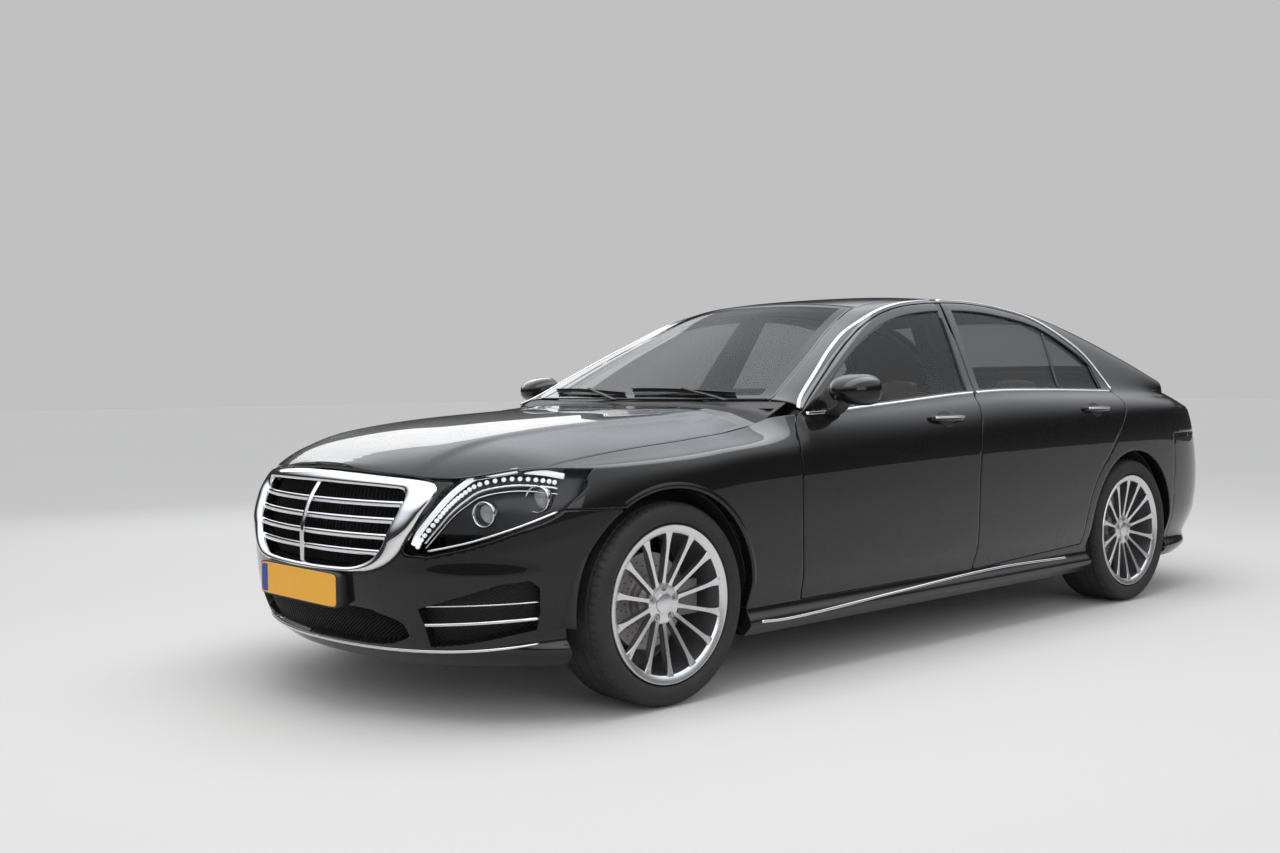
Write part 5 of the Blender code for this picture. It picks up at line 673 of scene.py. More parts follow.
def tube(path, radius, sides=10, spare=None):
    """A bar along a path, of rings square to its tangent.

    Its radius is one number, one for each point or, as a tuple or in two columns, half sizes both ways.
    """
    path = np.asarray(path, float)
    tangent = unit(np.gradient(path, axis=0))
    if spare is None:
        spare = (1.0, 0.0, 0.0) if abs(tangent[:, 2]).mean() > 0.8 else (0.0, 0.0, 1.0)
    first = unit(np.cross(tangent, spare))
    second = np.cross(first, tangent)
    sizes = np.asarray(radius, float)
    if sizes.ndim < 2 and not isinstance(radius, tuple):
        sizes = np.broadcast_to(sizes, len(path))[:, None]
    wide, tall = np.broadcast_to(sizes, (len(path), 2)).T
    c, s = circle(sides).T
    return ring_shape(path[:, None] + first[:, None] * (c * wide[:, None])[..., None]
                      + second[:, None] * (s * tall[:, None])[..., None])


def ring_shape(rings, closed=False, caps=True):
    """Faces over a stack of closed rings, with their ends capped."""
    count, sides = rings.shape[:2]
    ids = np.arange(count * sides).reshape(count, sides)
    steps = count if closed else count - 1
    faces = []
    for i in range(steps):
        near, far = ids[i], ids[(i + 1) % count]
        faces += np.stack([near, np.roll(near, -1), np.roll(far, -1), far], axis=1).tolist()
    if caps and not closed:
        faces += [ids[0][::-1].tolist(), ids[-1].tolist()]
    points = rings.reshape(-1, 3)
    corner = points[np.array(faces[:steps * sides])]
    across = np.cross(corner[:, 1] - corner[:, 0], corner[:, 2] - corner[:, 0])
    if ((corner[:, 0] - points.mean(axis=0)) * across).sum() < 0:
        faces = [face[::-1] for face in faces]
    return points, faces


def grid_shape(grid, facing):
    """Faces over a rectangular grid of points, turned to the side that facing points to."""
    rows, columns = grid.shape[:2]
    ids = np.arange(rows * columns).reshape(rows, columns)
    faces = np.stack([ids[:-1, :-1], ids[1:, :-1], ids[1:, 1:], ids[:-1, 1:]], axis=-1).reshape(-1, 4)
    points = grid.reshape(-1, 3)
    return points, turned_to(points, faces, facing).tolist()


def thick(obj, wall, offset=-1.0):
    """A sheet with its wall."""
    step = obj.modifiers.new("wall", "SOLIDIFY")
    step.thickness = wall
    step.offset = offset
    return obj


# Outlines of the doors in side view, which the body side, the wings and the glass all share.
def scaled(shares):
    """A table of shares as points in side view."""
    return np.array(shares) * (HALF_LENGTH, HEIGHT)


door_front = flowing(scaled(door_front_shares))
door_split = flowing(scaled(door_split_shares))
door_top = flowing(scaled(door_top_shares))
door_rear = flowing(scaled(door_rear_shares))
split_at = 8 * SPLIT_TOP
front_door_top, rear_door_top = door_top[:split_at + 1], door_top[split_at:]
arch_angles = np.linspace(arch_angle_shares[0], arch_angle_shares[-1], 20) * 0.5 * math.pi
DOOR_ARCH_RADIUS = 1.145 * ARCH_RADIUS
door_arch = np.stack([REAR_AXLE_X + DOOR_ARCH_RADIUS * np.cos(arch_angles),
                      TYRE_RADIUS + DOOR_ARCH_RADIUS * np.sin(arch_angles)], axis=1)
door_foot = np.array([[REAR_AXLE_X + DOOR_ARCH_RADIUS, SEAM_Z + 0.022 * HEIGHT]])
pillar_line = np.linspace(door_split[-1], front_door_top[-1], 12)[1:-1]
FRONT_DOOR = np.concatenate([door_front, front_door_top, pillar_line[::-1], door_split[::-1]])
REAR_DOOR = np.concatenate([door_split, pillar_line, rear_door_top, door_rear, door_arch, door_foot])


def wheel_circle(axle_x, radius=ARCH_RADIUS, count=120):
    """A wheel arch in side view."""
    return (axle_x, TYRE_RADIUS) + radius * circle(count)


TAIL_LAMP_LOW_Z, TAIL_LAMP_HIGH_Z = 0.550 * HEIGHT, 0.625 * HEIGHT
tail_lamp_outline = np.array([(-0.835 * HALF_LENGTH, 0.595 * HEIGHT), (-0.90 * HALF_LENGTH, TAIL_LAMP_LOW_Z),
                              (-1.02 * HALF_LENGTH, TAIL_LAMP_LOW_Z), (-1.02 * HALF_LENGTH, TAIL_LAMP_HIGH_Z),
                              (-0.86 * HALF_LENGTH, TAIL_LAMP_HIGH_Z)])
below_tail = np.array([(BUMPER_FRONT_X, -0.1), (BUMPER_FRONT_X, TAIL_SEAM_Z), (-1.2 * HALF_LENGTH, TAIL_SEAM_Z),
                       (-1.2 * HALF_LENGTH, -0.1)])

# Black paint: a dark base with fine metal flake under clear lacquer, a little road dust low on the car.
paint = Finish("black_paint", Base_Color=(0.010, 0.0095, 0.010, 1.0), Roughness=0.28, Coat_Weight=1.0,
               Coat_Roughness=0.012, Coat_IOR=1.38, Specular_IOR_Level=0.1)
flake = paint.add("ShaderNodeTexVoronoi", None, {"Vector": paint.place(), "Scale": 2600.0}, output="Distance")
dust = paint.add("ShaderNodeMapRange", None, {"Value": paint.height() + 0.10 * paint.noise(6.0), 1: 0.36, 2: 0.14,
                                                3: 0.0, 4: 1.0})
flaked = paint.blend(flake.limited(), (0.012, 0.011, 0.010, 1.0), (0.003, 0.0029, 0.003, 1.0))
paint.feed("Base Color", paint.blend(0.45 * dust, flaked, (0.045, 0.040, 0.034, 1.0)))
paint.feed("Roughness", 0.22 + 0.10 * paint.noise(9.0) + 0.20 * dust)

HEM_ROOM = 0.0022
body_xs = np.linspace(-0.905, 0.370, 336) * HALF_LENGTH
body_levels = np.concatenate([np.linspace(0.0, 3.0, 25), np.linspace(3.0, CREASE, 50)[1:],
                              np.linspace(CREASE, BELT, 20)[1:], np.linspace(BELT, EDGE - 0.05, 46)[1:]])
side_cuts = [(SIDE_VIEW, widened(FRONT_DOOR, 0.5 * SHUT_GAP), False),
             (SIDE_VIEW, widened(REAR_DOOR, 0.5 * SHUT_GAP), False),
             (SIDE_VIEW, wheel_circle(REAR_AXLE_X, ARCH_RADIUS + HEM_ROOM), False),
             (SIDE_VIEW, widened(below_tail, HEM_ROOM), False),
             (SIDE_VIEW, widened(tail_lamp_outline, HEM_ROOM), False)]
side_panel = cut_panel(side_skin, body_xs, body_levels, side_cuts, (0.0, 1.0, 0.3), depth=0.040)
sill_xs = np.linspace(0.352 * HALF_LENGTH, FRONT_AXLE_X - 1.0 * ARCH_RADIUS, 46)
front_sill = cut_panel(side_skin, sill_xs, np.linspace(0.0, SEAM - 0.03, 14),
                       [(SIDE_VIEW, wheel_circle(FRONT_AXLE_X), False)], (0.0, 1.0, 0.0), depth=0.040)

pair("body_side", joined(side_panel, front_sill), paint, ("body", "body"))

# Front wings: pressed steel bolted to the body side, from the door to the bumper, round the wheel arch.
nose_seam = np.array(((0.850, 0.468), (0.7450, 0.462), (0.60, 0.455))) * (HALF_LENGTH, HEIGHT)
lamp_outline_shares = ((-0.317, 0.532), (-0.317, 0.512), (-0.330, 0.488), (-0.348, 0.458), (-0.367, 0.441),
                       (-0.398, 0.423), (-0.454, 0.392), (-0.512, 0.369), (-0.543, 0.381), (-0.515, 0.453),
                       (-0.4975, 0.500), (-0.479, 0.523), (-0.455, 0.560), (-0.300, 0.600), (-0.308, 0.556))
lamp_outline = np.array(lamp_outline_shares) * (HALF_LENGTH, HEIGHT)
lamp_outline = np.concatenate([flowing(lamp_outline[:8]), flowing(lamp_outline[7:12])[1:], lamp_outline[12:]])
wing_xs = np.linspace(0.383, 0.944, 150) * HALF_LENGTH
wing_levels = np.concatenate([np.linspace(SEAM, CREASE, 58), np.linspace(CREASE, BELT, 22)[1:]])
nose_crease_xs = np.linspace(1.0, 0.8515, 40) * HALF_LENGTH
nose_crease = np.stack([nose_crease_xs, crease(nose_crease_xs)[1]], axis=1)
wing_below = np.concatenate([nose_crease, nose_seam, [[nose_seam[-1][0], -0.1], [HALF_LENGTH, -0.1]]])
wing_shut = door_front.copy()
wing_shut[:, 0] += 0.5 * SHUT_GAP + HEM_ROOM
wing_behind = np.concatenate([[[0.3 * HALF_LENGTH, 0.0], [wing_shut[0][0], 0.0]], wing_shut,
                              [[0.3845 * HALF_LENGTH, 0.652 * HEIGHT], [0.3845 * HALF_LENGTH, 0.8 * HEIGHT],
                               [0.3 * HALF_LENGTH, 0.8 * HEIGHT]]])
lamp_rim = widened(lamp_outline, 0.003)
lamp_rim = np.concatenate([np.linspace(a, b, 24, endpoint=False)
                           for a, b in zip(lamp_rim, np.roll(lamp_rim, -1, axis=0))])
crease_xs = np.linspace(0.55, 0.97, 200) * HALF_LENGTH
crease_ys, crease_zs = crease(crease_xs)
crease_across = (crease_ys - crease_xs) * math.sqrt(0.5)
along_view = np.argsort(crease_across)
crease_above = np.interp(lamp_rim[:, 0], crease_across[along_view], crease_zs[along_view])
lamp_rim[:, 1] = np.minimum(lamp_rim[:, 1], crease_above - 0.001)
wing_cuts = [(SIDE_VIEW, wheel_circle(FRONT_AXLE_X, ARCH_RADIUS + HEM_ROOM), False), (CORNER_VIEW, lamp_rim, False),
             (SIDE_VIEW, widened(wing_below, 0.001 + HEM_ROOM), False), (SIDE_VIEW, wing_behind, False)]
wing = cut_panel(side_skin, wing_xs, wing_levels, wing_cuts, (0.0, 1.0, 0.2), depth=0.030)


def side_y(x, z, top_row=EDGE):
    """Half width of the side at points in side view, by bisection on the level up to a row."""
    low, high = np.full(np.shape(x), 0.0), np.full(np.shape(x), float(top_row))
    for _ in range(22):
        middle = 0.5 * (low + high)
        above = side_skin(x, middle)[..., 2] > z
        high, low = np.where(above, middle, high), np.where(above, low, middle)
    return side_skin(x, low)[..., 1]


def arch_lip(axle_x, first, last, out=0.004, width=0.026):
    """The rolled lip round an arch: a band that stands proud by out * sin(share), over the skin."""
    turn = np.radians(np.linspace(first, last, 110))
    share = np.linspace(0.0, 1.0, 7)
    radius = ARCH_RADIUS + 0.001 + width * share
    x = axle_x + radius[None, :] * np.cos(turn)[:, None]
    z = TYRE_RADIUS + radius[None, :] * np.sin(turn)[:, None]
    y = side_y(x, z, BELT) + out * np.sin(math.pi * np.sqrt(share))[None, :] - 0.0015
    grid = np.stack([x, y, z], axis=-1)
    inner = grid[:, :1] - np.array((0.0, 0.030, 0.0))
    return grid_shape(np.concatenate([inner, grid], axis=1), (0.0, 1.0, 0.0))


wing_lip = arch_lip(FRONT_AXLE_X, 60.0, 176.0)
pair("fender", joined(wing, wing_lip), paint, ("body", "body"), "fender_{}")


# The pressed inner sides of the panels: the CAD pieces drawn in behind the smooth outer skins.
def inner_pressing(node_name, name, body, move, finishes, pick=None, keep=None):
    """A copy of a CAD node, its points moved, its doubles merged and its faces' finishes picked by rules."""
    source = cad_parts[node_name].data
    points = np.empty(3 * len(source.vertices))
    source.vertices.foreach_get("co", points)
    points = points.reshape(-1, 3)
    _, first, same = np.unique(np.round(points, 5), axis=0, return_index=True, return_inverse=True)
    points = points[first]
    same = same.ravel()
    faces = np.array([[same[k] for k in polygon.vertices] for polygon in source.polygons if polygon.loop_total == 3])
    faces = faces[(faces[:, 0] != faces[:, 1]) & (faces[:, 1] != faces[:, 2]) & (faces[:, 0] != faces[:, 2])]
    if keep is not None:
        faces = faces[keep(points[faces])]
    obj = mesh_piece(name, move(points), faces, finishes, smooth=False)
    if pick is not None:
        corner = move(points)[faces]
        across = unit(np.cross(corner[:, 1] - corner[:, 0], corner[:, 2] - corner[:, 0]))
        obj.data.polygons.foreach_set("material_index", pick(corner.mean(axis=1), across)[:len(obj.data.polygons)])
    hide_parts(node_name)
    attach(obj, body)
    return obj


def drawn_in(points, distance=0.0045, reach=0.020):
    """Points near the skin moved towards the car's middle across it, less and less within a reach behind it."""
    behind = side_y(points[:, 0], points[:, 2]) - np.abs(points[:, 1])
    share = np.clip(1.0 - behind / reach, 0.0, 1.0) * (np.abs(points[:, 1]) > 0.35)
    return points - np.array((0.0, distance, 0.0)) * (np.sign(points[:, 1]) * share)[:, None]


pillar_trim = Finish("pillar_trim", Base_Color=(0.16, 0.125, 0.095, 1.0), Roughness=0.8)
pillar_trim.bump(pillar_trim.noise(900.0), 0.0006)


def inner_or_outer(centre, across):
    """Cloth on faces that look into the cabin, paint elsewhere."""
    cabin = (across[:, 1] * np.sign(centre[:, 1]) < -0.35) | (across[:, 2] < -0.6)
    over_wheel = (centre[:, 0] < -1.04) & (centre[:, 2] < 0.80)
    return (cabin & ~over_wheel & (centre[:, 2] > 0.25) & (centre[:, 0] < 1.0) & (centre[:, 0] > -1.9)).astype(int)


for tag in ("left", "right"):
    inner_pressing(f"body_side_{tag}", f"body_frame_{tag}", "body", drawn_in, [paint, pillar_trim], inner_or_outer)


# Doors: pressed steel skins hemmed over their inner pressings, with frames round the side glass, hung on
# two hinges at their front edges. Inside, each has a soft trim in two browns with a wood strip and armrest.
def window_outline(front_x, back_x, front_lean, back_lean, top, rim=0.038):
    """A window in side view: along the belt, up its leaning ends and under the door's top edge."""
    share = np.linspace(0.0, 1.0, 60)
    xs = front_x + (back_x - front_x) * share
    upper_xs = xs + front_lean + (back_lean - front_lean) * share
    top_z = np.interp(-upper_xs, -top[:, 0], top[:, 1]) - rim
    belt_z = follow(belt_z_shares, xs, HEIGHT, fair=0.03) + 0.016
    upper = np.stack([upper_xs, top_z], axis=1)[::-1]
    lower = np.stack([xs, belt_z], axis=1)
    return np.concatenate([lower, upper[upper[:, 1] > belt_z[::-1] + 0.010]])


PILLAR_LEAN = float(door_top[split_at][0] - door_split[-1][0])
SPLIT_X = float(door_split[-1][0])
front_window = window_outline(0.350 * HALF_LENGTH, SPLIT_X + 0.050, 0.0, PILLAR_LEAN, front_door_top)
rear_window_outline = window_outline(SPLIT_X - 0.050, -0.507 * HALF_LENGTH, PILLAR_LEAN, 0.0, rear_door_top)
door_levels = np.concatenate([np.linspace(1.9, CREASE, 62), np.linspace(CREASE, BELT, 22)[1:],
                              np.linspace(BELT, 11.6, 44)[1:]])
front_xs = np.linspace(1.075, -0.27, 136)
rear_xs = np.linspace(-0.06, -1.47, 142)
DOOR_INSET = -(0.4 * SHUT_GAP + HEM_ROOM)
front_skin = cut_panel(side_skin, front_xs, door_levels,
                       [(SIDE_VIEW, widened(FRONT_DOOR, DOOR_INSET), True),
                        (SIDE_VIEW, widened(front_window, HEM_ROOM), False)], (0.0, 1.0, 0.2), depth=0.016)
rear_skin = cut_panel(side_skin, rear_xs, door_levels,
                      [(SIDE_VIEW, widened(REAR_DOOR, DOOR_INSET), True),
                       (SIDE_VIEW, widened(rear_window_outline, HEM_ROOM), False)], (0.0, 1.0, 0.2), depth=0.016)
pair("front_door", front_skin, paint, ("front_door_left", "front_door_right"))
pair("rear_door", rear_skin, paint, ("rear_door_left", "rear_door_right"))

# Soft door trim: brown leather above and below, its grain a fine Voronoi relief.
door_leather = Finish("door_leather", Base_Color=(0.23, 0.13, 0.075, 1.0), Roughness=0.52)
grain = door_leather.add("ShaderNodeTexVoronoi", {"feature": "DISTANCE_TO_EDGE"},
                         {"Vector": door_leather.place(), "Scale": 420.0}, output="Distance")
door_leather.bump(grain, 0.0008, 0.6)
door_leather.feed("Base Color", door_leather.blend(door_leather.noise(7.0), (0.20, 0.112, 0.062, 1.0),
                                                   (0.27, 0.155, 0.090, 1.0)))
door_leather.feed("Roughness", 0.42 + 0.25 * door_leather.noise(60.0))


def not_proud(corners):
    """Faces that don't stand off the door's outer skin: the handle's and the mirror's are left out."""
    corner = corners.reshape(-1, 3)
    skin = side_y(corner[:, 0], corner[:, 2]).reshape(corners.shape[:2])
    return (np.abs(corners[..., 1]) < skin + 0.003).all(axis=1)


def door_faces(centre, across):
    """Leather on faces that look into the cabin below the belt, cloth above it, paint elsewhere."""
    cabin = across[:, 1] * np.sign(centre[:, 1]) < -0.3
    return np.where(cabin, np.where(centre[:, 2] < 1.02, 1, 2), 0)


for tag in ("left", "right"):
    for end in ("front", "rear"):
        inner_pressing(f"{end}_door_{tag}", f"{end}_door_inner_{tag}", f"{end}_door_{tag}", drawn_in,
                       [paint, door_leather, pillar_trim], door_faces, not_proud)

# Roof, bonnet and boot lid: pressed steel over their frames. The bonnet carries two long creases, and its
# back edge and the boot lid's front edge swing on hidden hinges.
ROOF_FRONT_X, ROOF_BACK_X = 0.072 * HALF_LENGTH, -0.465 * HALF_LENGTH
WINDSCREEN_BOW = (0.030 * HALF_LENGTH, 0.027 * HALF_LENGTH)
REAR_BOW = (0.020 * HALF_LENGTH, 0.010 * HALF_LENGTH)


def glass_edge(x):
    """Half width and height of the edge where the sides meet the roof and the windows."""
    return follow(edge_y_shares, x, HALF_WIDTH, fair=0.05), follow(edge_z_shares, x, HEIGHT, fair=0.05)


def bowed(x, share, bow, crown):
    """A sheet between the two glass edges: forward by bow * (1 - s^2), up by crown * (1 - s^2.6)."""
    edge_y, edge_z = glass_edge(x)
    return np.stack([x + bow * (1.0 - share ** 2), (edge_y - 0.0030) * share,
                     edge_z + crown * (1.0 - np.abs(share) ** 2.6)], axis=-1)


def crown_at(x):
    """Rise of the roof's middle over its edge."""
    return follow(roof_z_shares, x, HEIGHT, fair=0.06) - glass_edge(x)[1]


def roof_skin(x, share):
    """The roof between the windscreen and the rear window."""
    part = (ROOF_FRONT_X - x) / (ROOF_FRONT_X - ROOF_BACK_X)
    return bowed(x, share, (1.0 - part) * WINDSCREEN_BOW[1] - part * REAR_BOW[0], crown_at(x))


roof_panel = cut_panel(roof_skin, np.linspace(ROOF_FRONT_X - 0.003, ROOF_BACK_X + 0.003, 120),
                       np.linspace(-1.0, 1.0, 90), [], (0.0, 0.0, 1.0), depth=0.010)
piece_on("body", "roof_skin", roof_panel, paint)
inner_pressing("roof", "headlining", "body", lambda points: points - (0.0, 0.0, 0.005), [pillar_trim])

BONNET_REAR_X, BONNET_NOSE_X = 0.440 * HALF_LENGTH, 0.9485 * HALF_LENGTH


def bonnet_skin(along, share):
    """The bonnet: its height plus two creases of height c * exp(-(d / w)^2) that draw together at the nose."""
    x = BONNET_REAR_X + (BONNET_NOSE_X - BONNET_REAR_X) * np.sin(0.5 * math.pi * along) ** 0.9
    edge_y, _ = crease(x)
    belt_y = np.minimum(follow(belt_y_shares, x, HALF_WIDTH, fair=0.03), 0.99 * edge_y) - 0.5 * SHUT_GAP - HEM_ROOM
    y = belt_y * share
    part = (x - BONNET_REAR_X) / (BONNET_NOSE_X - BONNET_REAR_X)
    crease_y = 0.575 - 0.145 * part
    fade = np.clip(8.0 * part, 0.0, 1.0) * np.clip(5.0 * (1.0 - part), 0.0, 1.0)
    out = np.abs(y) - crease_y
    ridge = 0.0075 * fade * np.exp(-np.where(out > 0, out / 0.030, out / 0.110) ** 2)
    return np.stack([x, y, bonnet_height(x, y) + ridge], axis=-1)


bonnet_panel = cut_panel(bonnet_skin, np.linspace(0.02, 0.999, 110), np.linspace(-1.0, 1.0, 150), [],
                         (0.0, 0.0, 1.0), depth=0.012)
piece_on("bonnet", "bonnet_skin", bonnet_panel, paint)
inner_pressing("bonnet", "bonnet_frame", "bonnet", lambda points: points - (0.0, 0.0, 0.006), [paint])

BOOT_FRONT_X, BOOT_LIP_Z, BOOT_BOTTOM_Z = -0.7665 * HALF_LENGTH, 0.650 * HEIGHT, 0.556 * HEIGHT


def tail_x(y, z):
    """Where the tail's skin is, at a half width and a height."""
    end = -follow(tail_shares, z, HALF_LENGTH, along=HEIGHT)
    share = np.clip(np.abs(y) / half_width_at(z), 0.0, 1.0)
    return TAIL_START_X + (end - TAIL_START_X) * (1.0 - share ** 2) ** (1.0 / TAIL_POWER)


def boot_skin(along, share):
    """The boot lid: a deck to the lip for along < 1, then the face down to its lower edge."""
    y = (BOOT_HALF - 0.3 * SHUT_GAP - HEM_ROOM) * share
    lip_x = tail_x(y, BOOT_LIP_Z)
    deck = np.clip(along, 0.0, 1.0)
    x = BOOT_FRONT_X - 0.003 + deck * (lip_x - BOOT_FRONT_X)
    lip_z = deck_height(lip_x, y)
    down = np.clip(along - 1.0, 0.0, 1.0)
    face_z = lip_z + down * (BOOT_BOTTOM_Z + HEM_ROOM - lip_z)
    face_x = tail_x(y, face_z) + 0.020 * np.sin(math.pi * np.clip(down * 1.25, 0.0, 1.0)) * (down > 0)
    lip_rise = 0.006 * np.exp(-((1.0 - deck) / 0.10) ** 2)
    return np.stack([np.where(along <= 1.0, x, face_x), y,
                     np.where(along <= 1.0, deck_height(x, y) + lip_rise, face_z + lip_rise * (1.0 - down) ** 4)],
                    axis=-1)


boot_rows = np.concatenate([np.linspace(0.0, 0.96, 60), np.linspace(0.97, 1.05, 9), np.linspace(1.08, 2.0, 34)])
boot_panel = cut_panel(boot_skin, boot_rows, np.linspace(-1.0, 1.0, 120), [], (-0.3, 0.0, 1.0), depth=0.012)
piece_on("boot_lid", "boot_lid_skin", boot_panel, paint)
inner_pressing("boot_lid", "boot_frame", "boot_lid", lambda points: points + (0.006, 0.0, -0.006), [paint])

# Glass: curved tinted panes glued to the body, with a black printed border, and door glass in rubber runs.
glass = Finish("tinted_glass", Base_Color=(0.008, 0.010, 0.010, 1.0), Roughness=0.01, Specular_IOR_Level=0.35)
mirror_share = glass.add("ShaderNodeLayerWeight", None, {"Blend": 0.35}, output="Facing")
glass.feed("Alpha", (0.16 + 0.50 * mirror_share).limited())
glass.material.surface_render_method = "DITHERED"
printed = Finish("glass_border", Base_Color=(0.006, 0.006, 0.006, 1.0), Roughness=0.06)
printed.feed("Roughness", 0.05 + 0.06 * printed.noise(30.0))


def pane(name, surface, us, vs, facing, node, border, wall=0.005):
    """A pane over a surface, with its outermost cells printed black."""
    obj = piece_on("body", name, cut_panel(surface, us, vs, [], facing, hem=0.0), [glass, printed],
                   node)
    rows, columns = len(us) - 1, len(vs) - 1
    i, j = np.divmod(np.arange(rows * columns), columns)
    edge = np.minimum(np.minimum(i * border[0], (rows - 1 - i) * border[0]),
                      np.minimum(j * border[1], (columns - 1 - j) * border[1])) < 1.0
    obj.data.polygons.foreach_set("material_index", edge.astype(int))
    thick(obj, wall)


SCREEN_BASE_X, SCREEN_TOP_X = 0.370 * HALF_LENGTH, 0.072 * HALF_LENGTH
front_crown = float(crown_at(np.array(ROOF_FRONT_X)))
back_crown = float(crown_at(np.array(ROOF_BACK_X)))


def screen_skin(x, share):
    """The windscreen, bowed forward and crowned more and more towards the roof."""
    part = (SCREEN_BASE_X - x) / (SCREEN_BASE_X - SCREEN_TOP_X)
    return bowed(x, share, WINDSCREEN_BOW[0] + part * (WINDSCREEN_BOW[1] - WINDSCREEN_BOW[0]), part * front_crown)


REAR_TOP_X, REAR_BASE_X = -0.465 * HALF_LENGTH, -0.745 * HALF_LENGTH


def rear_screen_skin(x, share):
    """The rear window, bowed backwards."""
    part = (REAR_TOP_X - x) / (REAR_TOP_X - REAR_BASE_X)
    return bowed(x, share, -REAR_BOW[0] + part * (REAR_BOW[0] - REAR_BOW[1]), back_crown * (1.0 - 0.4 * part))


pane("windscreen_glass", screen_skin, np.linspace(SCREEN_BASE_X, SCREEN_TOP_X + 0.006, 70), np.linspace(-1, 1, 90),
     (1.0, 0.0, 1.0), "windscreen", (0.34, 0.30))
pane("rear_window_glass", rear_screen_skin, np.linspace(REAR_TOP_X - 0.006, REAR_BASE_X, 60), np.linspace(-1, 1, 90),
     (-1.0, 0.0, 1.0), "rear_window", (0.30, 0.30))


def glass_skin(x, level):
    """The side glass, set in behind the side's skin."""
    return side_skin(x, level) - np.array((0.0, 0.010, 0.0))


pane_levels = np.linspace(8.9, 11.6, 46)
for end, outline, xs in (("front", front_window, front_xs), ("rear", rear_window_outline, rear_xs)):
    shape = cut_panel(glass_skin, xs, pane_levels, [(SIDE_VIEW, widened(outline, 0.006), True)], (0.0, 1.0, 0.3),
                      hem=0.0)
    for piece in pair(f"{end}_glass", shape, glass, (f"{end}_door_left", f"{end}_door_right"), end + "_glass_{}"):
        thick(piece, 0.004)

# Front bumper: a moulded skin in body colour round the grille, the lamps and three air intakes, with a
# bright strip along its lower lip and dark mesh behind the openings.
ACROSS = (HALF_WIDTH, HEIGHT)
ALONG = (HALF_LENGTH, HEIGHT)


def mirrored_outline(half):
    """A whole outline from its right half."""
    other = half[::-1] * (-1.0, 1.0)
    return np.concatenate([half, other[other[:, 0] != 0.0]])


grille_half = np.array(((0.0, 0.322), (0.20, 0.3225), (0.316, 0.325), (0.421, 0.337), (0.495, 0.365), (0.542, 0.412),
                        (0.579, 0.465), (0.592, 0.498), (0.580, 0.517), (0.520, 0.529), (0.30, 0.537), (0.12, 0.5415),
                        (0.0, 0.542))) * ACROSS
opening_half = np.array(((0.0, 0.336), (0.20, 0.337), (0.31, 0.341), (0.39, 0.358), (0.435, 0.385), (0.462, 0.425),
                         (0.482, 0.470), (0.484, 0.492), (0.460, 0.506), (0.40, 0.509), (0.30, 0.511), (0.12, 0.5125),
                         (0.0, 0.513))) * ACROSS
grille_edge = mirrored_outline(flowing(grille_half, 10))
opening_edge = mirrored_outline(flowing(opening_half, 10))
intake_low = flowing(np.array(((0.0, 0.161), (0.30, 0.163), (0.42, 0.168), (0.505, 0.186))) * ACROSS)
intake_high = flowing(np.array(((0.515, 0.192), (0.500, 0.222), (0.42, 0.240), (0.33, 0.250), (0.0, 0.252))) * ACROSS)
centre_intake = mirrored_outline(np.concatenate([intake_low, intake_high]))
side_intake = np.array(((-0.384, 0.319), (-0.42, 0.312), (-0.483, 0.279), (-0.526, 0.256), (-0.518, 0.215),
                        (-0.512, 0.168), (-0.470, 0.176), (-0.378, 0.206), (-0.372, 0.250), (-0.372, 0.303))) * ALONG
NOSE_TOP_LEVEL = 6.90
SHELF_ACROSS, SHELF_Z, SHELF_OUT = -1.17, 0.492, 0.007


def nose_x(y, z):
    """Where the nose's skin is, at a half width and a height."""
    end = follow(nose_shares, z, HALF_LENGTH, along=HEIGHT)
    share = np.clip(np.abs(y) / half_width_at(z), 0.0, 1.0)
    return NOSE_START_X + (end - NOSE_START_X) * (1.0 - share ** 2) ** (1.0 / NOSE_POWER)


def outward(angle):
    """The direction away from the car's middle at an angle of its plan."""
    return np.stack([np.cos(angle), np.sin(angle), np.zeros_like(angle)], axis=-1)


def nose_skin(angle, level):
    """The nose, with a soft shelf over the side intakes."""
    at = end_skin(angle, level)
    across = (at @ CORNER_VIEW.T)[..., 0]
    shelf = np.exp(-((across - SHELF_ACROSS) / 0.20) ** 2 - ((at[..., 2] - SHELF_Z) / 0.030) ** 2)
    return at + SHELF_OUT * shelf[..., None] * outward(angle)


bumper_above = np.concatenate([nose_seam, [[nose_seam[-1][0], HEIGHT], [nose_seam[0][0], HEIGHT]]])
bumper_cuts = [(FRONT_VIEW, widened(grille_edge, 0.002), False), (FRONT_VIEW, centre_intake, False),
               (CORNER_VIEW, widened(lamp_outline, 0.003), False), (CORNER_VIEW, side_intake, False),
               (SIDE_VIEW, widened(bumper_above, 0.001 + HEM_ROOM), False),
               (SIDE_VIEW, wheel_circle(FRONT_AXLE_X, ARCH_RADIUS + HEM_ROOM), False)]
bumper_half = cut_panel(nose_skin, np.radians(np.linspace(0.0, 79.0, 190)), np.linspace(0.0, NOSE_TOP_LEVEL, 110),
                        bumper_cuts, (1.0, 0.3, 0.0), depth=0.030, centred=True)
welded(piece_on("body", "front_bumper_skin", joined(bumper_half, mirrored(*bumper_half)), paint,
                "front_bumper"))

# Bright trim: polished chrome over moulded plastic, faintly clouded.
chrome = Finish("chrome", Base_Color=(0.78, 0.78, 0.79, 1.0), Roughness=0.07, Metallic=1.0)
chrome.feed("Roughness", 0.05 + 0.07 * chrome.noise(25.0))
chrome.feed("Base Color", chrome.blend(chrome.noise(4.0), (0.72, 0.72, 0.74, 1.0), (0.84, 0.84, 0.84, 1.0)))

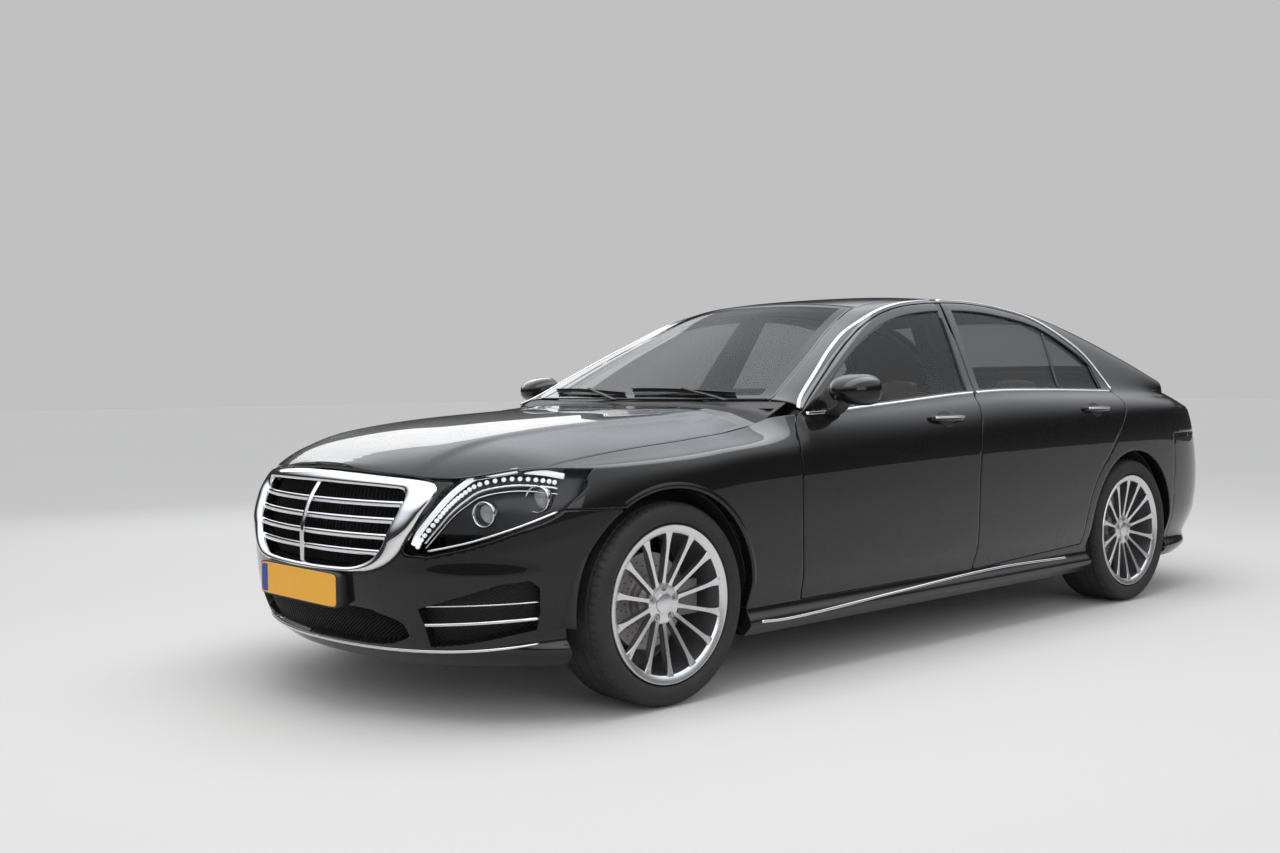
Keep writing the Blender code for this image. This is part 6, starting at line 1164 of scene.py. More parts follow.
# Dark moulded plastic with a fine spark-eroded grain.
plastic = Finish("black_plastic", Base_Color=(0.018, 0.018, 0.019, 1.0), Roughness=0.5)
plastic.bump(plastic.noise(1400.0, 2.0), 0.0003, 0.5)
plastic.feed("Roughness", 0.42 + 0.20 * plastic.noise(40.0))


def strip(path, out, width, rise, foot=0.0015):
    """A strip along a path: an arch of the given width that stands out by rise * sin(t)^0.7, on a low foot."""
    across = unit(np.cross(out, unit(np.gradient(path, axis=0))))
    width = np.broadcast_to(width, (len(path),))[:, None]
    arch = [path + across * -0.5 * math.cos(t) * width + out * (math.sin(t) ** 0.7 * rise)
            for t in np.linspace(0.0, math.pi, 9)]
    return ring_shape(np.stack(arch + [path + across * (0.5 * width) - out * foot,
                                       path - across * (0.5 * width) - out * foot], axis=1))


lip_angles = np.radians(np.linspace(0.0, 62.0, 60))
lip_share = lip_angles / lip_angles[-1]
lip_path = end_skin(lip_angles, 0.95 + 0.75 * lip_share ** 3)
lip_out = unit(outward(lip_angles) + (0.0, 0.0, -0.25))
lip_strip = strip(lip_path, lip_out, 0.012 - 0.006 * lip_share ** 4, 0.005)


def lattice(outline, view_x, slope=0.62, pitch=0.017, bar=0.0022, deep=0.008):
    """A diagonal mesh that fills an outline in front view: two families of thin bars, each a box strip."""
    shapes = []
    low, high = outline.min(axis=0), outline.max(axis=0)
    run = (high[1] - low[1]) / slope
    for sign in (1.0, -1.0):
        for start in np.arange(low[0] - run - pitch, high[0] + run, pitch):
            heights = np.linspace(low[1], high[1], 15)
            ys = start + (heights - low[1] if sign > 0 else high[1] - heights) / slope
            runs = np.flatnonzero(inside(np.stack([ys, heights], axis=-1), outline))
            if len(runs) > 1:
                ys, heights = ys[runs[0]:runs[-1] + 1], heights[runs[0]:runs[-1] + 1]
                xs = view_x(ys, heights)
                shapes.append(ring_shape(np.stack(
                    [np.stack([xs + a, ys + b * bar, heights], axis=-1)
                     for a, b in ((0.0, -0.5), (0.0, 0.5), (-deep, 0.5), (-deep, -0.5))], axis=1)))
    return joined(*shapes)


def recessed(distance):
    """The nose's skin set back by a distance."""
    return lambda y, z: nose_x(y, z) - distance


def back_plate(outline, view_x):
    """A dark sheet that closes an opening from behind, over the outline's own box."""
    low, high = outline.min(axis=0), outline.max(axis=0)
    y, z = np.meshgrid(np.linspace(low[0], high[0], 40), np.linspace(low[1], high[1], 12), indexing="ij")
    return grid_shape(np.stack([view_x(y, z), y, z], axis=-1), (1.0, 0.0, 0.0))


centre_mesh = lattice(widened(centre_intake, 0.006), recessed(0.030))
centre_back = back_plate(widened(centre_intake, 0.004), recessed(0.055))
piece_on("body", "centre_intake_mesh", joined(centre_mesh, centre_back), plastic, smooth=False)

# Side intakes: a recessed pocket with dark mesh and two bright blades, seen square on to the corner.
table_angle, table_level = np.meshgrid(np.radians(np.linspace(0.0, 84.0, 120)), np.linspace(0.0, NOSE_TOP_LEVEL, 60),
                                       indexing="ij")
table_seen = (end_skin(table_angle, table_level) @ CORNER_VIEW.T).reshape(-1, 2)


def corner_point(across, z, back):
    """The nose's skin at places in the corner view, by Newton steps from a table, set back along the view."""
    target = np.stack(np.broadcast_arrays(across, z), axis=-1)
    flat = target.reshape(-1, 2)
    start = ((flat[:, None] - table_seen) ** 2).sum(axis=2).argmin(axis=1)
    angle, level = table_angle.ravel()[start], table_level.ravel()[start]
    for _ in range(5):
        here = end_skin(angle, level) @ CORNER_VIEW.T
        by_angle = (end_skin(angle + 1e-4, level) @ CORNER_VIEW.T - here) / 1e-4
        by_level = (end_skin(angle, level + 1e-3) @ CORNER_VIEW.T - here) / 1e-3
        move_angle, move_level = solved(by_angle, by_level, flat - here)
        angle = np.clip(angle + np.clip(move_angle, -0.05, 0.05), 0.0, 1.50)
        level = np.clip(level + np.clip(move_level, -0.3, 0.3), 0.0, 7.0)
    at = end_skin(angle, level).reshape(target.shape[:-1] + (3,))
    return at - back * np.array((math.sqrt(0.5), math.sqrt(0.5), 0.0))


def corner_line(view, back):
    """A line over the nose's skin from its points in the corner view."""
    return corner_point(view[:, 0], view[:, 1], back)


pocket_low, pocket_high = widened(side_intake, 0.012).min(axis=0), widened(side_intake, 0.012).max(axis=0)
pocket_grid = np.meshgrid(np.linspace(pocket_low[0], pocket_high[0], 26),
                          np.linspace(pocket_low[1], pocket_high[1], 12), indexing="ij")
intake_shapes = [grid_shape(corner_point(*pocket_grid, 0.060), (1.0, 1.0, 0.0))]
low_corner, high_corner = side_intake.min(axis=0), side_intake.max(axis=0)
heights = np.linspace(low_corner[1], high_corner[1], 12)
shift = (heights - low_corner[1]) * 1.5
for lean in (shift, shift[-1] - shift):
    for start in np.arange(low_corner[0] - 0.40, high_corner[0] + 0.05, 0.021):
        line = np.stack([start + lean, heights], axis=-1)
        held = np.flatnonzero(inside(line, widened(side_intake, 0.008)))
        if len(held) > 1:
            intake_shapes.append(tube(corner_line(line[held[0]:held[-1] + 1], 0.045), 0.0016, 4))
pair("side_intake_mesh", joined(*intake_shapes), plastic, ("body", "body"), smooth=False)
blades = []
for z_start, z_end, height in ((0.328, 0.352, 0.014), (0.392, 0.408, 0.007)):
    line = np.linspace((low_corner[0] + 0.004, z_start), (high_corner[0] - 0.006, z_end), 26)
    blades.append(tube(corner_line(line, 0.012), (0.009, 0.5 * height)))
pair("side_intake_blades", joined(*blades), chrome, ("body", "body"))
pair("lip_strip", lip_strip, chrome, ("body", "body"))


# Grille: a broad chrome surround that rolls into the opening, four chrome louvres, a centre bar and a row
# of dark upright fins over the radiator.
def evened(outline, count=260):
    """A closed outline by points at equal steps along it."""
    line = np.concatenate([outline, outline[:1]])
    way = np.concatenate([[0.0], np.cumsum(np.linalg.norm(np.diff(line, axis=0), axis=1))])
    at = np.linspace(0.0, 1.0, count, endpoint=False)
    return np.stack([np.interp(at, way / way[-1], line[:, k]) for k in (0, 1)], axis=1)


SURROUND_PROFILE = ((0.0, -0.020), (0.0, 0.001), (0.03, 0.0060), (0.10, 0.0100), (0.25, 0.0135), (0.45, 0.0140),
                    (0.65, 0.0115), (0.82, 0.0060), (0.93, -0.0010), (1.0, -0.0120), (1.0, -0.045))
LOUVRE_PROFILE = ((0.0, -0.0105), (0.0045, -0.0085), (0.0062, -0.003), (0.0062, 0.004), (0.0040, 0.0090),
                  (-0.001, 0.0110), (-0.030, 0.0070), (-0.034, 0.0), (-0.030, -0.0080))
LOUVRES, OPENING_LOW_Z, OPENING_HIGH_Z = 4, 0.336 * HEIGHT, 0.512 * HEIGHT
outer_ring, inner_ring = evened(grille_edge), evened(opening_edge)
surround = []
for share, rise in SURROUND_PROFILE:
    line = outer_ring + share * (inner_ring - outer_ring)
    surround.append(across_at(line, nose_x(line[:, 0], line[:, 1]) + rise, 0.0, 0.0))
grille_shapes = [ring_shape(np.array(surround), caps=False)]
for index in range(LOUVRES):
    z = np.full(61, OPENING_LOW_Z + (OPENING_HIGH_Z - OPENING_LOW_Z) * (index + 1.0) / (LOUVRES + 1.0))
    at_z = opening_edge[np.abs(opening_edge[:, 1] - z[0]) < 0.012]
    half = float(np.abs(at_z[:, 0]).max()) + 0.004
    y = np.linspace(-half, half, 61)
    x = nose_x(y, z) - 0.016
    grille_shapes.append(ring_shape(np.stack([np.stack([x + a, y, z + b], axis=-1) for a, b in LOUVRE_PROFILE],
                                             axis=1)))
bar_z = np.linspace(OPENING_LOW_Z - 0.006, OPENING_HIGH_Z + 0.006, 30)
grille_shapes.append(tube(np.stack([nose_x(0.0, bar_z) - 0.008, np.zeros(30), bar_z], axis=1), (0.0065, 0.012), 12,
                          spare=(0.0, 1.0, 0.0)))
piece_on("body", "grille_chrome", joined(*grille_shapes), chrome, "grille")
fins = []
fin_z = np.linspace(OPENING_LOW_Z, OPENING_HIGH_Z, 30)
for y in np.linspace(-0.44, 0.44, 45):
    held = fin_z[inside(np.stack([np.full(30, y), fin_z], axis=1), opening_edge)]
    if len(held) > 1:
        z = np.array([held.min() - 0.004, held.max() + 0.004])
        x = nose_x(np.full(2, y), z) - 0.060
        fins.append(ring_shape(np.stack(
            [np.stack([x + a, np.full(2, y) + b, z], axis=-1)
             for a, b in ((0.012, -0.0012), (0.012, 0.0012), (-0.02, 0.0012), (-0.02, -0.0012))], axis=1)))
fins.append(back_plate(widened(opening_edge, 0.010), recessed(0.085)))
piece_on("body", "grille_fins", joined(*fins), plastic, smooth=False)

# Headlamps: a clear moulded cover over a dark bucket with two lens units, chrome bezels and a light guide
# that follows the top edge.
lamp_glass = Finish("lamp_cover", Base_Color=(0.040, 0.045, 0.050, 1.0), Roughness=0.02, Specular_IOR_Level=0.6)
lamp_edge = lamp_glass.add("ShaderNodeLayerWeight", None, {"Blend": 0.30}, output="Facing")
lamp_glass.feed("Alpha", (0.06 + 0.50 * lamp_edge).limited())
lamp_glass.material.surface_render_method = "DITHERED"
lamp_angles = np.radians(np.linspace(24.0, 78.5, 130))
cover = cut_panel(lambda angle, level: end_skin(angle, level) - 0.0015 * outward(angle), lamp_angles,
                  np.linspace(4.5, 6.99, 60),
                  [(CORNER_VIEW, widened(lamp_outline, -0.003), True),
                   (FRONT_VIEW, widened(grille_edge, 0.004), False)], (1.0, 1.0, 0.0), hem=0.003, depth=0.004)
pair("headlamp", cover, lamp_glass, ("body", "body"), "headlamp_{}")

lamp_dark = Finish("lamp_bucket", Base_Color=(0.05, 0.05, 0.055, 1.0), Roughness=0.30, Metallic=0.6)
lamp_dark.feed("Roughness", 0.22 + 0.20 * lamp_dark.noise(50.0))
bucket = cut_panel(lambda angle, level: end_skin(angle, level) - 0.055 * outward(angle),
                   lamp_angles, np.linspace(4.5, 6.99, 40), [(CORNER_VIEW, widened(lamp_outline, 0.002), True)],
                   (1.0, 1.0, 0.0), hem=0.0)
wall_line = widened(lamp_outline, 0.001)
bucket_wall = ring_shape(np.stack([corner_line(wall_line, 0.070), corner_line(wall_line, 0.004)]), caps=False)
pair("lamp_bucket", joined(bucket, bucket_wall), lamp_dark, ("body", "body"))

CUP_PROFILE = ((1.22, -0.020), (1.25, 0.010), (1.18, 0.014), (1.12, 0.008), (1.04, 0.000), (1.02, -0.020),
               (0.98, -0.022))
UP = np.array((0.0, 0.0, 1.0))


def lens_unit(across, z, radius, back):
    """A lens unit facing along the car: a stepped chrome cup of turned rings and a domed glass in it."""
    centre = corner_point(np.array([across]), np.array([z]), back)[0]
    face, side = np.array((0.94, 0.34, 0.0)), np.array((-0.34, 0.94, 0.0))
    around = circle(40) @ np.stack([side, UP]) * radius
    cup = [centre + around * r + face * d for r, d in CUP_PROFILE]
    dome = [centre + around * 0.98 * math.cos(t) + face * (-0.020 + 0.55 * radius * math.sin(t))
            for t in np.linspace(0.0, 0.5 * math.pi, 10)[:-1]]
    return ring_shape(np.stack(cup), caps=False), ring_shape(np.stack(dome))


units = [lens_unit(*place) for place in ((-0.985, 0.735, 0.036, 0.045), (-1.155, 0.690, 0.034, 0.042))]
pair("lamp_bezels", joined(*[unit_shapes[0] for unit_shapes in units]), chrome, ("body", "body"))
lens_glass = Finish("lamp_lens", Base_Color=(0.30, 0.33, 0.38, 1.0), Roughness=0.03, Specular_IOR_Level=0.9,
                    Coat_Weight=1.0)
lens_glass.feed("Base Color", lens_glass.blend(lens_glass.noise(30.0), (0.20, 0.23, 0.28, 1.0),
                                               (0.42, 0.45, 0.50, 1.0)))
pair("lamp_lenses", joined(*[unit_shapes[1] for unit_shapes in units]), lens_glass, ("body", "body"))

# The light guide and its row of small cells along the top edge, then bright ribs round the units.
guide_white = Finish("light_guide", Base_Color=(0.86, 0.88, 0.90, 1.0), Roughness=0.25, Emission_Strength=0.35)
guide_white.feed("Emission Color", guide_white.blend(guide_white.noise(20.0), (0.8, 0.85, 0.9, 1.0),
                                                     (1.0, 1.0, 1.0, 1.0)))
guide_view = flowing(np.array(((-0.345, 0.536), (-0.372, 0.545), (-0.410, 0.549), (-0.450, 0.538), (-0.472, 0.515),
                               (-0.487, 0.492), (-0.502, 0.462), (-0.522, 0.420), (-0.530, 0.392))) * ALONG, 12)
guide_shapes = [tube(corner_line(guide_view, 0.018), (0.008, 0.010))]
corner_side, corner_out = np.array((-0.7071, 0.7071, 0.0)), np.array((0.7071, 0.7071, 0.0))
for k in range(6, len(guide_view) - 4, 3):
    at = corner_line(guide_view[k:k + 1] + (0.004, -0.026), 0.024)[0]
    around = circle(8) @ np.stack([corner_side, UP])
    guide_shapes.append(ring_shape(np.stack([at + around * r + corner_out * d
                                             for r, d in ((0.0075, -0.012), (0.0078, 0.0), (0.0050, 0.003))])))
pair("light_guide", joined(*guide_shapes), guide_white, ("body", "body"))
ribs = [tube(corner_line(guide_view[6:-14] + (0.014, -offset), back), (0.014, size), 8)
        for offset, back, size in ((0.046, 0.030, 0.0042), (0.064, 0.036, 0.0030))]
low_view = flowing(np.array(((-0.352, 0.462), (-0.398, 0.432), (-0.454, 0.402), (-0.510, 0.380))) * ALONG, 10)
ribs.append(tube(corner_line(low_view, 0.016), (0.010, 0.005), 8))
pair("lamp_ribs", joined(*ribs), chrome, ("body", "body"))

# Rear bumper: a moulded skin in body colour over a dark ribbed panel, with two bright tail-pipe trims.
TAIL_END_X = -1.2 * HALF_LENGTH
tail_seam_low_z = TAIL_SEAM_Z - SHUT_GAP - HEM_ROOM
above_tail = np.array([(0.0, tail_seam_low_z), (TAIL_END_X, tail_seam_low_z), (TAIL_END_X, HEIGHT), (0.0, HEIGHT)])
ahead_of_tail = np.array([(BUMPER_FRONT_X - HEM_ROOM, -0.1), (0.0, -0.1), (0.0, HEIGHT),
                          (BUMPER_FRONT_X - HEM_ROOM, HEIGHT)])
diffuser_high = flowing(np.array(((0.0, 0.232), (0.30, 0.232), (0.50, 0.236), (0.66, 0.238), (0.735, 0.228)))
                        * ACROSS)
diffuser_low = flowing(np.array(((0.745, 0.215), (0.735, 0.180), (0.70, 0.150), (0.62, 0.128), (0.0, 0.128)))
                       * ACROSS)
tail_half = cut_panel(lambda angle, level: end_skin(angle, level, front=False),
                      np.radians(np.linspace(0.0, 84.3, 180)), np.linspace(0.0, 6.3, 90),
                      [(SIDE_VIEW, above_tail, False), (SIDE_VIEW, ahead_of_tail, False),
                       (FRONT_VIEW, mirrored_outline(np.concatenate([diffuser_high, diffuser_low])), False),
                       (SIDE_VIEW, wheel_circle(REAR_AXLE_X, ARCH_RADIUS + HEM_ROOM), False)],
                      (-1.0, 0.3, 0.0), depth=0.030, centred=True)
welded(piece_on("body", "rear_bumper_skin", joined(tail_half, mirrored(*tail_half)), paint,
                "rear_bumper"))

DIFFUSER_LOW_Z, DIFFUSER_HIGH_Z = 0.124 * HEIGHT, 0.242 * HEIGHT
dy, dz = np.meshgrid(np.linspace(-0.735, 0.735, 90) * HALF_WIDTH, np.linspace(DIFFUSER_LOW_Z, DIFFUSER_HIGH_Z, 14),
                     indexing="ij")
ridge = 0.010 * np.clip(np.cos(dy / 0.105 * math.pi), -0.2, 1.0) * (np.abs(dy) < 0.36)
lean = 0.05 * (DIFFUSER_HIGH_Z - dz) / (DIFFUSER_HIGH_Z - DIFFUSER_LOW_Z)
diffuser = grid_shape(np.stack([tail_x(dy, dz) + 0.022 - ridge + lean, dy, dz], axis=-1), (-1.0, 0.0, 0.0))
thick(piece_on("body", "rear_diffuser", diffuser, plastic), 0.003)

PIPE_Y, PIPE_Z = 0.545 * HALF_WIDTH, 0.186 * HEIGHT
pipe_x = float(tail_x(np.array(PIPE_Y), np.array(PIPE_Z))) + 0.006
pipe_rings = [across_at(rounded_ring(0.092 * size, 0.034 * size), pipe_x + x, PIPE_Y, PIPE_Z)
              for size, x in ((0.93, 0.10), (0.95, 0.0), (1.0, -0.004), (1.03, 0.002), (1.03, 0.06))]
pair("tail_pipe_trim", ring_shape(np.array(pipe_rings), caps=False), chrome, ("body", "body"))

# Tail lamps: red moulded covers that wrap round the corners, with their light bars as darker bands.
red_glass = Finish("red_lamp", Base_Color=(0.24, 0.004, 0.005, 1.0), Roughness=0.05, Coat_Weight=0.5,
                   Coat_Roughness=0.02, Emission_Strength=0.02, Specular_IOR_Level=0.3)
bars_wave = red_glass.add("ShaderNodeTexWave", {"bands_direction": "Z"},
                          {"Vector": red_glass.place(), "Scale": 14.0, "Distortion": 0.0}, output="Fac")
red_glass.feed("Base Color", red_glass.blend(bars_wave, (0.13, 0.002, 0.003, 1.0), (0.32, 0.004, 0.006, 1.0)))
red_glass.feed("Emission Color", red_glass.blend(bars_wave, (0.2, 0.0, 0.0, 1.0), (1.0, 0.02, 0.02, 1.0)))
lamp_side = np.array([(BOOT_HALF + SHUT_GAP, -0.1), (1.2, -0.1), (1.2, 2.0), (BOOT_HALF + SHUT_GAP, 2.0)])
tail_cover = cut_panel(lambda angle, level: end_skin(angle, level, front=False),
                       np.radians(np.linspace(36.0, 74.0, 90)), np.linspace(5.6, 6.99, 50),
                       [(SIDE_VIEW, widened(tail_lamp_outline, -0.003), True), (FRONT_VIEW, lamp_side, True)],
                       (-1.0, 1.0, 0.0), hem=0.003, depth=0.020)
pair("tail_lamp", tail_cover, red_glass, ("body", "body"), "tail_lamp_{}")

# Wheels: cast alloy rims with fourteen spokes, turned bright on their faces and painted grey between, five
# bolts and a plain cap, a drilled brake disc on each hub, and tyres with grooved tread.
SPOKES, TURN_STEPS, LUGS, LUG_CIRCLE = 14, 112, 5, 0.056
bright = Finish("machined_alloy", Base_Color=(0.70, 0.70, 0.71, 1.0), Roughness=0.28, Metallic=0.9)
rings_of_tool = bright.add("ShaderNodeTexWave", {"wave_type": "RINGS", "rings_direction": "Y"},
                           {"Vector": bright.place(), "Scale": 160.0, "Distortion": 0.4}, output="Fac")
bright.feed("Roughness", 0.20 + 0.10 * rings_of_tool + 0.06 * bright.noise(30.0))
grey_alloy = Finish("painted_alloy", Base_Color=(0.20, 0.20, 0.21, 1.0), Roughness=0.38, Metallic=0.75)
grey_alloy.feed("Base Color", grey_alloy.blend(grey_alloy.noise(18.0), (0.17, 0.17, 0.18, 1.0),
                                               (0.24, 0.24, 0.25, 1.0)))
rubber = Finish("tyre_rubber", Base_Color=(0.020, 0.020, 0.020, 1.0), Roughness=0.72, Specular_IOR_Level=0.35)
rubber.feed("Base Color", rubber.blend(rubber.noise(12.0), (0.014, 0.014, 0.014, 1.0), (0.034, 0.032, 0.030, 1.0)))
rubber.feed("Roughness", 0.60 + 0.25 * rubber.noise(40.0))
brake_steel = Finish("brake_steel", Base_Color=(0.38, 0.36, 0.34, 1.0), Roughness=0.42, Metallic=0.9)
brake_steel.feed("Base Color", brake_steel.blend(brake_steel.noise(60.0), (0.30, 0.27, 0.25, 1.0),
                                                 (0.45, 0.43, 0.41, 1.0)))


def lathe(profile, steps=TURN_STEPS):
    """A profile of (radius, y) turned about the axle: x = r cos(t), z = r sin(t)."""
    radius, y = np.asarray(profile, float).T
    c, s = circle(steps).T
    rings = np.stack([radius * c[:, None], np.broadcast_to(y, (steps, len(y))), radius * s[:, None]], axis=-1)
    return ring_shape(rings, closed=True)


lip_profile = ((0.2730, 0.1040), (0.2735, 0.1110), (0.2715, 0.1138), (0.2670, 0.1135), (0.2560, 0.1085),
               (0.2490, 0.1060), (0.2440, 0.1010), (0.2420, 0.0800), (0.2400, 0.0300), (0.2300, -0.0200),
               (0.2330, -0.0700), (0.2450, -0.0950), (0.2560, -0.1020), (0.2690, -0.1050), (0.2730, -0.1040),
               (0.2730, -0.0960), (0.2570, -0.0900), (0.2470, -0.0300), (0.2470, 0.0300), (0.2560, 0.0980))
hub_profile = ((0.0002, 0.0800), (0.0330, 0.0800), (0.0360, 0.0785), (0.0375, 0.0740), (0.0420, 0.0735),
               (0.0640, 0.0745), (0.0700, 0.0725), (0.0730, 0.0660), (0.0730, 0.0300), (0.0600, 0.0000),
               (0.0236, -0.0300), (0.0236, 0.0600), (0.0002, 0.0600))
disc_profile = ((0.170, -0.0320), (0.1705, -0.0120), (0.1690, -0.0100), (0.0920, -0.0100), (0.0900, -0.0080),
                (0.0880, 0.0100), (0.0640, 0.0110), (0.0600, -0.0080), (0.0600, -0.0340), (0.168, -0.0340))
spoke_section = ((-1.0, 0.0012), (-0.90, 0.0), (0.90, 0.0), (1.0, 0.0012), (1.05, 0.004), (0.62, 1.0), (-0.62, 1.0),
                 (-1.05, 0.004))


def spoke_shape(angle):
    """One spoke: cross sections along the radius, bright face in front, its sides narrowing backwards."""
    r = np.linspace(0.060, 0.2520, 26)
    share = (r - r[0]) / (r[-1] - r[0])
    flare = np.clip((r - 0.185) / 0.067, 0.0, 1.0)
    root = np.clip((0.105 - r) / 0.045, 0.0, 1.0)
    half = 0.5 * (0.0125 + 0.004 * share + 0.019 * flare ** 2.2 + 0.006 * root ** 1.5)
    face = 0.0735 + 0.0330 * share ** 1.25 + 0.0030 * np.sin(math.pi * share)
    deep = 0.030 - 0.012 * flare
    out = np.array((math.cos(angle), 0.0, math.sin(angle)))
    side = np.array((-math.sin(angle), 0.0, math.cos(angle)))
    rings = []
    for a, b in spoke_section:
        y = face - (b if b < 0.5 else deep)
        rings.append(out * r[:, None] + side * (a * half)[:, None] + np.array((0.0, 1.0, 0.0)) * y[:, None])
    return ring_shape(np.stack(rings, axis=1))


def turned_rings(count, radius, angle, sides, profile):
    """Small turned shapes at equal steps round the axle, each from pairs of (size, y)."""
    c, s = circle(sides).T
    flat = np.stack([c, 0.0 * c, s], axis=1)
    shapes = []
    for turn in angle + np.arange(count) * 2.0 * math.pi / count:
        centre = np.array((radius * math.cos(turn), 0.0, radius * math.sin(turn)))
        shapes.append(ring_shape(np.stack([centre + flat * size + (0.0, y, 0.0) for size, y in profile])))
    return shapes


spokes = [spoke_shape(2.0 * math.pi * k / SPOKES + 0.5 * math.pi) for k in range(SPOKES)]
lip, spoke_ring, hub = lathe(lip_profile), joined(*spokes), lathe(hub_profile, 56)
bolts = turned_rings(LUGS, LUG_CIRCLE, 0.5 * math.pi, 6, ((0.0088, 0.0700), (0.0088, 0.0790), (0.0072, 0.0815)))
recesses = turned_rings(LUGS, LUG_CIRCLE, 0.5 * math.pi, 20,
                        ((0.0135, 0.0700), (0.0138, 0.0752), (0.0122, 0.0752), (0.0118, 0.0738)))
# The disc's drilled holes are flat black dots on its face: painted shade in the holes.
hole_shade_dots = []
for row, radius in enumerate((0.105, 0.125, 0.145)):
    hole_shade_dots += turned_rings(24, radius, row * math.pi / 36.0, 8, ((0.0034, -0.0098), (0.0034, -0.0094)))

# Tyres: black rubber with ribbed side walls; four grooves run round the tread and slanting sipes cross it.
TYRE_STEPS, SIPES, GROOVE_EDGES = 360, 72, (0.079, 0.0765, 0.031, 0.0265)
side_profile = flowing(((0.2575, 0.0975), (0.2745, 0.1010), (0.2830, 0.1150), (0.3000, 0.1235), (0.3180, 0.1240),
                        (0.3330, 0.1190), (0.3430, 0.1100), (0.3485, 0.0985), (0.3505, 0.0900)), 4)
tread_half = np.array((0.084, 0.0815, 0.079, 0.0765, 0.0715, 0.069, 0.055, 0.040, 0.0335, 0.031, 0.0265, 0.024,
                       0.012))
tread_y = np.concatenate([tread_half, [0.0], -tread_half[::-1]])
tread = np.stack([TYRE_RADIUS - 0.0016 * (tread_y / 0.090) ** 2, tread_y], axis=1)
tyre_profile = np.concatenate([side_profile, tread, side_profile[::-1] * (1.0, -1.0)])
t = np.arange(TYRE_STEPS) * 2.0 * math.pi / TYRE_STEPS
radius, across = (np.tile(column, (TYRE_STEPS, 1)) for column in tyre_profile.T)
groove = np.isin(np.round(np.abs(across), 4), np.round(GROOVE_EDGES, 4)) & (radius > 0.345)
slant = np.mod(t[:, None] * SIPES / (2.0 * math.pi) + np.abs(across) * 9.0, 1.0)
sipe = (slant < 0.2) & (np.abs(across) > 0.038) & (np.abs(across) < 0.112) & (radius > 0.338) & ~groove
radius = radius - 0.0065 * groove - 0.0035 * sipe
rib = (np.abs(radius - 0.300) < 0.0015) | (np.abs(radius - 0.2830) < 0.001)
tyre_rings = np.stack([radius * np.cos(t)[:, None], across + 0.0008 * np.sign(across) * rib,
                       radius * np.sin(t)[:, None]], axis=-1)
tyre_shape = ring_shape(tyre_rings, closed=True)

lip_count, spoke_count = len(lip[1]), len(spoke_ring[1])
grey_faces = np.concatenate([np.arange(lip_count) % len(lip_profile) >= 6,
                             np.arange(spoke_count) % len(spokes[0][1]) % len(spoke_section) >= 3,
                             np.zeros(len(hub[1]), bool)]).astype(int)
wheel_shapes = (("rim", joined(lip, spoke_ring, hub), [bright, grey_alloy], "alloy"),
                ("brake_disc", lathe(disc_profile, 72), brake_steel, "steel"),
                # The black dots on the disc are painted shade standing for its drilled holes.
                ("disc_hole_shade", joined(*hole_shade_dots), plastic, "steel"),
                ("wheel_bolts", joined(*bolts), brake_steel, "steel"),
                ("bolt_recesses", joined(*recesses), grey_alloy, "alloy"),
                ("tyre", tyre_shape, rubber, "rubber"))
for end, axle_x in (("front", FRONT_AXLE_X), ("rear", REAR_AXLE_X)):
    for tag in ("left", "right"):
        for stem, (points, faces), finishes, slot_name in wheel_shapes:
            placed = (points + (axle_x, WHEEL_Y, TYRE_RADIUS), faces)
            node = f"{stem}_{end}_{tag}" if stem in ("rim", "tyre") else None
            piece = piece_on(f"wheel_{end}_{tag}", f"{stem}_{end}_{tag}_look",
                             placed if tag == "left" else mirrored(*placed), finishes, node)
            if stem == "rim":
                piece.data.polygons.foreach_set("material_index", grey_faces)
            edge_step = piece.modifiers.new("crisp", "EDGE_SPLIT")
            edge_step.split_angle = math.radians(38.0)

# Bright and black trim on the sides: a chrome moulding round the door glass, a black bar at the quarter light
# and the bright strip along the sill, all clipped to the skin.
def belt_height(x):
    """Height of the belt line along the side."""
    return follow(belt_z_shares, x, HEIGHT, fair=0.03)


def skin_path(line, lift=0.0005):
    """Points and outward directions on the side's skin under a line in side view."""
    x, z = line.T
    slope = (side_y(x, z + 0.004) - side_y(x, z - 0.004)) / 0.008
    out = unit(np.stack([np.zeros_like(x), np.ones_like(x), -slope], axis=1))
    return np.stack([x, side_y(x, z), z], axis=1) + lift * out, out


def window_moulding(top, low_front, low_back):
    """The moulding over a door's glass and along the belt under it, in one strip each."""
    step = unit(np.gradient(top, axis=0))
    upper = top + 0.0125 * np.stack([step[:, 1], -step[:, 0]], axis=1)
    upper = upper[upper[:, 1] > belt_height(upper[:, 0]) + 0.004]
    belt_x = np.linspace(low_front, low_back, 70)
    belt = np.stack([belt_x, belt_height(belt_x) + 0.004], axis=1)
    return joined(*[strip(*skin_path(line), width, 0.0035) for line, width in ((upper, 0.015), (belt, 0.012))])


FRONT_DOORS, REAR_DOORS = ("front_door_left", "front_door_right"), ("rear_door_left", "rear_door_right")
pair("front_window_moulding", window_moulding(front_door_top[3:-1], 0.955, SPLIT_X + 0.010), chrome, FRONT_DOORS)
pair("rear_window_moulding", window_moulding(rear_door_top[1:], SPLIT_X - 0.012, -1.398), chrome, REAR_DOORS)
quarter_bar = np.linspace((-1.050, 1.330), (-0.936, 1.063), 24)
pair("quarter_light_bar", strip(*skin_path(quarter_bar, -0.006), 0.016, 0.004), plastic, REAR_DOORS)
sill_line = flowing(((1.265, 0.236), (1.061, 0.231), (0.447, 0.254), (-0.275, 0.276), (-0.880, 0.268)), 20)
pair("sill_strip", strip(*skin_path(sill_line, 0.0), 0.011, 0.004), chrome, ("body", "body"))
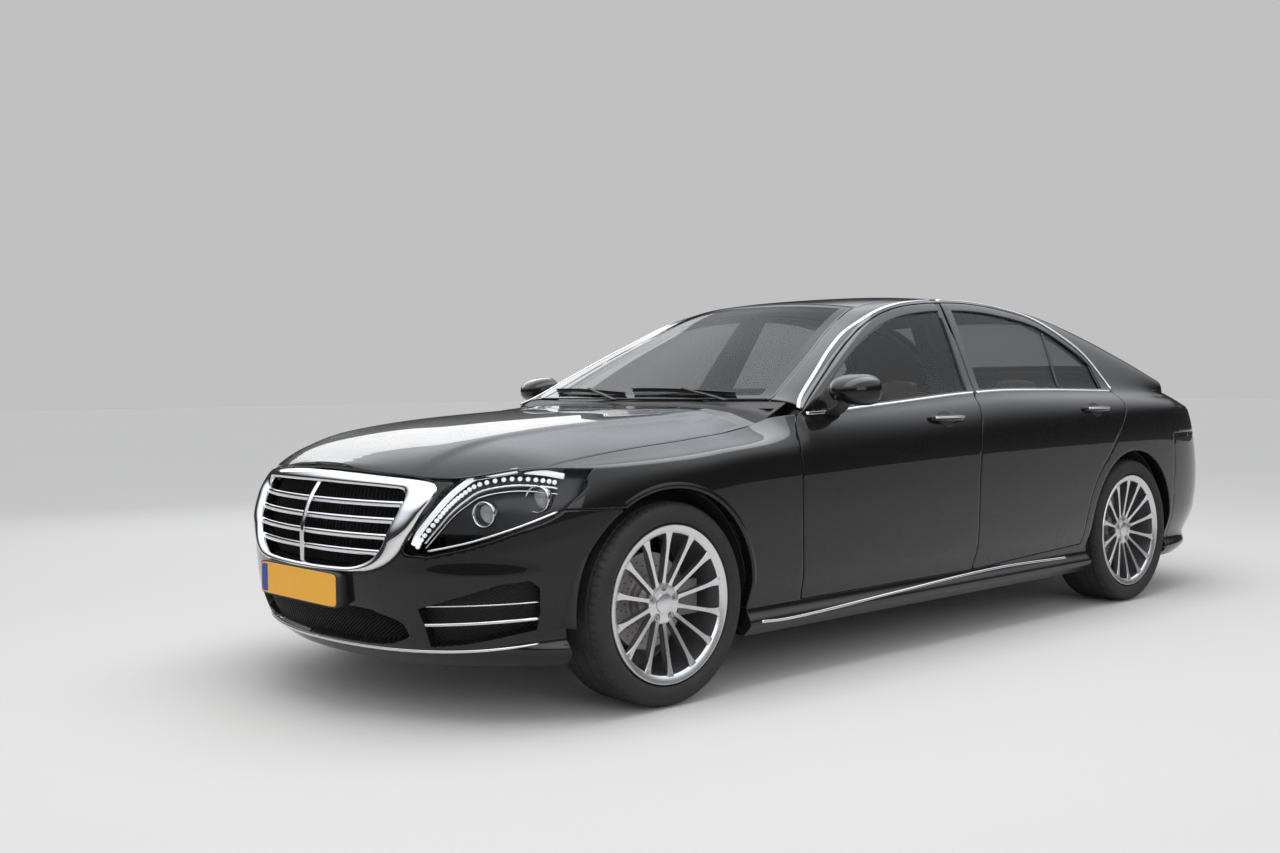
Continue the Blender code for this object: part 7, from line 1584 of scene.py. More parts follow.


# Door handles: painted pull bars with a bright strip along each, over flat dark ovals of painted shade.
def handle_shape(x0, x1, z):
    """A pull handle: an oval bar bowed out from the skin by a sine, thinner at its ends."""
    share = np.linspace(0.0, 1.0, 36)
    x, level = x0 + (x1 - x0) * share, z + 0.004 * (share - 0.5)
    y = side_y(x, level) + 0.004 + 0.024 * np.sin(math.pi * share) ** 0.45
    thin = 0.45 + 0.55 * np.sin(math.pi * np.clip(share, 0.02, 0.98)) ** 0.4
    return tube(np.stack([x, y, level], axis=1), np.stack([0.0085 * thin, 0.0140 * thin], axis=1), 14)


def cup_shape(x, z, half_x=0.055, half_z=0.034):
    """Painted shade behind a handle: a dark oval sheet just over the skin."""
    r, turn = np.meshgrid(np.linspace(0.02, 1.0, 8), np.linspace(0.0, 2.0 * math.pi, 49), indexing="ij")
    px, pz = x + half_x * r * np.cos(turn), z + half_z * r * np.sin(turn)
    return grid_shape(np.stack([px, side_y(px, pz) + 0.0012, pz], axis=-1), (0.0, 1.0, 0.0))


for end, bodies, x0, x1, z in (("front", FRONT_DOORS, -0.012, 0.222, 0.948),
                               ("rear", REAR_DOORS, -1.228, -0.998, 0.962)):
    pair(f"{end}_handle", handle_shape(x0, x1, z), paint, bodies)
    share = np.linspace(0.06, 0.94, 30)
    x = x0 + (x1 - x0) * share
    y = side_y(x, np.full(30, z)) + 0.0118 + 0.024 * np.sin(math.pi * share) ** 0.45
    line = np.stack([x, y, np.full(30, z + 0.004)], axis=1)
    pair(f"{end}_handle_strip", tube(line, (0.0020, 0.0042), 8), chrome, bodies)
    # A dark oval behind each handle: painted shade.
    pair(f"{end}_handle_cup", cup_shape(0.5 * (x0 + x1), z - 0.004), plastic, bodies)

# Door mirrors: painted housings on black feet at the front corners of the doors, with silvered glass and a
# bright turn lamp round the outer edge.
MIRROR_AT, MIRROR_HALF, MIRROR_DEPTH = (0.746, 0.9700, 1.0735), (0.1035, 0.0660), 0.132


def mirror_section(size, power):
    """A rounded section |y|^p + |z|^p = 1, lower at its foot and drawn down towards its outer end."""
    c, s = circle(56).T
    low = np.where(s < 0, 0.78 + 0.12 * (c + 1.0), 1.0 - 0.05 * (c + 1.0))
    ring = rounded_ring(MIRROR_HALF[0] * size, MIRROR_HALF[1] * size, power, 56)
    return ring * np.stack([np.ones(56), low], axis=1)


housing_rings = []
for share in [0.0, 0.02] + np.linspace(0.10, 0.995, 22).tolist():
    size = math.sqrt(max(1.0 - share ** 2.3, 0.0)) * (0.93 if share == 0.0 else 1.0)
    housing_rings.append(across_at(mirror_section(size, 2.6), MIRROR_AT[0] + MIRROR_DEPTH * share,
                                   MIRROR_AT[1] - 0.006 * share, MIRROR_AT[2] - 0.006 * share))
pair("mirror_housing", ring_shape(np.array(housing_rings)), paint, FRONT_DOORS)
silvered = Finish("mirror_glass", Base_Color=(0.75, 0.77, 0.78, 1.0), Metallic=1.0, Roughness=0.02)
silvered.feed("Roughness", 0.02 + 0.03 * silvered.noise(8.0))
glass_rings = [across_at(mirror_section(size, 2.0 / 0.77), MIRROR_AT[0] - behind, *MIRROR_AT[1:])
               for size, behind in ((0.86, 0.0005), (0.85, 0.0020))]
pair("mirror_glass", ring_shape(np.array(glass_rings)), silvered, FRONT_DOORS)
foot_line = flowing(((0.800, 0.868, 0.982), (0.810, 0.895, 0.990), (0.818, 0.930, 1.006), (0.820, 0.965, 1.036)), 8)
foot_width = np.linspace((0.046, 0.011), (0.034, 0.015), len(foot_line))
pair("mirror_foot", tube(foot_line, foot_width, 16), plastic, FRONT_DOORS)
turn = np.linspace(-0.5, 1.15, 30)
lamp_line = np.stack([0.870 - 0.052 * (turn - 0.1) ** 2 - 0.012 * np.clip(turn - 0.8, 0, 1),
                      0.966 + 0.092 * np.sin(turn), 1.060 + 0.004 * turn], axis=1)
pair("mirror_indicator", tube(lamp_line, (0.0035, 0.0028), 8), guide_white, FRONT_DOORS)

# Scuttle and wipers: a moulded black panel between the bonnet and the windscreen, and two wiper arms lying on
# the glass.
SCUTTLE_LOW_X, SCUTTLE_STEP, SCUTTLE_DROP = 1.082, 0.060, 0.048
share, row = np.meshgrid(np.linspace(-1.0, 1.0, 80), np.linspace(0.0, 1.0, 24), indexing="ij")
base_edge_y, base_edge_z = glass_edge(np.array(SCREEN_BASE_X))
glass_x = SCREEN_BASE_X + WINDSCREEN_BOW[0] * (1.0 - share ** 2) - 0.006
glass_y, bonnet_y = (base_edge_y + 0.082) * share, 0.838 * HALF_WIDTH * share
bonnet_z = bonnet_height(np.full_like(bonnet_y, BONNET_REAR_X), bonnet_y) - 0.014
scuttle_x = BONNET_REAR_X - 0.010 + (glass_x - BONNET_REAR_X + 0.010) * row
scuttle_z = bonnet_z + (base_edge_z - 0.010 - bonnet_z) * row
scuttle_z -= SCUTTLE_DROP * np.clip((scuttle_x - SCUTTLE_LOW_X) / SCUTTLE_STEP, 0.0, 1.0) ** 0.8
scuttle = grid_shape(np.stack([scuttle_x, bonnet_y + (glass_y - bonnet_y) * row, scuttle_z], axis=-1), UP)
thick(piece_on("body", "scuttle", scuttle, plastic), 0.003)


def screen_point(x, y, lift):
    """A point over the windscreen's outer face."""
    at = screen_skin(x, np.clip(y / glass_edge(x)[0], -1.0, 1.0))
    return at + lift * np.array((0.55, 0.0, 0.83))


wiper_shapes = []
for pivot_y, tip_y in ((0.55, -0.06), (-0.06, -0.66)):
    blade_y, arc = np.linspace(pivot_y - 0.02, tip_y, 30), np.linspace(0.0, 1.0, 30)
    blade_x = SCREEN_BASE_X - 0.030 - 0.050 * np.sin(math.pi * 0.5 * arc) + 0.020 * arc
    wiper_shapes.append(tube(screen_point(blade_x, blade_y, 0.007), (0.0045, 0.0065), 8))
    wiper_shapes.append(tube(screen_point(blade_x, blade_y, 0.016), (0.0060, 0.0030), 8))
    arm_y = np.linspace(pivot_y, 0.5 * (pivot_y + tip_y), 16)
    arm_x = np.linspace(SCREEN_BASE_X + 0.040, float(np.interp(0.5, arc, blade_x)), 16)
    ahead = np.maximum(arm_x - SCREEN_BASE_X, 0.0)
    arm = screen_point(arm_x - ahead, arm_y, 0.022) + ahead[:, None] * (1.0, 0.0, -0.55)
    wiper_shapes.append(tube(arm, np.linspace((0.012, 0.005), (0.007, 0.005), 16), 8))
piece_on("body", "wipers", joined(*wiper_shapes), plastic)

# Plates: pressed plates with rounded corners and a raised rim, left blank, the front one in a black plastic
# holder; and the chrome bar over the rear one.
plate_yellow = Finish("plate_sheet", Base_Color=(0.87, 0.42, 0.015, 1.0), Roughness=0.42)
plate_yellow.feed("Base Color", plate_yellow.blend(plate_yellow.noise(40.0), (0.84, 0.40, 0.012, 1.0),
                                                   (0.90, 0.45, 0.020, 1.0)))
plate_blue = Finish("plate_band", Base_Color=(0.010, 0.045, 0.36, 1.0), Roughness=0.42)
plate_blue.feed("Roughness", 0.38 + 0.10 * plate_blue.noise(60.0))
PLATE_HALF_Y, PLATE_HALF_Z, PLATE_RIM = 0.260, 0.055, 0.0012
PLATE_Z, PLATE_X, REAR_PLATE_Z, BOOT_BAR_Z = 0.427, 2.6245, 0.885, 0.951
plate_profile = ((0.0, -0.002), (0.0, 0.0), (0.0008, PLATE_RIM), (0.0035, PLATE_RIM), (0.0050, 0.0),
                 (0.5 * PLATE_HALF_Z, 0.0), (PLATE_HALF_Z - 0.0005, 0.0))
rear_plate_x, above, below = (float(tail_x(np.array(0.0), np.array(REAR_PLATE_Z + rise)))
                              for rise in (0.0, 0.05, -0.05))
for name, at_x, at_z, way, slope, body, band_y in (
        ("front_plate", PLATE_X, PLATE_Z, 1.0, 0.0, "body", -0.2335),
        ("rear_plate", rear_plate_x - 0.004, REAR_PLATE_Z, -1.0, (above - below) / 0.1, "boot_lid", 0.2335)):
    rings = [rounded_ring(PLATE_HALF_Y - inset, PLATE_HALF_Z - inset, 14.0, 96) for inset, _ in plate_profile]
    plate = np.array([across_at(ring, at_x + way * out + slope * ring[:, 1], 0.0, at_z)
                      for ring, (_, out) in zip(rings, plate_profile)])
    piece_on(body, name, ring_shape(plate), plate_yellow, smooth=False)
    ring = rounded_ring(0.021, 0.0490, 12.0, 48)
    band = np.array([across_at(ring, at_x + way * out + slope * ring[:, 1], band_y, at_z)
                     for out in (-0.001, 0.0006)])
    piece_on(body, name + "_band", ring_shape(band), plate_blue, smooth=False)
holder = np.array([across_at(rounded_ring(PLATE_HALF_Y + grow, PLATE_HALF_Z + grow, 12.0, 64),
                             PLATE_X - 0.001 + x, 0.0, PLATE_Z)
                   for grow, x in ((0.004, -0.060), (0.006, -0.003), (0.004, 0.0))])
piece_on("body", "plate_holder", ring_shape(holder), plastic)
bar_y, bar_z = np.linspace(-0.46, 0.46, 60), np.full(60, BOOT_BAR_Z)
bar_line = np.stack([tail_x(bar_y, bar_z) - 0.001, bar_y, bar_z], axis=1)
piece_on("boot_lid", "boot_bar", tube(bar_line, (0.0055, 0.010), 12), chrome)

# Gutter behind the rear window: a black channel that fills the gap ahead of the boot lid.
share, row = np.meshgrid(np.linspace(-1.0, 1.0, 70), np.linspace(0.0, 1.0, 8), indexing="ij")
window_end = rear_screen_skin(np.full_like(share, REAR_BASE_X), share)
lid_x, lid_y = np.full_like(share, BOOT_FRONT_X - 0.002), (BOOT_HALF + 0.002) * share
lid_edge = np.stack([lid_x, lid_y, deck_height(lid_x, lid_y) - 0.022], axis=-1)
gutter = window_end + (lid_edge - window_end) * row[..., None]
gutter[..., 2] -= 0.006 + 0.012 * np.sin(math.pi * row)
thick(piece_on("body", "rear_gutter", grid_shape(gutter, UP), plastic), 0.002)

# Seats: foam pads in brown leather over steel frames. Each pad is a crowned form blown up by a cloth
# simulation that is held along its sewn channels, and the channels are pressed in after it.
SEAT_Y, FLOOR_Z, CUSHION_TOP_Z = 0.400 * HALF_WIDTH, 0.136 * HEIGHT, 0.285 * HEIGHT
SWELL_FRAMES, SWELL_PRESSURE, SWELL_CAP, SEAM_PRESS, SEAM_HALF = 20, 4.0, 0.024, 0.007, 0.006
leather = Finish("seat_leather", Base_Color=(0.25, 0.14, 0.08, 1.0), Roughness=0.5)
pores = leather.add("ShaderNodeTexVoronoi", {"feature": "DISTANCE_TO_EDGE"},
                    {"Vector": leather.place(), "Scale": 380.0}, output="Distance")
leather.bump(pores, 0.0009, 0.6)
leather.feed("Base Color", leather.blend(leather.noise(5.0), (0.20, 0.110, 0.060, 1.0), (0.29, 0.168, 0.098, 1.0)))
leather.feed("Roughness", 0.40 + 0.25 * leather.noise(45.0))


def pad_form(centre, half, power, edge_power, bend=None):
    """A crowned closed form, |x/a|^p + |y/b|^p in plan and |z/c|^q in height, then bent by a rule."""
    rings = []
    for turn in np.linspace(-0.497, 0.497, 44) * math.pi:
        size = abs(math.cos(turn)) ** (2.0 / edge_power)
        rise = math.copysign(abs(math.sin(turn)) ** (2.0 / edge_power), turn)
        ring = rounded_ring(half[0] * size, half[1] * size, power, 96)
        rings.append(np.stack([ring[:, 0], ring[:, 1], np.full(96, half[2] * rise)], axis=1))
    points, faces = ring_shape(np.array(rings))
    return (bend(points / half) * half if bend else points) + centre, faces


def coordinates(collection, key="co"):
    """A vector of each element of a mesh, one row each."""
    values = np.empty(3 * len(collection))
    collection.foreach_get(key, values)
    return values.reshape(-1, 3)


def padded_piece(piece, node=None):
    """A piece attached to the body, standing for its CAD node where one is given."""
    if node:
        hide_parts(node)
    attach(piece, "body")
    return piece


def stuffed(name, shape, voxel, channels, node, swell=SWELL_CAP):
    """A pad from a form: remeshed, blown up with its channels held, each point's way capped, then pressed in."""
    piece = mesh_piece(name, *shape, leather)
    remesh = piece.modifiers.new("remesh", "REMESH")
    remesh.mode = "VOXEL"
    remesh.voxel_size = voxel
    settled = bpy.data.meshes.new_from_object(piece.evaluated_get(bpy.context.evaluated_depsgraph_get()))
    piece.modifiers.remove(remesh)
    piece.data = settled
    start = coordinates(settled.vertices)
    gap = channels(start)
    moved = start
    held = piece.vertex_groups.new(name="sewn")
    held.add(np.flatnonzero(gap < voxel).tolist(), 1.0, "REPLACE")
    cloth = piece.modifiers.new("swell", "CLOTH")
    cloth.settings.use_pressure = True
    cloth.settings.uniform_pressure_force = SWELL_PRESSURE
    cloth.settings.effector_weights.gravity = 0.0
    cloth.settings.vertex_group_mass = "sewn"
    cloth.settings.quality = 4
    cloth.collision_settings.use_collision = False
    for step in range(1, SWELL_FRAMES + 1):
        bpy.context.scene.frame_set(step)
    moved = coordinates(piece.evaluated_get(bpy.context.evaluated_depsgraph_get()).data.vertices)
    piece.modifiers.remove(cloth)
    piece.vertex_groups.clear()
    bpy.context.scene.frame_set(1)
    way = moved - start
    moved = start + way * np.minimum(1.0, swell / np.maximum(np.linalg.norm(way, axis=1, keepdims=True), 1e-9))
    press = SEAM_PRESS * np.exp(-(gap / SEAM_HALF) ** 2)
    settled.vertices.foreach_set("co", (moved - coordinates(settled.vertices, "normal") * press[:, None]).ravel())
    settled.polygons.foreach_set("use_smooth", np.full(len(settled.polygons), True))
    settled.update()
    return padded_piece(piece, node)


def cushion_bend(points):
    """Side bolsters up by |y|^6, the front edge down, the sides drawn in between the corners."""
    x, y, z = points.T
    top = np.clip(z, 0.0, 1.0)
    rise = top * (0.50 * np.abs(y) ** 6 - 0.10 * np.clip(x, 0, 1) ** 4)
    return np.stack([x, y * (0.985 + 0.015 * x ** 2), z + rise - 0.12 * top * (1.0 - y ** 2)], axis=1)


def back_bend(points):
    """Side bolsters forward by |y|^6, narrower towards the top, and a lumbar swell."""
    x, y, z = points.T
    bolster = 0.55 * np.abs(y) ** 6 * (1.0 - 0.5 * np.clip(z, 0, 1))
    forward = np.clip(x, 0.0, 1.0) * (bolster + 0.10 * np.exp(-((z + 0.45) / 0.3) ** 2))
    return np.stack([x + forward, y * (1.0 - 0.14 * np.clip(z, 0, 1) ** 2), z], axis=1)


def leaning(shape, foot_z, lean):
    """A form sheared backwards above its foot."""
    points, faces = shape
    return points - np.array((lean, 0.0, 0.0)) * (points[:, 2:3] - foot_z), faces


def lines_gap(values, spots):
    """Distance from values to the nearest of some spots."""
    return np.abs(values[:, None] - np.asarray(spots)[None]).min(axis=1)


BACK_LEAN, BACK_FOOT_Z, SEAT_BACK_X, SEAT_FRONT_X = 0.45, 0.36, -0.105, 0.433


def cushion_channels(points):
    """Pleats across the middle panel of the cushion, and a seam at each bolster."""
    across = np.abs(points[:, 1] - SEAT_Y)
    pleats = np.where(across < 0.155, lines_gap(points[:, 0], SEAT_BACK_X + 0.12 + 0.070 * np.arange(5)), 1.0)
    sides = np.where(points[:, 0] < SEAT_FRONT_X - 0.03, np.abs(across - 0.160), 1.0)
    return np.where(points[:, 2] > CUSHION_TOP_Z - 0.055, np.minimum(pleats, sides), 1.0)


def back_channels(points):
    """Pleats across the back rest and a seam at each bolster, on its face."""
    height, across = points[:, 2], np.abs(points[:, 1] - SEAT_Y)
    on_face = points[:, 0] > SEAT_BACK_X - BACK_LEAN * (height - BACK_FOOT_Z) + 0.01
    pleats = np.where(across < 0.145, lines_gap(height, 0.475 + 0.065 * np.arange(6)), 1.0)
    return np.where(on_face, np.minimum(pleats, np.where(height < 0.86, np.abs(across - 0.150), 1.0)), 1.0)


cushion_form = pad_form((0.5 * (SEAT_BACK_X + SEAT_FRONT_X), SEAT_Y, CUSHION_TOP_Z - 0.062), (0.250, 0.235, 0.055),
                        6.0, 3.2, cushion_bend)
back_form = leaning(pad_form((SEAT_BACK_X + 0.005, SEAT_Y, 0.640), (0.042, 0.222, 0.270), 3.4, 5.0, back_bend),
                    BACK_FOOT_Z, BACK_LEAN)
head_form = leaning(pad_form((SEAT_BACK_X + 0.020, SEAT_Y, 0.990), (0.040, 0.125, 0.062), 3.0, 3.0), BACK_FOOT_Z,
                    BACK_LEAN)
for pad in (stuffed("seat_cushion_left", cushion_form, 0.0075, cushion_channels, "seat_front_left"),
            stuffed("seat_back_left", back_form, 0.0075, back_channels, "seat_front_left"),
            stuffed("seat_headrest_left", head_form, 0.0065, lambda points: np.ones(len(points)), "seat_front_left",
                    swell=0.008)):
    twin = mirrored(coordinates(pad.data.vertices), [tuple(face.vertices) for face in pad.data.polygons])
    padded_piece(mesh_piece(pad.name.replace("left", "right"), *twin, leather), "seat_front_right")

BENCH_HALF, BENCH_BACK_X, BENCH_FRONT_X, BENCH_TOP_Z = 0.70 * HALF_WIDTH, -1.154, -0.643, 0.345 * HEIGHT
BENCH_LEAN, BENCH_FOOT_Z, BENCH_SEAMS = 0.27, 0.45, (0.150, 0.590)


def bench_pleats(points, height, first, count):
    """Pleats across each of the two outer places of the bench."""
    across = np.abs(points[:, 1])
    return np.where((across > 0.165) & (across < 0.575), lines_gap(height, first + 0.075 * np.arange(count)), 1.0)


def bench_channels(points):
    """The cushion's pleats, and seams beside the middle place."""
    seams = np.where(points[:, 0] < BENCH_FRONT_X - 0.03, lines_gap(np.abs(points[:, 1]), BENCH_SEAMS), 1.0)
    channels = np.minimum(bench_pleats(points, points[:, 0], -1.02, 5), seams)
    return np.where(points[:, 2] > BENCH_TOP_Z - 0.040, channels, 1.0)


def bench_back_channels(points):
    """The back's pleats, and seams beside the middle place, on the face."""
    face_x = BENCH_BACK_X - BENCH_LEAN * (points[:, 2] - BENCH_FOOT_Z)
    channels = np.minimum(bench_pleats(points, points[:, 2], 0.560, 6), lines_gap(np.abs(points[:, 1]), BENCH_SEAMS))
    return np.where(points[:, 0] > face_x + 0.045, channels, 1.0)


bench_form = pad_form((0.5 * (BENCH_BACK_X + BENCH_FRONT_X) + 0.02, 0.0, BENCH_TOP_Z - 0.050),
                      (0.235, BENCH_HALF - 0.025, 0.042), 9.0, 3.2)
bench_back_form = leaning(pad_form((BENCH_BACK_X + 0.040, 0.0, 0.735), (0.045, BENCH_HALF - 0.030, 0.270), 3.4, 6.0),
                          BENCH_FOOT_Z, BENCH_LEAN)
stuffed("rear_cushion", bench_form, 0.0095, bench_channels, "rear_seat", swell=0.018)
stuffed("rear_back", bench_back_form, 0.0095, bench_back_channels, "rear_seat", swell=0.018)
for tag, y in (("left", 0.370), ("right", -0.370)):
    shape = leaning(pad_form((BENCH_BACK_X + 0.030, y, 1.055), (0.034, 0.115, 0.045), 3.0, 3.0), BENCH_FOOT_Z,
                    BENCH_LEAN)
    padded_piece(mesh_piece(f"rear_headrest_{tag}", *shape, leather))


# Seat bases and head restraint posts: dark plastic covers over the frames, and bright steel tubes.
def lofted(sections, half_y, y, power, count):
    """A form along the car through rounded sections, each given by x, its low and its high edge."""
    return ring_shape(np.array([across_at(rounded_ring(half_y, 0.5 * (high - low), power, count), x, y,
                                          0.5 * (low + high)) for x, low, high in sections]))


base_shapes, posts = [], []
for y in (SEAT_Y, -SEAT_Y):
    for side in (-1.0, 1.0):
        rail_y = y + side * 0.19
        base_shapes.append(tube(((0.02, rail_y, FLOOR_Z + 0.018), (0.36, rail_y, FLOOR_Z + 0.018)), (0.020, 0.015),
                                12))
        base_shapes.append(lofted(((-0.07, 0.30, 0.34), (0.02, 0.225, 0.37), (0.20, 0.222, 0.36), (0.36, 0.235, 0.34),
                                   (0.42, 0.30, 0.33)), 0.016, y + side * 0.232, 3.0, 20))
        post_y = y + side * 0.06
        posts.append(tube(((-0.335, post_y, 0.88), (-0.362, post_y, 0.95)), 0.006, 12))
base_shapes.append(lofted(((-1.06, 0.37, 0.44), (-0.95, 0.365, 0.47), (-0.72, 0.365, 0.47), (-0.665, 0.38, 0.46)),
                          BENCH_HALF - 0.05, 0.0, 8.0, 48))
piece_on("body", "seat_bases", joined(*base_shapes), plastic)
piece_on("body", "headrest_posts", joined(*posts), chrome)

# Dashboard: a padded top roll in dark leather with a hood over the driver's side, and a brown lower half.
dark_leather = Finish("dash_leather", Base_Color=(0.035, 0.028, 0.024, 1.0), Roughness=0.55)
dash_grain = dark_leather.add("ShaderNodeTexVoronoi", {"feature": "DISTANCE_TO_EDGE"},
                              {"Vector": dark_leather.place(), "Scale": 500.0}, output="Distance")
dark_leather.bump(dash_grain, 0.0006, 0.6)
dark_leather.feed("Roughness", 0.45 + 0.25 * dark_leather.noise(40.0))
DASH_HALF, DASH_SPLIT_Z, HOOD_Z = 0.720 * HALF_WIDTH, 0.55 * HEIGHT, 0.60 * HEIGHT
dash_line = np.array(((0.245, 0.430), (0.300, 0.412), (0.385, 0.402), (0.424, 0.432), (0.428, 0.585), (0.397, 0.600),
                      (0.380, 0.622), (0.330, 0.638), (0.280, 0.640), (0.250, 0.630), (0.237, 0.606), (0.240, 0.585),
                      (0.249, 0.570), (0.243, 0.545), (0.238, 0.520), (0.238, 0.470), (0.245, 0.430))) * ALONG
dash_profile = flowing(dash_line, 4)[:-1]
dash_rings = []
for share in np.linspace(-1.0, 1.0, 60):
    x, z = dash_profile.T
    end = 1.0 - 0.30 * np.clip((abs(share) - 0.94) / 0.06, 0.0, 1.0) ** 2
    z = 0.53 * HEIGHT + (z - 0.53 * HEIGHT) * end
    hood = 0.018 * math.exp(-((share * DASH_HALF - SEAT_Y) / 0.20) ** 4)
    z = z + hood * np.clip((z - HOOD_Z) / (0.03 * HEIGHT), 0.0, 1.0)
    dash_rings.append(np.stack([x, np.full(len(x), share * DASH_HALF), z], axis=1))
dash = piece_on("body", "dash_skin", ring_shape(np.array(dash_rings)), [dark_leather, leather],
                "dashboard")
below_band = coordinates(dash.data.polygons, "center")[:, 2] < DASH_SPLIT_Z
dash.data.polygons.foreach_set("material_index", below_band.astype(int))

# Console: a leather-covered box between the seats that rises to the dashboard, with a padded armrest.
CONSOLE_LOW_Z = FLOOR_Z + 0.115
console_rings = []
for x, half, top in ((-0.155, 0.090, 0.400), (-0.150, 0.108, 0.415), (0.10, 0.116, 0.422), (0.22, 0.118, 0.424),
                     (0.25, 0.118, 0.425), (0.34, 0.120, 0.440), (0.48, 0.122, 0.490), (0.60, 0.124, 0.560),
                     (0.66, 0.124, 0.600)):
    top_z = top * HEIGHT
    ring = rounded_ring(half, 0.5 * (top_z - CONSOLE_LOW_Z), 7.0, 48)
    console_rings.append(across_at(ring, x, 0.0, 0.5 * (top_z + CONSOLE_LOW_Z)))
piece_on("body", "console", ring_shape(np.array(console_rings)), leather)
armrest_form = pad_form((-0.02, 0.0, 0.430 * HEIGHT), (0.125, 0.105, 0.022), 5.0, 3.0)
padded_piece(mesh_piece("console_armrest", *armrest_form, dark_leather))

# Wood: a lacquered band across the dashboard and a panel down the console's slope.
wood = Finish("dark_wood", Base_Color=(0.10, 0.045, 0.020, 1.0), Roughness=0.12, Coat_Weight=0.8)
rings_of_wood = wood.add("ShaderNodeTexWave", {"bands_direction": "Z"},
                         {"Vector": wood.place(), "Scale": 22.0, "Distortion": 9.0, "Detail": 3.0}, output="Fac")
wood.feed("Base Color", wood.blend(rings_of_wood, (0.055, 0.022, 0.010, 1.0), (0.17, 0.080, 0.036, 1.0)))
band_end = np.array((0.2385 * HALF_LENGTH, 0.98 * DASH_HALF, 0.545 * HEIGHT))
slope_x = np.linspace(0.16, 0.56, 24)
slope_z = 0.001 + HEIGHT * np.interp(slope_x, (0.10, 0.25, 0.34, 0.48, 0.60), (0.422, 0.425, 0.440, 0.490, 0.560))
wood_band = tube(np.linspace(band_end * (1.0, -1.0, 1.0), band_end, 60), (0.006, 0.022), 20)
wood_panel = tube(np.stack([slope_x, np.zeros(24), slope_z], axis=1), (0.085, 0.004), 20)
piece_on("body", "wood_trim", joined(wood_band, wood_panel), wood)

# Two flat black screens side by side, and six round bright air vents under them.
screen_dark = Finish("screen", Base_Color=(0.008, 0.010, 0.014, 1.0), Roughness=0.08, Coat_Weight=0.6)
screen_dark.feed("Roughness", 0.06 + 0.05 * screen_dark.noise(20.0))
SCREEN_X, SCREEN_Z, SCREEN_LEAN = 0.2300 * HALF_LENGTH, 0.606 * HEIGHT, 0.25
screen_shapes = []
for y in (0.370, 0.065):
    rings = []
    for grow, out in ((0.004, 0.012), (0.004, -0.002), (0.0, -0.004)):
        ring = rounded_ring(0.145 + grow, 0.055 + grow, 9.0, 48)
        rings.append(across_at(ring, SCREEN_X + out + SCREEN_LEAN * ring[:, 1], y, SCREEN_Z))
    screen_shapes.append(ring_shape(np.array(rings)))
piece_on("body", "screens", joined(*screen_shapes), screen_dark)
VENT_X, VENT_Z = 0.2370 * HALF_LENGTH, 0.560 * HEIGHT
VENT_PROFILE = ((0.031, 0.01), (0.032, -0.006), (0.029, -0.010), (0.026, -0.006), (0.025, 0.004), (0.008, 0.004),
                (0.007, -0.004))
vents = [ring_shape(np.stack([across_at(circle(28) * r, VENT_X + x, y, VENT_Z) for r, x in VENT_PROFILE]))
         for y in (0.60, 0.11, 0.035, -0.035, -0.11, -0.60)]
piece_on("body", "air_vents", joined(*vents), chrome)

# Steering column and wheel: a leather rim, a soft centre pad, and three bright-edged spokes.
COLUMN_TILT, RING_RADIUS, GRIP = math.radians(22.0), 0.180, 0.015
hub_at = np.array((0.205 * HALF_LENGTH, SEAT_Y, 0.545 * HEIGHT))
column_axis = np.array((-math.cos(COLUMN_TILT), 0.0, math.sin(COLUMN_TILT)))
wheel_up = np.array((column_axis[2], 0.0, -column_axis[0]))
wheel_side = np.array((0.0, 1.0, 0.0))
column_path = hub_at - column_axis * np.array((0.012, 0.06, 0.14, 0.24))[:, None]
piece_on("body", "steering_column", tube(column_path, np.array((0.022, 0.042, 0.045, 0.030)), 24), plastic)
outward_way = circle(96) @ np.stack([wheel_side, wheel_up])
grip = GRIP * (1.0 + 0.06 * np.cos(8.0 * math.pi * np.arange(96) / 96))[:, None, None]
c, s = circle(20).T
rim_rings = (hub_at + outward_way[:, None] * (RING_RADIUS + grip * c[:, None]) + column_axis * grip * s[:, None])
pad_rings = []
for size, lift in ((0.80, -0.010), (1.0, 0.0), (1.0, 0.014), (0.90, 0.026), (0.60, 0.033), (0.15, 0.035)):
    ring = rounded_ring(0.074 * size, 0.058 * size, 3.0, 48) - (0.0, 0.004)
    pad_rings.append(hub_at + ring @ np.stack([wheel_side, wheel_up]) + lift * column_axis)
spoke_bars, spoke_edges = [], []
for way, wide in ((wheel_side, 0.022), (-wheel_side, 0.022), (-wheel_up, 0.028)):
    across = np.cross(column_axis, way)
    line = hub_at + way * np.linspace(0.045, RING_RADIUS - 0.004, 16)[:, None]
    waist = np.sin(np.linspace(0.0, math.pi, 16))[:, None]
    half, sink = wide * (1.0 - 0.45 * waist), 0.010 * waist
    spoke_bars.append(ring_shape(np.stack(
        [line + across * a * half + column_axis * (b * 0.007 + 0.006 - sink)
         for a, b in ((-1.0, -0.6), (-1.0, 0.6), (-0.7, 1.0), (0.7, 1.0), (1.0, 0.6), (1.0, -0.6))], axis=1)))
    for side in (-0.72, 0.72):
        edge_line = line + across * side * half + column_axis * (0.0138 - sink)
        spoke_edges.append(tube(edge_line[2:-2], 0.0022, 8))
for name, shape, finish, slot_name, node in (
        ("steering_rim", ring_shape(rim_rings, closed=True), dark_leather, "leather", "steering_wheel"),
        ("steering_pad", ring_shape(np.array(pad_rings)), dark_leather, "leather", None),
        ("steering_spokes", joined(*spoke_bars), plastic, "black_plastic", None),
        ("steering_trim", joined(*spoke_edges), chrome, "chrome", None)):
    piece_on("steering_wheel", name, shape, finish, node)

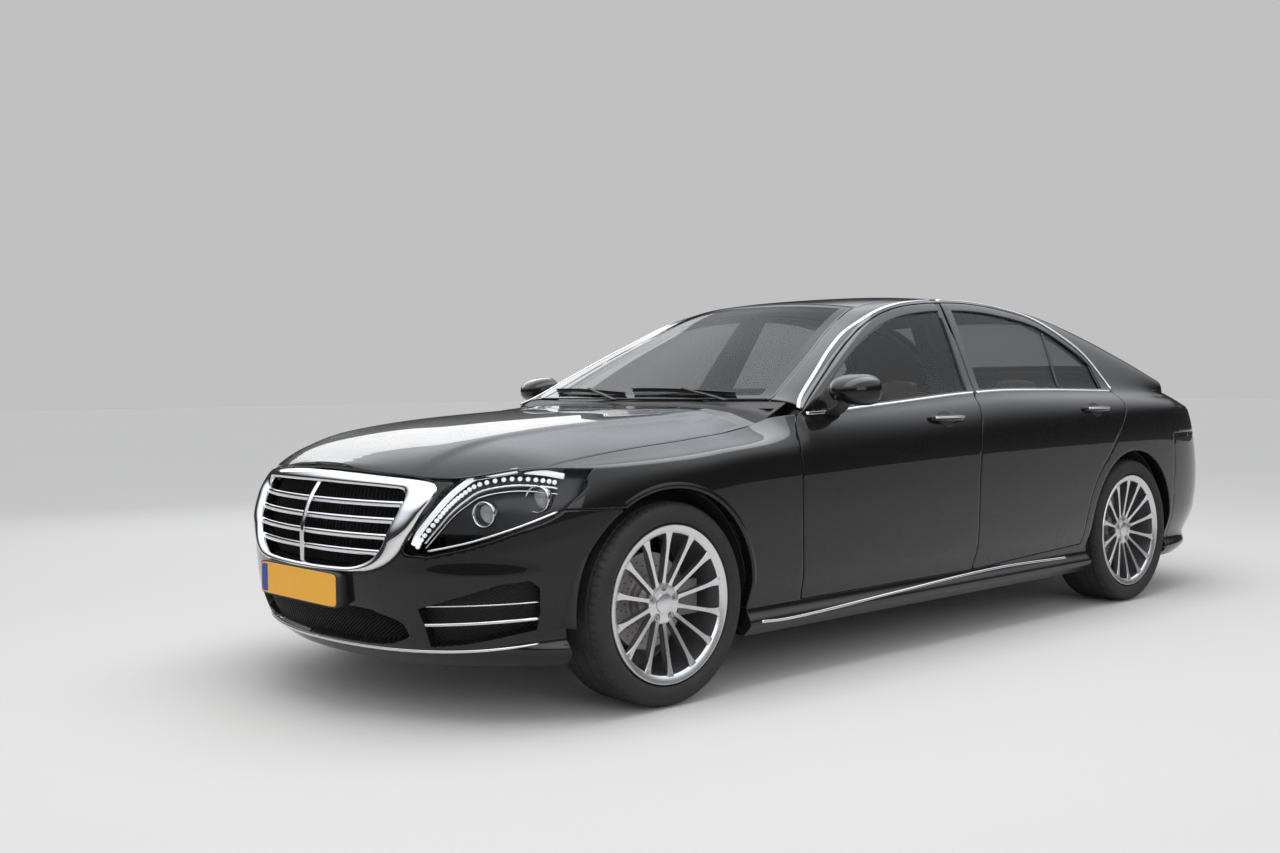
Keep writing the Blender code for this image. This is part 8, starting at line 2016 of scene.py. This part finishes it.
# Carpet: a soft grey-brown pile that follows the floor pan between the sills.
carpet = Finish("carpet", Base_Color=(0.045, 0.036, 0.030, 1.0), Roughness=0.95)
carpet.bump(carpet.noise(700.0, 4.0), 0.003)
carpet.feed("Base Color", carpet.blend(carpet.noise(30.0), (0.035, 0.028, 0.023, 1.0), (0.060, 0.048, 0.040, 1.0)))
carpet_x, carpet_y = np.meshgrid(np.linspace(-0.60, 0.95, 60), np.linspace(-0.735, 0.735, 60), indexing="ij")
tunnel = np.clip((0.150 - np.abs(carpet_y)) / 0.075, 0.0, 1.0)
carpet_grid = np.stack([carpet_x, carpet_y, FLOOR_Z + 0.006 + 0.110 * tunnel], axis=-1)
thick(piece_on("body", "carpet", grid_shape(carpet_grid, UP), carpet), 0.003)

# Door furniture inside: a padded armrest with a bright pull, a wood band and a leather pocket on each door.
REST_Z, WOOD_Z, PULL_Z = 0.655, 0.850, 0.765
for end, bodies, x0, x1 in (("front", FRONT_DOORS, 0.66, -0.06), ("rear", REAR_DOORS, -0.33, -0.92)):
    corners = coordinates(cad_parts[f"{end}_door_left"].data.vertices)
    face_y = float(corners[np.abs(corners[:, 2] - 0.62) < 0.30, 1].min())
    share = np.linspace(0.0, 1.0, 30)
    swell = np.sin(math.pi * np.clip(share, 0.015, 0.985)) ** 0.22
    rest_line = np.linspace((x0, face_y - 0.014, REST_Z - 0.030), (x1, face_y - 0.014, REST_Z), 30)
    for rest in pair(f"{end}_armrest", tube(rest_line, swell[:, None] * (0.034, 0.036), 24), door_leather, bodies):
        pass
    band_line = np.linspace((x0 + 0.10, face_y + 0.001, WOOD_Z), (x1 - 0.02, face_y + 0.001, WOOD_Z), 30)
    band_sizes = np.stack([np.full(30, 0.005), 0.026 * swell], axis=1)
    pair(f"{end}_door_wood", tube(band_line, band_sizes, 16), wood, bodies)
    pull_line = np.stack([x0 + 0.02 - 0.12 * share, face_y - 0.006 - 0.020 * np.sin(math.pi * share),
                          np.full(30, PULL_Z)], axis=1)
    pair(f"{end}_door_pull", tube(pull_line, (0.004, 0.009), 10), chrome, bodies)
    pocket_x, pocket_y = x0 + (x1 - x0) * share, face_y - 0.006 - 0.022 * swell
    pocket_rings = [np.stack([pocket_x, pocket_y + lean, np.full(30, z)], axis=1)
                    for z, lean in ((0.335, 0.020), (0.345, 0.004), (0.44, 0.0), (0.452, 0.004))]
    for piece in pair(f"{end}_door_pocket", grid_shape(np.stack(pocket_rings, axis=1), (0.0, -1.0, 0.0)),
                      door_leather, bodies):
        thick(piece, 0.004)

# Underside and engine bay: the CAD pieces keep their shapes. The floor is sprayed with a rough dark coating,
# the castings are grey, and the exhaust is steel that heat has browned.
coating = Finish("underseal", Base_Color=(0.022, 0.021, 0.020, 1.0), Roughness=0.85)
coating.bump(coating.noise(220.0, 4.0), 0.0015)
coating.feed("Base Color", coating.blend(coating.noise(5.0), (0.016, 0.015, 0.015, 1.0), (0.045, 0.040, 0.035, 1.0)))
casting = Finish("casting", Base_Color=(0.26, 0.26, 0.26, 1.0), Roughness=0.55, Metallic=0.7)
casting.bump(casting.noise(500.0, 3.0), 0.0008)
casting.feed("Base Color", casting.blend(casting.noise(9.0), (0.18, 0.18, 0.18, 1.0), (0.33, 0.32, 0.31, 1.0)))
heated = Finish("exhaust_steel", Base_Color=(0.30, 0.26, 0.22, 1.0), Roughness=0.45, Metallic=0.85)
heated.feed("Base Color", heated.blend(heated.noise(7.0), (0.36, 0.33, 0.30, 1.0), (0.20, 0.13, 0.09, 1.0)))
heated.feed("Roughness", 0.35 + 0.30 * heated.noise(25.0))
for node_name, finish in (("engine", casting), ("underbody", coating), ("front_structure", coating),
                          ("exhaust", heated), ("rear_axle", coating), ("knuckle_left", casting),
                          ("knuckle_right", casting)):
    for cast_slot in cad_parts[node_name].material_slots:
        cast_slot.material = finish.material

# Arch liners: moulded black shells round the wheels, over the tyres from sill to bumper. The front ones bulge
# ahead of and behind the wheel, where its tyre swings when it is steered.
turn = np.radians(np.linspace(-5.0, 185.0, 60))
for end, axle_x, lip_y, inner_y, inner_r, bulge in (
        ("front", FRONT_AXLE_X, (0.895, 0.890), 0.49, ARCH_RADIUS - 0.015, 0.036),
        ("rear", REAR_AXLE_X, (0.880, 0.880), 0.60, ARCH_RADIUS - 0.10, 0.0)):
    liner_y = np.array(lip_y + (0.870, 0.800, 0.720, inner_y, inner_y - 0.005))
    liner_r = ARCH_RADIUS + np.array((0.0015, 0.010, 0.012, 0.012, 0.012, 0.012, inner_r - ARCH_RADIUS))
    radius = liner_r + bulge * np.array((0.0, 0.0, 0.0, 0.65, 1.0, 1.0, 0.0)) * np.cos(turn)[:, None] ** 2
    grid = np.stack([axle_x + np.cos(turn)[:, None] * radius, np.broadcast_to(liner_y, radius.shape),
                     TYRE_RADIUS + np.sin(turn)[:, None] * radius], axis=-1)
    for liner in pair(f"arch_liner_{end}", grid_shape(grid, (0.0, 0.0, -1.0)), coating, ("body", "body")):
        thick(liner, 0.002)
